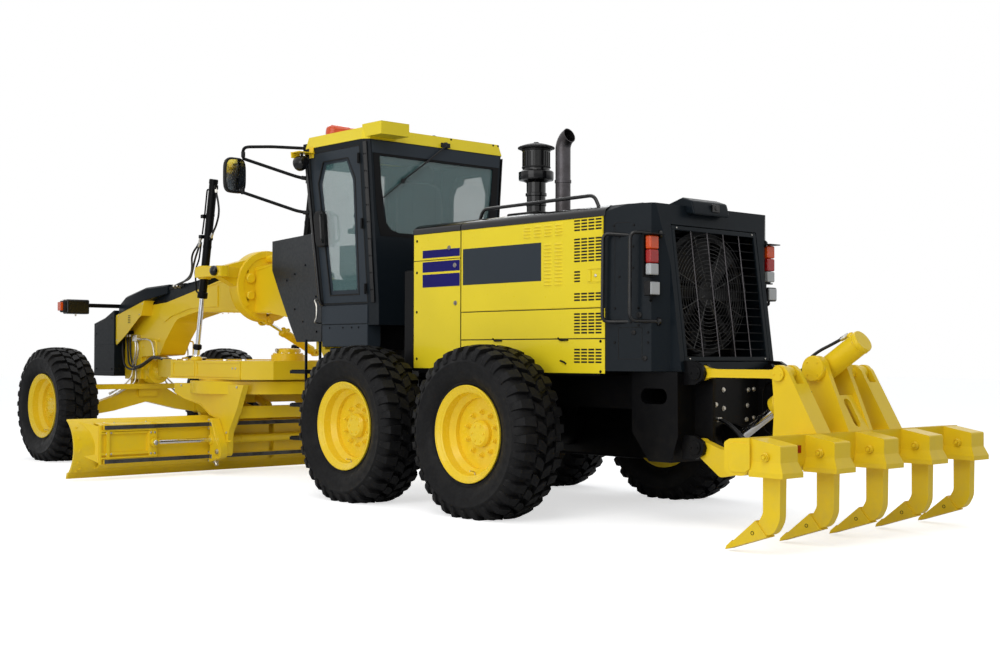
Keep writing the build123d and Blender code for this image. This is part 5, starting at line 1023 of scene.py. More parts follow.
PANE = [(2.065, 1.720), (2.490, 1.720), (2.580, 2.720), (2.490, 2.900), (2.125, 2.900), (2.035, 2.720)]
DOOR = [(1.955, 1.650), (2.600, 1.650), (2.694, 2.985), (1.955, 2.985)]
paint_node(mat_panel_grey, *both("cab_door"))
for side_name, side in SIDES:
    body = f"cab_door_{side_name}"
    seal = Shape()
    wall_ring(seal, toward(PANE, (1.035, 1.014)), toward(PANE, (0.985, 0.994)), side, 0.0025, 0.006)
    piece(f"door_glass_seal_{side_name}", seal, mat_seal, body)
    frit = Shape()
    wall_ring(frit, toward(PANE, (0.990, 0.996)), toward(PANE, (0.84, 0.945)), side, -0.0088, 0.0008)
    piece(f"door_glass_border_{side_name}", frit, mat_panel_grey, body)
    # latch housing with its handle, on the door's front edge
    latch = Shape()
    wall_plate(latch, [(2.470, 2.150), (2.585, 2.150), (2.612, 2.200), (2.618, 2.420), (2.585, 2.470),
                       (2.500, 2.470), (2.470, 2.430)],
               side, 0.055, 0.056)
    piece(f"cab_door_latch_{side_name}", latch, mat_plastic, body, bevel=0.016, segments=3)
    handle = Shape()
    handle.tube(bent([wall(2.490, 2.19, side, 0.05), wall(2.462, 2.20, side, 0.085),
                      wall(2.462, 2.42, side, 0.085), wall(2.490, 2.43, side, 0.05)], 0.02), 0.011, 10)
    piece(f"cab_door_handle_{side_name}", handle, mat_gloss_black, body)
    hinge = Shape()
    for z in (1.76, 2.32, 2.88):
        p = wall(1.958, z, side, 0.012)
        hinge.tube([p - Vector((0, 0, 0.045)), p + Vector((0, 0, 0.045))], 0.011, 10)
    piece(f"cab_door_hinges_{side_name}", hinge, mat_black, "front_frame")
    # rubber along the opening, the pillars' trim and their screws
    gasket = Shape()
    wall_ring(gasket, toward(DOOR, (1.035, 1.016)), toward(DOOR, (1.008, 1.004)), side, 0.0015, 0.006)
    piece(f"cab_door_gasket_{side_name}", gasket, mat_seal, "front_frame")
    trim = Shape()
    wall_plate(trim, [(1.862, 1.640), (1.930, 1.640), (1.930, 3.020), (1.862, 3.020)], side, -0.004, 0.012)
    piece(f"cab_rear_pillar_{side_name}", trim, mat_gloss_black, "front_frame", bevel=0.004)
    studs = Shape()
    for k in range(9):
        z = 1.75 + 0.145 * k
        studs.bolt(wall(1.885, z, side, 0.004), (-0.3, side, 0), 0.0055)
    piece(f"cab_pillar_screws_{side_name}", studs, mat_black, "front_frame")
    # long handrail up the front pillar
    rail = Shape()
    lower = wall(2.625, 1.66, side, 0.026)
    upper = wall(2.722, 2.98, side, 0.026)
    rail.tube(bent([wall(2.612, 1.62, side, -0.02), lower, upper, wall(2.715, 3.01, side, -0.02)], 0.03),
              0.015, 12)
    piece(f"cab_handrail_{side_name}", rail, mat_gloss_black, "front_frame")
    # lighter panel below the door, with a locker and a side tank under it
    panel = Shape().box((at(1.945), side * (WALL_Y - 0.004), 1.462),
                        (at(2.620), side * (WALL_Y + 0.007), 1.624))
    piece(f"cab_sill_panel_{side_name}", panel, mat_panel_grey, "front_frame", bevel=0.004)
    below = Shape().box((at(1.945), side * 0.560, 1.262), (at(2.620), side * 0.707, 1.456))
    piece(f"cab_sill_locker_{side_name}", below, mat_panel_grey, "front_frame",
          bevel=0.008)
    lower_box = Shape().box((at(2.240), side * 0.38, 1.040), (at(2.600), side * 0.640, 1.256))
    piece(f"cab_side_tank_{side_name}", lower_box, mat_panel_grey, "front_frame",
          bevel=0.014)
    tabs = Shape()
    for s in (2.07, 2.17, 2.30, 2.50):
        tabs.bolt((at(s), side * 0.707, 1.43), (0, side, 0), 0.007)
    piece(f"cab_sill_bolts_{side_name}", tabs, mat_black, "front_frame")
    grab = Shape()
    gy = side * 0.745
    grab.tube(bent([(at(2.690), side * 0.66, 1.690), (at(2.690), gy, 1.685), (at(2.650), gy, 1.640),
                    (at(2.650), gy, 1.520), (at(2.690), gy, 1.480), (at(2.700), side * 0.66, 1.475)], 0.035),
              0.008, 10)
    piece(f"cab_grab_{side_name}", grab, mat_zinc, "front_frame")
    # ladder treads with raised teeth
    treads = Shape()
    for rung in range(3):
        z = 0.450 + 0.300 * rung
        for k in range(8):
            x = at(2.735 + 0.028 * k)
            treads.box((x, side * 0.645, z), (x + 0.012, side * 0.815, z + 0.006))
    piece(f"ladder_teeth_{side_name}", treads, mat_black, "front_frame")
    # dark bay between the cab and the hood: tank and step plate
    bay = Shape()
    bay.box((at(1.275), side * 0.30, 1.060), (at(1.500), side * 0.660, 1.900))
    piece(f"bay_tank_{side_name}", bay, mat_black, "rear_frame", bevel=0.02)
    step = Shape().box((at(1.262), side * 0.36, 0.985), (at(1.500), side * 0.690, 1.015))
    piece(f"bay_step_{side_name}", step, mat_black, "rear_frame", bevel=0.004)
    # bolts on the wedge panel ahead of the cab door
    wedge = Shape()
    for s, z in ((2.80, 2.10), (3.05, 2.02), (3.30, 1.95), (2.80, 1.72), (3.10, 1.50), (3.30, 1.62),
                 (3.50, 1.90), (2.78, 1.40)):
        blend = (s - 2.665) / (3.88 - 2.665)
        y = 0.680 + (0.420 - 0.680) * blend
        wedge.bolt((at(s), side * (y + 0.0005), z), (0.21, side, 0), 0.009)
    piece(f"cab_wedge_bolts_{side_name}", wedge, mat_black, "front_frame")

# beacon bar and bolts on the roof
beacon = Shape()
BEACON_S, BEACON_MID, BEACON_HALF = 2.560, 0.400, 0.300
BEACON_STEP = 0.28  # share of the half width where the lens steps in
beacon_z = 3.139
profile = [(0.062, 0.000), (0.070, 0.016), (0.068, 0.070), (0.052, 0.104), (0.024, 0.118)]
rings = []
for u in (-1.0, -0.97, -0.88, -0.30, -BEACON_STEP, BEACON_STEP, 0.30, 0.88, 0.97, 1.0):
    squeeze = math.sqrt(max(0.10, 1 - max(0.0, (abs(u) - 0.80) / 0.21) ** 2))
    if abs(u) == BEACON_STEP:
        squeeze = 0.93
    y = BEACON_MID + BEACON_HALF * u
    ring = [(at(BEACON_S) + w * squeeze, y, beacon_z + h * (0.55 + 0.45 * squeeze)) for w, h in profile]
    ring += [(at(BEACON_S) - w * squeeze, y, beacon_z + h * (0.55 + 0.45 * squeeze))
             for w, h in reversed(profile)]
    rings.append(ring)
beacon.loft(rings)
piece("beacon_lens", beacon, mat_orange, "front_frame", smooth=60, bevel=0.004)
base = Shape().box((at(BEACON_S - 0.075), BEACON_MID - 0.290, beacon_z - 0.012),
                   (at(BEACON_S + 0.075), BEACON_MID + 0.290, beacon_z + 0.006))
piece("beacon_base", base, mat_plastic, "front_frame", bevel=0.004)
roof_bits = Shape()
for s, y in ((1.56, 0.0), (1.56, 0.3), (2.2, -0.5), (2.8, 0.0)):
    roof_bits.lathe([(0.022, 0), (0.022, 0.006), (0.012, 0.012)], (at(s) + 0.35, y, roof_high.z - 0.026), UP,
                    16)
for y in (0.56, 0.50, -0.50, -0.56, 0.0):
    roof_bits.bolt((roof_low.x + 0.012, y, 3.092), (-1, 0, 0.2), 0.008)
piece("roof_bolts", roof_bits, mat_black, "front_frame")

# rear window border: header band, side bands and rounded lower corners, flush with the wall
WINDOW_REAR = at(1.850)
header = Shape()
header.prism([(WINDOW_REAR - 0.004, 0.742, 3.036), (WINDOW_REAR - 0.004, -0.742, 3.036),
              (WINDOW_REAR - 0.004, -0.732, 2.925), (WINDOW_REAR - 0.004, 0.732, 2.925)],
             (0.012, 0, 0))
piece("rear_window_header", header, mat_panel_grey, "front_frame", bevel=0.003)
border = Shape()
outer = [(0.722, 2.930), (-0.722, 2.930), (-0.640, 2.215), (0.640, 2.215)]
hole = [(0.655, 2.905), (-0.655, 2.905), (-0.620, 2.48), (-0.595, 2.35), (-0.53, 2.275), (-0.44, 2.250),
        (0.44, 2.250), (0.53, 2.275), (0.595, 2.35), (0.620, 2.48)]
matched = [(0.722, 2.930), (-0.722, 2.930), (-0.690, 2.48), (-0.665, 2.32), (-0.640, 2.215), (-0.44, 2.215),
           (0.44, 2.215), (0.640, 2.215), (0.665, 2.32), (0.690, 2.48)]
for i in range(len(hole)):
    j = (i + 1) % len(hole)
    border.prism([(WINDOW_REAR - 0.003, *matched[i]), (WINDOW_REAR - 0.003, *matched[j]),
                  (WINDOW_REAR - 0.003, *hole[j]), (WINDOW_REAR - 0.003, *hole[i])], (0.008, 0, 0))
piece("rear_window_border", border, mat_black, "front_frame")
# wiper on its spindle at the header
wiper = Shape()
wx = WINDOW_REAR - 0.030
wiper.lathe([(0.030, 0), (0.030, 0.020), (0.018, 0.030)], (WINDOW_REAR, -0.08, 3.065), (-1, 0, 0), 18)
wiper.tube(bent([(wx, -0.08, 3.065), (wx, 0.20, 2.860), (wx + 0.008, 0.43, 2.700)], 0.04), 0.008, 8)
wiper.box((wx + 0.004, -0.12, 3.045), (wx + 0.016, -0.02, 3.085))
piece("rear_wiper_arm", wiper, mat_plastic, "front_frame")
blade = Shape()
tip_a, tip_b = Vector((WINDOW_REAR - 0.012, 0.62, 2.545)), Vector((WINDOW_REAR - 0.012, 0.22, 2.845))
for offset, radius in ((-0.003, 0.006), (0.004, 0.0035)):
    blade.tube([tip_a + Vector((offset, 0, 0)), tip_b + Vector((offset, 0, 0))], radius, 6)
blade.box((WINDOW_REAR - 0.030, 0.395, 2.685), (WINDOW_REAR - 0.010, 0.430, 2.722))
piece("rear_wiper_blade", blade, mat_seal, "front_frame")

# inside: seat, steering wheel, headliner, lever banks and rear shelf
def pad(name, low, high):
    """Rounded cushion between two corners, pulled in toward its top and bottom edges."""
    low, high = Vector(low), Vector(high)
    mid, half = (low + high) / 2, (high - low) / 2
    shape = Shape()
    rings = []
    layers = ((-1.0, 0.80), (-0.86, 0.97), (-0.2, 1.0), (0.45, 1.0), (0.82, 0.95), (1.0, 0.72))
    for w, size in layers:
        ring = []
        for i in range(24):
            angle = 2 * math.pi * i / 24
            c, s = math.cos(angle), math.sin(angle)
            corner = (abs(c) ** 5 + abs(s) ** 5) ** (-1 / 5)
            ring.append(mid + Vector((half.x * size * c * corner, half.y * size * s * corner, half.z * w)))
        rings.append(ring)
    shape.loft(rings)
    obj = piece(name, shape, mat_seat, "front_frame", smooth=60)
    obj.modifiers.new("soft", "SUBSURF").levels = 2
    obj.modifiers["soft"].render_levels = 2
    return obj


cushion = pad("seat_cushion", (at(2.140), -0.250, 1.965), (at(2.640), 0.250, 2.085))
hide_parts("seat")
SEAT_BACK_MID = 2.42
back = pad("seat_back", (at(2.045), -0.245, -0.33), (at(2.175), 0.245, 0.33))
back.data.transform(Matrix.Translation((0, 0, SEAT_BACK_MID)))
rest = pad("seat_headrest", (at(2.050), -0.14, 2.745), (at(2.150), 0.14, 2.900))
for side_name, side in SIDES:
    arm = pad(f"seat_armrest_{side_name}", (at(2.15), side * 0.30 - 0.045, 2.235),
              (at(2.55), side * 0.30 + 0.045, 2.300))
seams = Shape()
for y in (-0.13, 0.13):
    seams.tube([(at(2.180), y, 2.084), (at(2.600), y, 2.084)], 0.003, 6)
    seams.tube([(at(2.044), y, 2.16), (at(2.044), y, 2.70)], 0.003, 6)
piece("seat_piping", seams, mat_seal, "front_frame")
inside = Shape()
inside.box((at(2.18), -0.19, 1.662), (at(2.52), 0.19, 1.960))
inside.tube([(at(2.10), -0.06, 2.70), (at(2.10), -0.06, 2.80)], 0.008)
inside.tube([(at(2.10), 0.06, 2.70), (at(2.10), 0.06, 2.80)], 0.008)
for side in (1, -1):
    inside.box((at(2.20), side * 0.27, 1.665), (at(2.40), side * 0.33, 2.230))
piece("seat_pedestal", inside, mat_plastic, "front_frame", bevel=0.012)
wheel_mid = Vector((at(2.800), 0, 2.330))
wheel_axis = Vector((-0.50, 0, 0.86)).normalized()
steering = Shape()
ring = [(0.190 + 0.014 * math.cos(a), 0.014 * math.sin(a)) for a in (2 * math.pi * i / 10 for i in range(10))]
steering.spin(ring, wheel_mid, wheel_axis, 48)
across = wheel_axis.cross(Vector((0, 1, 0))).normalized()
for spoke in (Vector((0, 1, 0)), Vector((0, -1, 0)), across):
    steering.tube([wheel_mid - wheel_axis * 0.03, wheel_mid + spoke * 0.185], 0.012, 8)
steering.lathe([(0.045, -0.04), (0.050, 0.0), (0.030, 0.012)], wheel_mid, wheel_axis, 24)
steering.tube([wheel_mid - wheel_axis * 0.03, wheel_mid - wheel_axis * 0.16], 0.028, 12)
piece("steering_wheel", steering, mat_plastic, "front_frame")
liner = Shape().box((at(1.960), -0.640, 2.985), (at(2.700), 0.640, 3.005))
piece("cab_headliner", liner, mat_liner, "front_frame", bevel=0.004)
console = Shape()
for side in (1, -1):
    console.box((at(2.46), side * 0.30, 2.300), (at(2.66), side * 0.40, 2.345))
    for k in range(5):
        x = at(2.48 + 0.035 * k)
        console.tube([(x, side * 0.34, 2.34), (x + 0.01, side * 0.34, 2.46)], 0.006, 8)
        console.lathe([(0.013, 0), (0.015, 0.02), (0.008, 0.034)], (x + 0.01, side * 0.34, 2.45), UP, 12)
piece("lever_banks", console, mat_plastic, "front_frame", bevel=0.004)
sill = Shape()
sill.box((at(1.915), -0.64, 1.662), (at(2.06), 0.64, 2.160))
piece("cab_rear_shelf", sill, mat_plastic, "front_frame", bevel=0.02)


# ---------------------------------------------------------------- hoses
def hose(name, route, radius, body, material=mat_hose, to_body=None):
    """Hydraulic hose on one smooth curve, with crimped ends; to_body carries the far crimp, and the tube then
    rides on no body.
    """
    data = bpy.data.curves.new(name + "_line", "CURVE")
    data.dimensions = "3D"
    spline = data.splines.new("NURBS")
    spline.points.add(len(route) - 1)
    for point, place in zip(spline.points, route):
        point.co = (*place, 1.0)
    spline.use_endpoint_u = True
    spline.order_u = 3
    spline.resolution_u = 8
    line = bpy.data.objects.new(name + "_line", data)
    bpy.context.scene.collection.objects.link(line)
    bpy.context.view_layer.update()
    sampled = bpy.data.meshes.new_from_object(line)
    path = [v.co.copy() for v in sampled.vertices]
    bpy.data.objects.remove(line)
    bpy.data.curves.remove(data)
    bpy.data.meshes.remove(sampled)
    obj = tube_piece(name, Shape().tube(path, radius, 12), material, body, to_body)
    for tag, here, ahead in (("start", path[0], path[2]), ("end", path[-1], path[-3])):
        out = (ahead - here).normalized()
        crimp = Shape().lathe([(radius * 1.25, -radius), (radius * 1.45, 0),
                               (radius * 1.45, radius * 3.4),
                               (radius * 1.2, radius * 4)], here, out, 14)
        crimp.lathe([(radius * 1.75, -radius * 1.6), (radius * 1.75, radius * 0.2)], here, out, 6)
        carrier = to_body if to_body and tag == "end" else body
        piece(f"{name}_{tag}", crimp, mat_zinc, carrier, bevel=0.0008)
    return obj


def tube_piece(name, shape, material, body, to_body):
    """Tube on one body; with to_body, it is taken off every body and left fixed where it was built."""
    obj = piece(name, shape, material, body)
    if to_body:
        obj.parent = None
        obj.matrix_world = Matrix.Identity(4)
        del obj["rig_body"]
        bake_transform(obj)
    return obj


# ---------------------------------------------------------------- ripper
RIP_PINS_S = (-1.500, -2.200)
RIP_PINS_Z = (0.560, 1.070)
TRUNNION = (-2.230, 1.105)
SHANK_PITCH = 0.550
POCKET_HALF = 0.085
BEAM_BACK = -2.500
shank_ys = [(i - 2) * SHANK_PITCH for i in range(5)]

pocket_pins = Shape()
for y in shank_ys:
    for _, side in SIDES:
        place = (at(-2.610), y + side * (POCKET_HALF + 0.016), 0.590)
        out = Vector((0, side, 0))
        pocket_pins.lathe([(0.026, -0.012), (0.026, -0.002), (0.023, 0.001)], place, out, 20)
        pocket_pins.lathe([(0.0125, 0), (0.0125, 0.014), (0.010, 0.018)], place, out, 16)
        # retaining clip across the pin
        arc = [Vector(place) + Vector((0.021 * math.cos(a), side * 0.010, 0.021 * math.sin(a)))
               for a in (math.radians(d) for d in range(-40, 221, 20))]
        pocket_pins.tube(arc, 0.0032, 8)
piece("ripper_pocket_pins", pocket_pins, mat_gear, "ripper_beam")

pocket_welds = Shape()
for y in shank_ys:
    for side in (1, -1):
        edge = y + side * (POCKET_HALF + 0.001)
        pocket_welds.tube([(at(BEAM_BACK + 0.003), edge, z) for z in (0.555, 0.60, 0.65, 0.692)], 0.0045, 8)
for _, side in SIDES:
    for y in (0.343, 0.379, 0.461, 0.497, 0.100, 0.140):
        pocket_welds.tube([(at(s), side * y, z)
                           for s, z in ((-2.335, 0.692), (-2.40, 0.696), (-2.470, 0.700))],
                          0.0045, 8)
piece("ripper_welds", pocket_welds, mat_gear, "ripper_beam")

tip_pins = Shape()
for y in shank_ys:
    for _, side in SIDES:
        place = (at(-2.476), y + side * 0.0415, 0.128)
        tip_pins.spin([(0.0085, 0.0), (0.0085, 0.0022), (0.0120, 0.0022), (0.0120, 0.0)], place, (0, side, 0),
                      20)
piece("ripper_tip_rings", tip_pins, mat_black, "ripper_beam")

tip_wear = Shape()
for y in shank_ys:
    # hardened point let into each tip
    tip_wear.prism([(at(-2.270), y - 0.0435, 0.0105), (at(-2.279), y - 0.0435, 0.034),
                    (at(-2.325), y - 0.0435, 0.073), (at(-2.320), y - 0.0435, 0.030)], (0, 0.087, 0))
piece("ripper_tip_points", tip_wear, mat_gear, "ripper_beam", bevel=0.002)

caps = Shape()
for _, side in SIDES:
    out = (0, side, 0)
    caps.lathe([(0.082, -0.002), (0.082, 0.004), (0.079, 0.0075), (0.010, 0.0075)],
               (at(TRUNNION[0]), side * 0.168, TRUNNION[1]), out, 48)
    for k in range(4):
        angle = math.radians(45 + 90 * k)
        caps.bolt((at(TRUNNION[0]) + 0.058 * math.cos(angle), side * 0.1755,
                   TRUNNION[1] + 0.058 * math.sin(angle)),
                  out, 0.0068, washer=False)
    for z in RIP_PINS_Z:
        face = side * 0.509
        caps.lathe([(0.046, -0.002), (0.046, 0.005), (0.043, 0.008)], (at(RIP_PINS_S[1]), face, z), out, 32)
        for s in (-0.026, 0.026):
            caps.bolt((at(RIP_PINS_S[1] + s), face + side * 0.008, z), out, 0.0070)
piece("ripper_pin_caps", caps, mat_gear, "ripper_beam", bevel=0.0008)

BARREL_AXIS = Vector((-0.730, 0, 0.495)).normalized()
trunnion_point = Vector((at(TRUNNION[0]), 0, TRUNNION[1]))


def on_barrel(distance, side=0.0, lift=0.0):
    """Point along the ripper cylinder, to its left and above its axis."""
    above = Vector((-BARREL_AXIS.z, 0, BARREL_AXIS.x)) * -1
    return trunnion_point + BARREL_AXIS * distance + Vector((0, side, 0)) + above * lift


barrel_trim = Shape()
barrel_trim.lathe([(0.0785, 0.300), (0.0785, 0.322), (0.0745, 0.334)], trunnion_point, BARREL_AXIS, 48)
barrel_trim.lathe([(0.084, -0.500), (0.086, -0.495), (0.086, -0.452), (0.080, -0.445)], trunnion_point,
                  BARREL_AXIS, 48)
for distance in (0.296, -0.440):
    ring = [trunnion_point + BARREL_AXIS * distance
            + Vector((0, 0.077 * math.cos(a), 0)) + Vector((-BARREL_AXIS.z, 0,
                                                            BARREL_AXIS.x)) * 0.077 * math.sin(a)
            for a in (2 * math.pi * k / 40 for k in range(41))]
    barrel_trim.tube(ring, 0.0035, 6)
port = on_barrel(0.272, 0.0, 0.070)
up = on_barrel(0, 0, 1) - on_barrel(0, 0, 0)
barrel_trim.lathe([(0.024, 0.0), (0.024, 0.020), (0.021, 0.024)], port, up, 18)
piece("ripper_barrel_trim", barrel_trim, mat_gear, "ripper_cylinder", bevel=0.001)

hose_start = port + up * 0.026 - BARREL_AXIS * 0.034
elbow = Shape().tube(bent([port + up * 0.004, port + up * 0.026, hose_start], 0.012), 0.0115, 12)
elbow.lathe([(0.0185, 0), (0.0185, 0.012)], port + up * 0.012, up, 6)
piece("ripper_port_elbow", elbow, mat_zinc, "ripper_cylinder")
hose("ripper_hose_barrel",
     [hose_start, on_barrel(0.150, 0.012, 0.104), on_barrel(0.020, 0.050, 0.120),
      on_barrel(-0.080, 0.095, 0.092),
      on_barrel(-0.150, 0.120, 0.020), (at(-2.188), 0.120, 0.952)],
     0.0105, "ripper_cylinder", to_body="ripper_beam")

# plate that clamps the hoses on the inner tower, and the run along the arm to the frame
clamp = Shape().box((at(-2.205), 0.098, 0.905), (at(-2.165), 0.146, 0.955))
piece("ripper_hose_clamp", clamp, mat_black, "ripper_beam", bevel=0.003)
for index, y in enumerate((0.112, 0.136)):
    hose(f"ripper_hose_beam_{index + 1}",
         [(at(-2.185), y, 0.905), (at(-2.150), y, 0.840), (at(-2.080), y + 0.010, 0.720),
          (at(-1.990), y + 0.02, 0.640), (at(-1.900), y + 0.03, 0.560)],
         0.0105, "ripper_beam", to_body="ripper_arms")
    hose(f"ripper_hose_arm_{index + 1}",
         [(at(-1.900), y + 0.03, 0.560), (at(-1.800), y + 0.03, 0.530), (at(-1.680), y + 0.02, 0.580),
          (at(-1.560), y + 0.01, 0.680), (at(-1.440), y, 0.740), (at(-1.385), y, 0.745)],
         0.0105, "ripper_arms", to_body="rear_frame")
arm_clamp = Shape().box((at(-1.930), 0.120, 0.520), (at(-1.870), 0.190, 0.572))
piece("ripper_arm_clamp", arm_clamp, mat_black, "ripper_arms", bevel=0.003)

# Red reflectors on the beam's back, in the red lamp-lens material. Its slight emission makes them glow
# faintly though they are no lamp: a painted glow.
reflectors = Shape()
for y in (0.74, -0.86):
    reflectors.prism([(at(BEAM_BACK) - 0.001, y - 0.052, 0.588), (at(BEAM_BACK) - 0.001, y + 0.052, 0.588),
                      (at(BEAM_BACK) - 0.001, y + 0.052, 0.636), (at(BEAM_BACK) - 0.001, y - 0.052, 0.636)],
                     (-0.006, 0, 0))
piece("ripper_reflectors", reflectors, mat_red, "ripper_beam", bevel=0.0015)

end_plates = Shape()
for _, side in SIDES:
    y = side * 1.1985
    end_plates.side([(-2.345, 0.515), (-2.345, 0.655), (-2.375, 0.668), (-2.505, 0.668), (-2.505, 0.515),
                     (-2.470, 0.492), (-2.375, 0.492)], y, y + side * 0.009)
piece("ripper_end_plates", end_plates, mat_gear, "ripper_beam", bevel=0.003)

# frame's outer bracket plates over the arms' and links' front ends
brackets = Shape()
for _, side in SIDES:
    for z in RIP_PINS_Z:
        y = side * 0.462
        brackets.side([(-1.385, z - 0.085), (-1.385, z + 0.085), (-1.500, z + 0.080), (-1.562, z + 0.045),
                       (-1.578, z), (-1.562, z - 0.045), (-1.500, z - 0.080)], y, y + side * 0.034)
        brackets.lathe([(0.050, -0.001), (0.050, 0.006), (0.047, 0.009)], (at(-1.500), y + side * 0.034, z),
                       (0, side, 0), 32)
        for s in (-0.028, 0.028):
            brackets.bolt((at(-1.500 + s), y + side * 0.043, z), (0, side, 0), 0.0080)
piece("ripper_frame_brackets", brackets, mat_black, "rear_frame", bevel=0.002)

rod_gland = Shape().lathe([(0.047, -0.512), (0.049, -0.508), (0.049, -0.490), (0.044, -0.486)],
                          trunnion_point,
                          BARREL_AXIS, 32)
piece("ripper_rod_gland", rod_gland, mat_seal, "ripper_cylinder")


# ---------------------------------------------------------------- nose and neck
NECK_HALF = 0.160
NOSE_HALF = 0.300
nose_cap = Shape()
nose_cap.side([(7.4400, 1.300), (7.4400, 1.706), (7.455, 1.712), (7.915, 1.534), (7.952, 1.508),
               (7.9615, 1.470),
               (7.9615, 1.360), (7.930, 1.350), (7.900, 1.300)], -NOSE_HALF - 0.0025, NOSE_HALF + 0.0025)
piece("nose_tank_cover", nose_cap, mat_charcoal, "front_frame", bevel=0.008, segments=3)
nose_base = Shape()
nose_base.side([(7.4395, 0.937), (7.4395, 0.992), (7.9605, 0.992), (7.9605, 0.950), (7.950, 0.937)],
               -NOSE_HALF - 0.003, NOSE_HALF + 0.003)
piece("nose_tank_base", nose_base, mat_charcoal, "front_frame", bevel=0.003)
nose_bolts = Shape()
for _, side in SIDES:
    for s, z in ((7.50, 1.02), (7.90, 1.02), (7.50, 1.62), (7.90, 1.44)):
        nose_bolts.bolt((at(s), side * (NOSE_HALF + 0.002), z), (0, side, 0), 0.0075)
    for z in (1.06, 1.50):
        nose_bolts.bolt((at(7.4385), side * 0.240, z), (-1, 0, 0), 0.0075)
piece("nose_tank_bolts", nose_bolts, mat_black, "front_frame")

COVER_Y = 0.277
side_covers = Shape()
vents = Shape()
cover_bolts = Shape()
for _, side in SIDES:
    y = side * COVER_Y
    rim = [(7.436, 1.650), (7.436, 1.320), (7.415, 1.305), (7.376, 1.322), (7.250, 1.385), (7.129, 1.452),
           (6.936, 1.572),
           (6.870, 1.612), (6.817, 1.636), (6.740, 1.812), (7.350, 1.672)]
    side_covers.side(rim, y, y + side * 0.006)
    # flange bent in over the top
    side_covers.prism([(at(7.350), y, 1.672), (at(6.740), y, 1.812), (at(6.740), side * 0.140, 1.812),
                       (at(7.350), side * 0.140, 1.672)], (0, 0, -0.006))
    # flange bent in along the rear edge
    side_covers.prism([(at(6.740), y, 1.812), (at(6.817), y, 1.636), (at(6.824), y, 1.636),
                       (at(6.747), y, 1.812)],
                      (0, -side * 0.115, 0))
    for row in range(5):
        for column in range(2):
            s, z = 7.120 - 0.030 * column, 1.640 - 0.020 * row
            vents.box((at(s - 0.012), y + side * 0.0055, z - 0.004),
                      (at(s + 0.012), y + side * 0.0085, z + 0.004))
    for s, z in ((7.40, 1.36), (7.37, 1.64), (6.79, 1.77), (6.86, 1.65)):
        cover_bolts.bolt((at(s), y + side * 0.006, z), (0, side, 0), 0.0065)
piece("nose_side_covers", side_covers, mat_gear, "front_frame", bevel=0.0015)
piece("nose_side_vents", vents, mat_seal, "front_frame")
piece("nose_side_bolts", cover_bolts, mat_zinc, "front_frame")

wide_cover = Shape()
sections = []
for s, half, low, high in ((7.362, 0.280, 1.664, 1.765), (7.350, 0.288, 1.666, 1.780),
                           (7.195, 0.288, 1.702, 1.870),
                           (6.740, 0.288, 1.806, 1.955), (6.430, 0.166, 1.880, 1.985)):
    inner = half - 0.030
    sections.append([(at(s), -half, low), (at(s), half, low), (at(s), half, high - 0.022),
                     (at(s), inner, high),
                     (at(s), -inner, high), (at(s), -half, high - 0.022)])
wide_cover.loft(sections)
piece("nose_top_cover", wide_cover, mat_charcoal, "front_frame", bevel=0.005)

# side panels, bolts, cover seams and hose sockets of the neck
neck_trim = Shape()
for _, side in SIDES:
    y = side * (NECK_HALF + 0.0005)
    neck_trim.side([(6.640, 1.640), (6.540, 1.745), (5.620, 1.912), (5.330, 1.930), (5.330, 1.705),
                    (5.900, 1.700),
                    (6.330, 1.620), (6.480, 1.560)], y, y + side * 0.010)
    for s0, z0, s1, z1 in ((4.30, 1.625, 5.75, 1.672), (4.20, 2.108, 5.58, 1.925)):
        neck_trim.tube([(at(s0), y, z0), (at((s0 + s1) / 2), y, (z0 + z1) / 2 + 0.004), (at(s1), y, z1)],
                       0.006, 8)
piece("neck_side_panels", neck_trim, mat_gear, "front_frame", bevel=0.004)
neck_bolts = Shape()
for _, side in SIDES:
    for k in range(9):
        share = k / 8
        neck_bolts.bolt((at(5.40 + 0.95 * share), side * 0.150,
                         1.657 - 0.020 * share - 0.06 * max(0, share - 0.6)),
                        (0, 0, -1), 0.008)
    for s, z in ((6.62, 1.36), (6.66, 1.20), (7.00, 1.28), (7.30, 1.20), (7.30, 0.98), (7.12, 0.98)):
        neck_bolts.bolt((at(s), side * NECK_HALF, z), (0, side, 0), 0.011)
piece("neck_bolts", neck_bolts, mat_gear, "front_frame")
cover_seams = Shape()
for s, z0, z1 in ((6.520, 1.770, 1.925), (5.985, 1.860, 1.985)):
    for _, side in SIDES:
        cover_seams.side([(s, z0), (s + 0.008, z0), (s + 0.008, z1), (s, z1)], side * 0.1445, side * 0.1462)
    cover_seams.box((at(s), -0.146, z1 - 0.008), (at(s + 0.008), 0.146, z1 + 0.0035))
piece("neck_cover_seams", cover_seams, mat_seal, "front_frame")
hatch = Shape()
hatch.side([(6.420, 1.915), (6.420, 1.952), (6.070, 1.988), (6.070, 1.950)], -0.152, 0.152)
piece("neck_hose_hatch", hatch, mat_black, "front_frame", bevel=0.006)
sockets = Shape()
for _, side in SIDES:
    for s in (6.16, 6.24):
        sockets.lathe([(0.018, 0), (0.018, 0.020), (0.014, 0.024)], (at(s), side * 0.150, 1.945),
                      (0, side, 0.25), 14)
piece("neck_hose_sockets", sockets, mat_zinc, "front_frame")

# grab rail bent from bar beside the leg
rails = Shape()
for _, side in SIDES:
    rails.tube(bent([(at(6.78), side * 0.158, 1.340), (at(6.60), side * 0.235, 1.345),
                     (at(6.545), side * 0.235, 1.340),
                     (at(6.545), side * 0.235, 1.160), (at(6.66), side * 0.158, 1.150)], 0.035), 0.0085, 10)
piece("neck_grab_rails", rails, mat_gear, "front_frame")

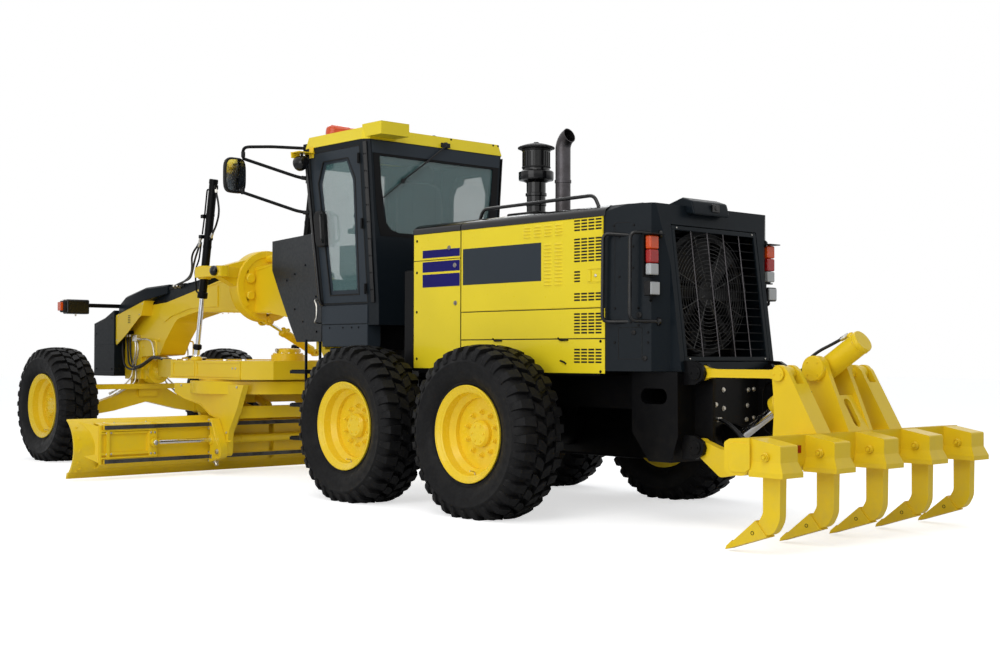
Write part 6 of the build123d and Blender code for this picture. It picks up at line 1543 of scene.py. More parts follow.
# ---------------------------------------------------------------- headlamps
for side_name, side in SIDES:
    lamp = Shape()
    lamp.box((at(7.345), side * 0.655, 1.655), (at(7.470), side * 0.930, 1.822))
    piece(f"headlamp_housing_{side_name}", lamp, mat_gloss_black, "front_frame", bevel=0.018, segments=4)
    rim_shape = Shape().box((at(7.462), side * 0.668, 1.667), (at(7.482), side * 0.918, 1.810))
    piece(f"headlamp_rim_{side_name}", rim_shape, mat_plastic, "front_frame", bevel=0.008, segments=3)
    glasses = Shape()
    for y in (0.735, 0.852):
        glasses.lathe([(0.050, 0.0), (0.050, 0.010), (0.034, 0.016), (0.0, 0.018)],
                      (at(7.478), side * y, 1.738), (1, 0, 0), 28)
    piece(f"headlamp_lens_{side_name}", glasses, mat_clear, "front_frame")
    amber = Shape().box((at(7.365), side * 0.965, 1.690), (at(7.450), side * 1.000, 1.790))
    piece(f"headlamp_indicator_{side_name}", amber, mat_orange, "front_frame", bevel=0.010, segments=3)
    collar = Shape().box((at(7.352), side * 0.926, 1.672), (at(7.462), side * 0.968, 1.806))
    piece(f"headlamp_collar_{side_name}", collar, mat_plastic, "front_frame", bevel=0.012, segments=3)
    arm = Shape()
    arm.box((at(7.385), side * 0.135, 1.735), (at(7.430), side * 0.660, 1.780))
    arm.box((at(7.370), side * 0.130, 1.690), (at(7.445), side * 0.142, 1.790))
    piece(f"headlamp_arm_{side_name}", arm, mat_black, "front_frame", bevel=0.003)
    pins = Shape().lathe([(0.010, 0), (0.010, 0.020), (0.007, 0.026)], (at(7.405), side * 0.800, 1.657),
                         (0, 0, -1), 12)
    for s in (7.37, 7.445):
        pins.bolt((at(s), side * 0.935, 1.815), (0, 0, 1), 0.006, washer=False)
    piece(f"headlamp_pins_{side_name}", pins, mat_zinc, "front_frame")

# ---------------------------------------------------------------- lift cylinders
YOKE = Vector((at(4.8584), 0.600, 2.030))
LIFT_EYE = Vector((at(5.013), 0.600, 1.175))
lift_axis = (LIFT_EYE - YOKE).normalized()


def on_lift(z, side, out=0.0, ahead=0.0):
    """Point on a lift cylinder's axis at a height, moved outward and ahead of it."""
    share = (z - YOKE.z) / (LIFT_EYE.z - YOKE.z)
    return Vector((YOKE.x + (LIFT_EYE.x - YOKE.x) * share + ahead, side * (YOKE.y + out), z))


for side_name, side in SIDES:
    body = f"lift_cylinder_{side_name}"
    trim = Shape()
    trim.lathe([(0.050, -0.006), (0.052, -0.002), (0.052, 0.050), (0.046, 0.056)], on_lift(1.776, side),
               -lift_axis, 36)
    trim.lathe([(0.046, 0.0), (0.046, 0.040), (0.040, 0.048)], on_lift(2.925, side), -lift_axis, 36)
    trim.lathe([(0.0445, 0.0), (0.0445, 0.028)], on_lift(2.28, side), -lift_axis, 36)
    trim.lathe([(0.0445, 0.0), (0.0445, 0.028)], on_lift(2.60, side), -lift_axis, 36)
    piece(f"lift_barrel_rings_{side_name}", trim, mat_black, body, bevel=0.001)
    bolts = Shape()
    for k in range(6):
        angle = 2 * math.pi * k / 6
        bolts.bolt(on_lift(1.776, side) + Vector((0.041 * math.cos(angle), 0.041 * math.sin(angle), 0.004)),
                   lift_axis, 0.006, washer=False)
    piece(f"lift_gland_bolts_{side_name}", bolts, mat_zinc, body)
    pipe = Shape()
    pipe.tube(bent([on_lift(2.87, side, 0.020, 0.036), on_lift(2.87, side, 0.030, 0.060),
                    on_lift(2.60, side, 0.030, 0.060),
                    on_lift(2.42, side, 0.034, 0.064)], 0.02), 0.0085, 10)
    pipe.tube(bent([on_lift(1.83, side, 0.020, 0.036), on_lift(1.83, side, 0.034, 0.066),
                    on_lift(2.05, side, 0.064, 0.088),
                    on_lift(2.16, side, 0.040, 0.070), on_lift(2.34, side, 0.034, 0.066)], 0.03), 0.0085, 10)
    piece(f"lift_pipes_{side_name}", pipe, mat_black, body)
    block = Shape()
    for z in (2.600, 2.395):
        block.box(on_lift(z, side, 0.010, 0.030) - Vector((0, 0.012, 0.018)),
                  on_lift(z, side, 0.052, 0.085) + Vector((0, 0.012, 0.018)))
    block.box(on_lift(2.885, side, -0.020, -0.072) - Vector((0, 0, 0.022)),
              on_lift(2.885, side, 0.020, -0.030) + Vector((0, 0, 0.022)))
    block.box(on_lift(2.375, side, -0.018, -0.070) - Vector((0, 0, 0.022)),
              on_lift(2.375, side, 0.018, -0.030) + Vector((0, 0, 0.022)))
    piece(f"lift_clamps_{side_name}", block, mat_black, body, bevel=0.004)
    hose(f"lift_hose_loop_{side_name}",
         [on_lift(2.868, side, 0, -0.060), on_lift(2.830, side, 0, -0.075),
          on_lift(2.740, side, 0.004, -0.135),
          on_lift(2.620, side, 0.010, -0.190), on_lift(2.500, side, 0.006, -0.150),
          on_lift(2.430, side, 0, -0.085),
          on_lift(2.392, side, 0, -0.062)],
         0.0105, body)
    # distance out from and ahead of the cylinder, height, and rise of the run to the neck
    for index, (out, ahead, z, lift) in enumerate(((0.044, 0.070, 2.395, 0.0), (0.052, 0.062, 2.345, -0.05))):
        hose(f"lift_hose_{index + 1}_{side_name}",
             [(at(6.16 + 0.08 * index), side * 0.168, 1.949), (at(6.16 + 0.08 * index), side * 0.195, 1.955),
              (at(5.98), side * 0.200, 2.000), (at(5.68), side * 0.300, 2.040 + lift * 0.5),
              (at(5.32), side * 0.480, 2.100 + lift * 0.8),
              (at(5.06), side * (0.640 - 0.04 * index), 2.225 + lift),
              on_lift(z - 0.070, side, out, ahead + 0.020), on_lift(z - 0.016, side, out, ahead)],
             0.0105, "front_frame", to_body=body)
    collar = Shape()
    collar.lathe([(0.028, 0.0), (0.044, 0.010), (0.046, 0.045), (0.034, 0.060)], on_lift(1.300, side),
                 lift_axis, 32)
    piece(f"lift_rod_collar_{side_name}", collar, mat_black, f"lift_rod_{side_name}", bevel=0.001)
    boot = Shape()
    boot.lathe([(0.058, 0.0), (0.060, 0.008), (0.058, 0.022), (0.048, 0.034), (0.037, 0.040)],
               (at(5.013), side * 0.600, 1.1325), UP, 32)
    piece(f"lift_ball_cap_{side_name}", boot, mat_gear, "drawbar", bevel=0.001)

# ---------------------------------------------------------------- saddle
SADDLE_S = 4.680
ball_caps = Shape()
dark_caps = Shape()
saddle_bolts = Shape()
for _, side in SIDES:
    dark_caps.lathe([(0.050, -0.004), (0.052, 0.006), (0.047, 0.026), (0.032, 0.040), (0.012, 0.046)],
                    (at(SADDLE_S - 0.185), side * 0.700, 2.030), (0, side, 0), 32)
    ball_caps.lathe([(0.066, 0.0), (0.066, 0.010), (0.060, 0.016)], (at(4.8584), side * 0.600, 2.0815), UP,
                    36)
    ball_caps.lathe([(0.066, 0.0), (0.066, 0.010), (0.060, 0.016)], (at(4.8584), side * 0.600, 1.9785),
                    (0, 0, -1), 36)
    for k in range(6):
        angle = math.radians(30 + 60 * k)
        place = (at(4.8584) + 0.075 * math.cos(angle), side * 0.600 + 0.075 * math.sin(angle), 2.0825)
        if place[1] * side < 0.683:
            saddle_bolts.bolt(place, UP, 0.0075)
piece("saddle_yoke_caps", ball_caps, mat_gear, "front_frame", bevel=0.001)
piece("saddle_end_balls", dark_caps, mat_gloss_black, "front_frame")
for k in range(10):
    angle = math.radians(18 + 36 * k)
    y, z = 0.335 * math.cos(angle), 1.900 + 0.335 * math.sin(angle)
    for face in (1, -1):
        saddle_bolts.bolt((at(SADDLE_S + face * 0.0795), y, z), (face, 0, 0), 0.0095)
piece("saddle_bolts", saddle_bolts, mat_gear, "front_frame")
lock = Shape()
lock.tube([(at(SADDLE_S - 0.150), 0.0, 2.185), (at(SADDLE_S + 0.160), 0.0, 2.185)], 0.036, 24)
lock.lathe([(0.043, 0), (0.043, 0.020), (0.038, 0.026)], (at(SADDLE_S - 0.170), 0, 2.185), (-1, 0, 0), 24)
lock.lathe([(0.026, 0), (0.026, 0.034), (0.020, 0.040)], (at(SADDLE_S + 0.155), 0, 2.185), (1, 0, 0), 6)
piece("saddle_lock_cylinder", lock, mat_gear, "front_frame", bevel=0.001)

SHIFT_PIN = Vector((at(4.680), -0.640, 1.215))
SHIFT_EYE = Vector((at(4.680), -0.020, 1.545))
shift_axis = (SHIFT_EYE - SHIFT_PIN).normalized()
shift_trim = Shape()
shift_trim.lathe([(0.049, 0.430), (0.051, 0.434), (0.051, 0.476), (0.045, 0.482)], SHIFT_PIN, shift_axis, 36)
shift_trim.lathe([(0.047, 0.050), (0.047, 0.078)], SHIFT_PIN, shift_axis, 36)
shift_trim.lathe([(0.020, 0), (0.020, 0.030), (0.016, 0.034)],
                 SHIFT_PIN + shift_axis * 0.40 + Vector((0, 0, 0.036)),
                 (-1, 0, 0.6), 16)
piece("shift_barrel_rings", shift_trim, mat_gear, "shift_cylinder", bevel=0.001)
shift_pipe = Shape().tube(bent([SHIFT_PIN + shift_axis * 0.455 + Vector((-0.052, 0, 0.0)),
                                SHIFT_PIN + shift_axis * 0.455 + Vector((-0.072, 0, 0.0)),
                                SHIFT_PIN + shift_axis * 0.120 + Vector((-0.072, 0, 0.0)),
                                SHIFT_PIN + shift_axis * 0.120 + Vector((-0.044, 0, 0.0))], 0.015), 0.0075,
                                10)
piece("shift_barrel_pipe", shift_pipe, mat_gear, "shift_cylinder")
eye_caps = Shape()
for face in (1, -1):
    eye_caps.lathe([(0.030, 0.0), (0.030, 0.006), (0.026, 0.009)], (at(4.680 + face * 0.086), -0.020, 1.545),
                   (face, 0, 0), 24)
    eye_caps.bolt((at(4.680 + face * 0.095), -0.020, 1.545), (face, 0, 0), 0.011)
piece("shift_eye_caps", eye_caps, mat_gear, "front_frame")

# ---------------------------------------------------------------- hoses beside the leg
for side_name, side in SIDES:
    for index, (s, y, dip) in enumerate(((7.418, 0.208, 0.0), (7.335, 0.185, 0.020), (7.265, 0.187, 0.012))):
        spread = 0.024 * (index - 1)
        hose(f"nose_hose_{index + 1}_{side_name}",
             [(at(s), side * y, 1.440), (at(s - 0.004), side * y, 1.330),
              (at(s - 0.030), side * (y + 0.010), 1.180 + dip),
              (at(7.275 - 0.05 * index), side * (0.220 - spread), 1.040 + dip),
              (at(7.080 - 0.02 * index), side * (0.215 - spread), 1.010 + dip * 1.5),
              (at(6.860), side * (0.215 - spread), 1.075 + dip),
              (at(6.640), side * (0.225 - spread), 1.155 + dip),
              (at(6.470), side * (0.235 - spread), 1.150 + dip * 0.6),
              (at(6.330), side * (0.235 - spread), 1.1435)],
             0.0115, "front_frame", to_body="drawbar")
    manifold = Shape().box((at(7.225), side * 0.158, 1.425), (at(7.435), side * 0.250, 1.470))
    piece(f"nose_manifold_{side_name}", manifold, mat_black, "front_frame", bevel=0.004)
    fittings = Shape()
    for s, y in ((7.418, 0.208), (7.335, 0.185), (7.265, 0.187)):
        fittings.lathe([(0.018, 0), (0.018, 0.026), (0.015, 0.030)], (at(s), side * y, 1.450), (0, 0, -1), 6)
    piece(f"nose_fittings_{side_name}", fittings, mat_zinc, "front_frame")
    drawbar_clamp = Shape().box((at(6.310), side * 0.170, 1.1295), (at(6.352), side * 0.285, 1.150))
    piece(f"drawbar_hose_clamp_{side_name}", drawbar_clamp, mat_black, "drawbar", bevel=0.003)
    for index, (dy, start_z) in enumerate(((0.0, 1.360), (0.030, 1.385))):
        hose(f"leg_hose_{index + 1}_{side_name}",
             [(at(7.125), side * (0.172 + dy), start_z), (at(7.085), side * (0.176 + dy), start_z - 0.075),
              (at(7.095), side * (0.178 + dy), 1.180), (at(7.150), side * (0.180 + dy), 1.080),
              (at(7.130 + dy), side * (0.180 + dy), 0.940),
              (at(7.120 + dy), side * (0.200 + dy * 3), 0.860), (at(7.150), side * (0.300 + dy * 3), 0.790),
              (at(7.1935), side * (0.380 + dy * 3), 0.742)],
             0.0095, "front_frame", mat_zinc)
    leg_block = Shape().box((at(7.060), side * 0.158, 1.345), (at(7.165), side * 0.215, 1.420))
    piece(f"leg_block_{side_name}", leg_block, mat_zinc, "front_frame", bevel=0.004)
    hose(f"leg_hose_3_{side_name}",
         [(at(7.070), side * 0.180, 1.372), (at(7.000), side * 0.190, 1.366),
          (at(6.860), side * 0.205, 1.372),
          (at(6.700), side * 0.215, 1.350), (at(6.640), side * 0.220, 1.260),
          (at(6.625), side * 0.215, 1.150),
          (at(6.600), side * 0.220, 1.1445)],
         0.0095, "front_frame", mat_zinc, to_body="drawbar")

# ---------------------------------------------------------------- back of the moldboard
RAIL_BACK = 4.530
RAIL_FRONT = 4.486
RAIL_HEIGHTS = (0.180, 0.500)
CARRIER_OUT = 0.750
ARC_LOW, ARC_MID, ARC_HIGH = Vector((4.708, 0.032)), Vector((4.560, 0.300)), Vector((4.720, 0.580))


ARC_CHORD = ARC_HIGH - ARC_LOW
ARC_SPLIT = (ARC_LOW + ARC_HIGH) / 2
ARC_SAG = abs((ARC_MID - ARC_SPLIT).dot(Vector((ARC_CHORD.y, -ARC_CHORD.x)).normalized()))
ARC_R = (ARC_SAG ** 2 + (ARC_CHORD.length / 2) ** 2) / (2 * ARC_SAG)
ARC_CENTRE = ARC_SPLIT + Vector((ARC_CHORD.y, -ARC_CHORD.x)).normalized() * (ARC_R - ARC_SAG)


def back_station(z):
    """Station of the moldboard's back at a height."""
    return ARC_CENTRE.x - math.sqrt(ARC_R ** 2 - (z - ARC_CENTRE.y) ** 2)


backing = Shape()
frames = Shape()
slides = Shape()
blade_bolts = Shape()
edge_bolts = Shape()
for _, side in SIDES:
    lo, hi = (side * 0.030, side * 1.895)
    backing.side([(RAIL_BACK + 0.0015, 0.150), (RAIL_BACK + 0.0015, 0.524), (4.540, 0.530), (4.668, 0.541),
                  (4.672, 0.533),
                  (4.562, 0.520), (4.560, 0.150), (4.600, 0.120), (4.585, 0.112)], lo, hi)
    # raised frames round the recessed panels
    for y0, y1, z0, z1 in ((1.385, 1.408, 0.240, 0.455), (1.885, 1.908, 0.150, 0.524),
                           (1.405, 1.890, 0.436, 0.458),
                           (1.405, 1.890, 0.238, 0.262)):
        frames.box((at(4.508), side * y0, z0), (at(RAIL_BACK + 0.004), side * y1, z1))
    frames.box((at(4.500), side * 1.325, 0.205), (at(RAIL_BACK + 0.004), side * 1.400, 0.474))
    for z0, z1 in ((0.462, 0.476), (0.205, 0.219)):
        frames.box((at(4.492), side * 1.328, z0), (at(RAIL_BACK + 0.004), side * 1.890, z1))
    # wedge from the panel's end down to the moldboard
    wedge = []
    for y, share in ((1.900, 0.0), (2.040, 1.0)):
        ring = []
        for s, z in ((RAIL_BACK + 0.002, 0.165), (RAIL_BACK + 0.002, 0.515)):
            target = 0.235 if z < 0.3 else 0.560
            depth = back_station(target) - 0.001
            ring.append((at(s + (depth - s) * share), side * y, z + (target - z) * share))
        ring += [(at(4.575 + (back_station(0.56) + 0.012 - 4.575) * share), side * y, ring[1][2]),
                 (at(4.575 + (back_station(0.235) + 0.012 - 4.575) * share), side * y, ring[0][2])]
        wedge.append(ring)
    frames.loft(wedge)
    # hardened faces of the slide rails
    for z in RAIL_HEIGHTS:
        slides.box((at(RAIL_FRONT - 0.0002), 0, z - 0.0195),
                   (at(RAIL_FRONT + 0.010), side * 1.868, z + 0.0195))
    for y, z in ((1.809, 0.541), (1.702, 0.541), (1.370, 0.541)):
        blade_bolts.bolt((at(4.625), side * y, z - 0.004), (-0.08, 0, 1), 0.0085)
    for y, z in ((1.836, 0.447), (1.790, 0.447), (1.836, 0.249), (1.790, 0.249)):
        blade_bolts.bolt((at(4.508), side * y, z), (-1, 0, 0), 0.0075)
    for y in (1.342, 1.382):
        for z in (0.240, 0.440):
            blade_bolts.bolt((at(4.500), side * y, z), (-1, 0, 0), 0.0085)
    for z in (0.506, 0.402, 0.289, 0.176, 0.095):
        slope = (back_station(z + 0.01) - back_station(z - 0.01)) / 0.02
        edge_bolts.bolt((at(back_station(z) + 0.001), side * 2.080, z), (-1, 0, slope), 0.013)
    for k in range(14):
        y = 2.050 - 0.152 * k
        z = 0.118
        slope = (back_station(z + 0.01) - back_station(z - 0.01)) / 0.02
        edge_bolts.bolt((at(back_station(z) + 0.001), side * y, z), (-1, 0, slope), 0.014)
piece("blade_back_plate", backing, mat_gear, "moldboard", bevel=0.002)
piece("blade_back_frames", frames, mat_gear, "moldboard", bevel=0.003)
piece("blade_slide_faces", slides, mat_iron, "moldboard")
piece("blade_panel_bolts", blade_bolts, mat_zinc, "moldboard")
piece("blade_edge_bolts", edge_bolts, mat_gear, "moldboard")

SHIFT_AXIS_S = 4.468
rod_skin = Shape()
rod_skin.lathe([(0.02215, 0.0), (0.02215, 1.290)], (at(SHIFT_AXIS_S), 1.330, 0.345), (0, -1, 0), 36)
piece("side_shift_rod_chrome", rod_skin, mat_chrome, "moldboard")
rod_eye = Shape()
rod_eye.lathe([(0.036, -0.026), (0.039, -0.020), (0.039, 0.020), (0.036, 0.026)],
              (at(SHIFT_AXIS_S - 0.002), 1.365, 0.345), (1, 0, 0), 28)
piece("side_shift_rod_eye", rod_eye, mat_gear, "moldboard", bevel=0.002)
eye_pin = Shape()
eye_pin.lathe([(0.024, 0), (0.024, 0.012), (0.020, 0.016)], (at(SHIFT_AXIS_S - 0.030), 1.365, 0.345),
              (-1, 0, 0), 24)
eye_pin.bolt((at(SHIFT_AXIS_S - 0.045), 1.365, 0.345), (-1, 0, 0), 0.011)
piece("side_shift_eye_pin", eye_pin, mat_zinc, "moldboard")
barrel = Shape()
barrel.spin([(0.024, 0.0), (0.050, 0.0), (0.050, 0.008), (0.044, 0.012), (0.024, 0.012)],
            (at(SHIFT_AXIS_S), 0.749, 0.345), (0, 1, 0), 32)
barrel.lathe([(0.046, 0.0), (0.046, 0.022)], (at(SHIFT_AXIS_S), -0.60, 0.345), (0, 1, 0), 32)
barrel.lathe([(0.046, 0.0), (0.046, 0.022)], (at(SHIFT_AXIS_S), 0.40, 0.345), (0, 1, 0), 32)
piece("side_shift_barrel_rings", barrel, mat_gear, "blade_carrier", bevel=0.001)

# adjusters, welds and pads on the carriers
adjusters = Shape()
carrier_trim = Shape()
pad_plates = Shape()
for _, side in SIDES:
    for z in RAIL_HEIGHTS:
        for dz in (-0.040, 0.040):
            adjusters.bolt((at(4.500), side * CARRIER_OUT, z + dz), (0, side, 0), 0.011)
        pad_plates.box((at(4.440), side * 0.690, z - 0.020),
                       (at(4.4765), side * (CARRIER_OUT + 0.004), z + 0.020))
    adjusters.lathe([(0.028, 0), (0.028, 0.010), (0.020, 0.014), (0.020, 0.040), (0.012, 0.044)],
                    (at(4.430), side * 0.7125, 0.130), (-0.5, 0, -1), 20)
    carrier_trim.tube([(at(4.330), side * (CARRIER_OUT + 0.002), 0.296),
                       (at(4.455), side * (CARRIER_OUT + 0.002), 0.545)], 0.007, 8)
    carrier_trim.tube([(at(4.330), side * (CARRIER_OUT + 0.002), 0.176),
                       (at(4.455), side * (CARRIER_OUT + 0.002), 0.135)], 0.007, 8)
    adjusters.bolt((at(4.330), side * 0.756, 0.235), (0, side, 0), 0.022)
piece("carrier_adjusters", adjusters, mat_zinc, "blade_carrier")
piece("carrier_welds", carrier_trim, mat_gear, "blade_carrier")
piece("carrier_pads", pad_plates, mat_zinc, "blade_carrier", bevel=0.002)

# ---------------------------------------------------------------- circle
CIRCLE_S = 4.650
teeth = Shape()
for k in range(64):
    angle = 2 * math.pi * k / 64
    c, s = math.cos(angle), math.sin(angle)
    t0, t1 = 0.022, 0.013
    ring = [(0.642, -t0), (0.642, t0), (0.612, t1), (0.612, -t1)]
    teeth.prism([(at(CIRCLE_S) + r * c - w * s, r * s + w * c, 0.822) for r, w in ring], (0, 0, 0.080))
piece("circle_teeth", teeth, mat_steel, "circle")
arm_trim = Shape()
arm_bolts = Shape()
for _, side in SIDES:
    y = side * 0.6715
    arm_trim.tube([(at(5.335), y, 0.802), (at(5.150), y, 0.745), (at(4.800), y, 0.686),
                   (at(4.600), y, 0.580)], 0.006, 8)
    arm_trim.box((at(4.20), side * 0.6695, 0.330), (at(4.400), side * 0.678, 0.350))
    for s, z in ((4.300, 0.300), (4.360, 0.300), (4.300, 0.420)):
        arm_bolts.bolt((at(s), side * 0.6710, z), (0, side, 0), 0.011)
    for k in range(5):
        arm_bolts.bolt((at(4.110 + 0.27 * k), side * 0.6705, 0.872), (0, side, 0), 0.011)
piece("circle_arm_welds", arm_trim, mat_gear, "circle")
piece("circle_arm_bolts", arm_bolts, mat_zinc, "circle")

# pitch cylinder and stays between the arms
pitch = Shape()
pitch.lathe([(0.042, 0.0), (0.044, 0.006), (0.044, 0.210), (0.038, 0.216)], (at(4.520), 0.180, 0.750),
            (-0.93, 0.0, -0.36), 32)
pitch.lathe([(0.048, 0.180), (0.048, 0.214), (0.042, 0.220)], (at(4.520), 0.180, 0.750), (-0.93, 0.0, -0.36),
            32)
pitch.lathe([(0.022, 0.200), (0.022, 0.300)], (at(4.520), 0.180, 0.750), (-0.93, 0.0, -0.36), 24)
piece("pitch_cylinder", pitch, mat_gear, "circle", bevel=0.001)
stays = Shape()
for _, side in SIDES:
    stays.tube([(at(4.250), side * 0.560, 0.610), (at(4.560), side * 0.330, 0.745)], 0.030, 18)
    stays.tube([(at(4.260), side * 0.300, 0.620), (at(4.560), side * 0.480, 0.745)], 0.024, 18)
piece("circle_stays", stays, mat_gear, "circle")

# ---------------------------------------------------------------- drawbar
panels = Shape()
drawbar_bolts = Shape()
for _, side in SIDES:
    y = side * 0.6600
    for s0, s1 in ((4.070, 4.900), (4.950, 5.380)):
        for z0, z1 in ((1.104, 1.126), (0.965, 0.985)):
            panels.box((at(s0), y, z0), (at(s1), y + side * 0.007, z1))
        for s in (s0, s1):
            panels.box((at(s - 0.008), y, 0.965), (at(s + 0.008), y + side * 0.007, 1.126))
    for s in (4.150, 4.210):
        drawbar_bolts.bolt((at(s), y, 1.055), (0, side, 0), 0.009)
    for s in (5.25, 4.45, 4.10):
        drawbar_bolts.lathe([(0.026, 0), (0.026, 0.014), (0.020, 0.018)], (at(s), side * 0.600, 1.129), UP, 6)
piece("drawbar_side_panels", panels, mat_gear, "drawbar", bevel=0.0025)
piece("drawbar_bolts", drawbar_bolts, mat_zinc, "drawbar")
top_ribs = Shape()
for _, side in SIDES:
    top_ribs.prism([(at(5.400), side * 0.640, 1.1295), (at(6.700), side * 0.130, 1.1295),
                    (at(6.700), side * 0.110, 1.1295),
                    (at(5.400), side * 0.620, 1.1295)], (0, 0, 0.012))
top_ribs.lathe([(0.155, 0.0), (0.155, 0.016), (0.120, 0.022), (0.120, 0.060), (0.085, 0.068), (0.040, 0.070)],
               (at(4.230), 0, 1.189), UP, 40)
piece("drawbar_top_ribs", top_ribs, mat_gear, "drawbar", bevel=0.002)
gear_bolts = Shape()
for k in range(12):
    angle = 2 * math.pi * k / 12
    gear_bolts.bolt((at(4.230) + 0.138 * math.cos(angle), 0.138 * math.sin(angle), 1.205), UP, 0.009)
gear_bolts.lathe([(0.020, 0), (0.020, 0.024)], (at(4.230), 0.120, 1.235), (0, 1, 0), 16)
gear_bolts.lathe([(0.020, 0), (0.020, 0.024)], (at(4.230), -0.120, 1.235), (0, -1, 0), 16)
piece("circle_drive_bolts", gear_bolts, mat_zinc, "drawbar")

# ---------------------------------------------------------------- mirrors and work lamps
for side_name, side in SIDES:
    arms = Shape()
    arms.tube(bent([(at(2.775), side * 0.785, 3.055), (at(3.05), side * 0.965, 3.082),
                    (at(3.262), side * 1.118, 3.088),
                    (at(3.290), side * 1.125, 3.050), (at(3.300), side * 1.110, 2.985)], 0.055), 0.0145, 14)
    arms.tube(bent([(at(3.300), side * 1.110, 2.985), (at(2.830), side * 0.850, 2.800),
                    (at(2.760), side * 0.768, 2.775)], 0.04),
              0.0150, 14)
    arms.tube(bent([(at(3.318), side * 1.095, 2.676), (at(2.840), side * 0.830, 2.490),
                    (at(2.745), side * 0.745, 2.468)], 0.04),
              0.0150, 14)
    for z, s, y in ((3.055, 2.775, 0.800), (2.775, 2.765, 0.780), (2.468, 2.750, 0.758)):
        arms.box((at(s - 0.030), side * (y - 0.045), z - 0.035),
                 (at(s + 0.022), side * (y - 0.004), z + 0.035))
    piece(f"mirror_arms_{side_name}", arms, mat_black, "front_frame")
    joints = Shape()
    for s, y, z, axis in ((3.285, 1.122, 3.045, (0, 0, -1)), (2.800, 0.812, 2.790, (-0.5, -0.4, -0.1)),
                          (2.800, 0.790, 2.478, (-0.5, -0.4, -0.1)), (3.325, 1.100, 2.712, (0, 0, -1))):
        joints.lathe([(0.018, 0), (0.019, 0.006), (0.019, 0.044), (0.016, 0.050)], (at(s), side * y, z),
                     (axis[0], side * axis[1], axis[2]), 16)
    piece(f"mirror_joints_{side_name}", joints, mat_plastic, "front_frame")
    shell = Shape()
    face = Shape()
    mid = Vector((at(3.345), side * 1.165, 2.832))
    half_y, half_z = 0.108, 0.160

    def oval(scale, depth):
        """Rounded outline of the mirror; a higher power is squarer."""
        power = 4.0
        ring = []
        for k in range(40):
            angle = 2 * math.pi * k / 40
            c, s = math.cos(angle), math.sin(angle)
            reach = (abs(c) ** power + abs(s) ** power) ** (-1 / power)
            ring.append(mid + Vector((depth, side * half_y * scale * c * reach, half_z * scale * s * reach)))
        return ring

    shell.loft([oval(1.00, -0.004), oval(1.03, 0.010), oval(1.00, 0.040), oval(0.84, 0.066),
                oval(0.50, 0.082)])
    piece(f"mirror_shell_{side_name}", shell, mat_plastic, "front_frame")
    face.loft([oval(0.90, -0.0065), oval(0.90, -0.0035)])
    piece(f"mirror_glass_{side_name}", face, mat_mirror, "front_frame")
    work_mount = Shape()
    work_mount.box((at(2.610), side * 0.800, 2.988), (at(2.735), side * 0.970, 2.997))
    work_mount.box((at(2.620), side * 0.800, 2.950), (at(2.680), side * 0.812, 3.050))
    work_mount.box((at(2.722), side * 0.880, 2.945), (at(2.735), side * 0.970, 2.997))
    piece(f"work_lamp_mount_{side_name}", work_mount, mat_gear, "front_frame", bevel=0.002)
    lamp = Shape()
    lamp.spin([(0.0, 0.0), (0.040, 0.004), (0.062, 0.030), (0.068, 0.085), (0.066, 0.100), (0.0, 0.100)],
              (at(2.590), side * 0.915, 2.905), (1, 0, -0.12), 28)
    piece(f"work_lamp_{side_name}", lamp, mat_gloss_black, "front_frame")
    lens_disc = Shape().lathe([(0.060, 0.0), (0.058, 0.004), (0.030, 0.009)],
                              (at(2.689), side * 0.915, 2.893), (1, 0, -0.12), 28)
    piece(f"work_lamp_lens_{side_name}", lens_disc, mat_clear, "front_frame")
    stay = Shape().tube([(at(2.645), side * 0.915, 2.905), (at(2.645), side * 0.915, 2.992)], 0.012, 10)
    piece(f"work_lamp_stay_{side_name}", stay, mat_plastic, "front_frame")

# castings of the saddle round the neck
rim = Shape()
for face_x in (-0.090, 0.080):
    ring = []
    for k in range(49):
        angle = math.radians(-40 + 260 * k / 48)
        ring.append((math.cos(angle), math.sin(angle)))
    outer = [(at(SADDLE_S) + face_x, 0.366 * c, 1.900 + 0.366 * s) for c, s in ring]
    inner = [(at(SADDLE_S) + face_x, 0.300 * c, 1.900 + 0.300 * s) for c, s in reversed(ring)]
    rim.prism(outer + inner, (0.010, 0, 0))
for _, side in SIDES:
    for y, z, r in ((0.225, 1.975, 0.050), (0.225, 1.800, 0.045)):
        rim.lathe([(r, 0.0), (r, 0.026), (r * 0.82, 0.034)], (at(SADDLE_S) - 0.080, side * y, z), (-1, 0, 0),
                  28)
piece("saddle_face_castings", rim, mat_gear, "front_frame", bevel=0.003)

# ---------------------------------------------------------------- camera, floor and light
def aimed_light(name, energy, size, place, target, colour=(1, 1, 1), size_y=None):
    data = bpy.data.lights.new(name, "AREA")
    data.energy = energy
    data.color = colour
    data.shape = "RECTANGLE"
    data.size = size
    data.size_y = size_y or size
    lamp = bpy.data.objects.new(name, data)
    lamp.location = place
    lamp.rotation_euler = (Vector(target) - Vector(place)).to_track_quat("-Z", "Y").to_euler()
    bpy.context.scene.collection.objects.link(lamp)


scene = bpy.context.scene
camera_data = bpy.data.cameras.new("camera")
camera_data.lens = 49.22
camera_data.sensor_width = 36.0
camera_data.clip_end = 200.0
camera = bpy.data.objects.new("camera", camera_data)
camera.location = (REAR_AXLE_X - 7.520, 7.780, 1.186)
heading = Matrix.Rotation(math.radians(-132.319), 4, "Z") @ Matrix.Rotation(math.radians(90.932), 4, "X")
camera.rotation_euler = (heading @ Matrix.Rotation(math.radians(0.130), 4, "Z")).to_euler()
scene.collection.objects.link(camera)
scene.camera = camera

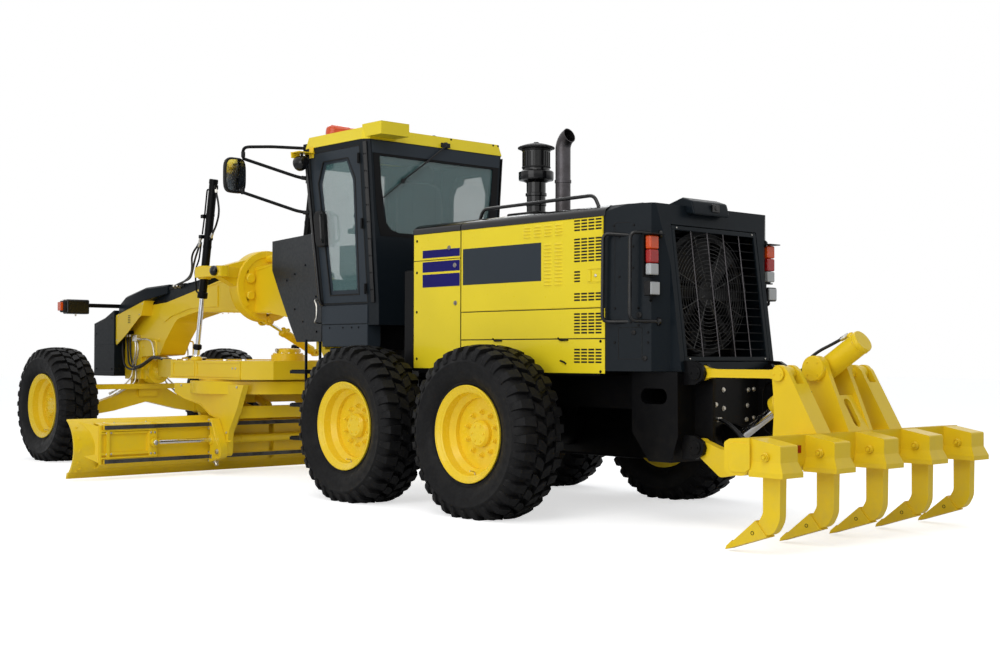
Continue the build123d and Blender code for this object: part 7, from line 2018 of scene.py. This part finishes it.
floor_mesh = bpy.data.meshes.new("studio_floor")
floor_mesh.from_pydata([(-60, -60, 0), (60, -60, 0), (60, 60, 0), (-60, 60, 0)], [], [(0, 1, 2, 3)])
floor = bpy.data.objects.new("studio_floor", floor_mesh)
scene.collection.objects.link(floor)
n = Nodes("floor_white")
n.link(n.mix(n.noise(0.6), (0.80, 0.80, 0.80), (0.84, 0.84, 0.84)), n.shader.inputs["Base Color"])
seen_direct = n.tree.nodes.new("ShaderNodeLightPath")
glow = n.tree.nodes.new("ShaderNodeMath")
glow.operation = "MULTIPLY"
n.link(seen_direct.outputs["Is Camera Ray"], glow.inputs[0])
glow.inputs[1].default_value = 0.62
n.shader.inputs["Emission Color"].default_value = (1.0, 1.0, 1.0, 1.0)
n.link(glow.outputs[0], n.shader.inputs["Emission Strength"])
floor_mesh.materials.append(n.finish(Roughness=0.9, Specular_IOR_Level=0.1))

world = bpy.data.worlds.new("studio")
scene.world = world
world.use_nodes = True
tree = world.node_tree
shade = tree.nodes["Background"]
shade.inputs["Color"].default_value = (0.82, 0.85, 0.90, 1.0)
shade.inputs["Strength"].default_value = 0.50
bright = tree.nodes.new("ShaderNodeBackground")
bright.inputs["Color"].default_value = (1.0, 1.0, 1.0, 1.0)
bright.inputs["Strength"].default_value = 1.0
seen = tree.nodes.new("ShaderNodeLightPath")
reach = None
for ray in ("Is Camera Ray", "Is Glossy Ray", "Is Transmission Ray"):
    if reach is None:
        reach = seen.outputs[ray]
        continue
    larger = tree.nodes.new("ShaderNodeMath")
    larger.operation = "MAXIMUM"
    tree.links.new(reach, larger.inputs[0])
    tree.links.new(seen.outputs[ray], larger.inputs[1])
    reach = larger.outputs[0]
chosen = tree.nodes.new("ShaderNodeMixShader")
tree.links.new(reach, chosen.inputs["Fac"])
tree.links.new(shade.outputs[0], chosen.inputs[1])
tree.links.new(bright.outputs[0], chosen.inputs[2])
tree.links.new(chosen.outputs[0], tree.nodes["World Output"].inputs["Surface"])

aimed_light("key", 335, 6.0, (-6.5, 7.0, 9.0), (0.0, 0.0, 1.0), (1.0, 0.98, 0.95))
aimed_light("fill", 410, 8.0, (-4.5, 12.0, 3.0), (-0.5, 0.0, 1.2))
aimed_light("rim", 210, 6.0, (7.0, -6.0, 8.0), (0.0, 0.0, 1.2), (0.95, 0.98, 1.0))
aimed_light("top", 180, 7.0, (0.0, 0.0, 10.0), (0.0, 0.0, 0.0))

scene.view_settings.view_transform = "Standard"
scene.view_settings.look = "None"
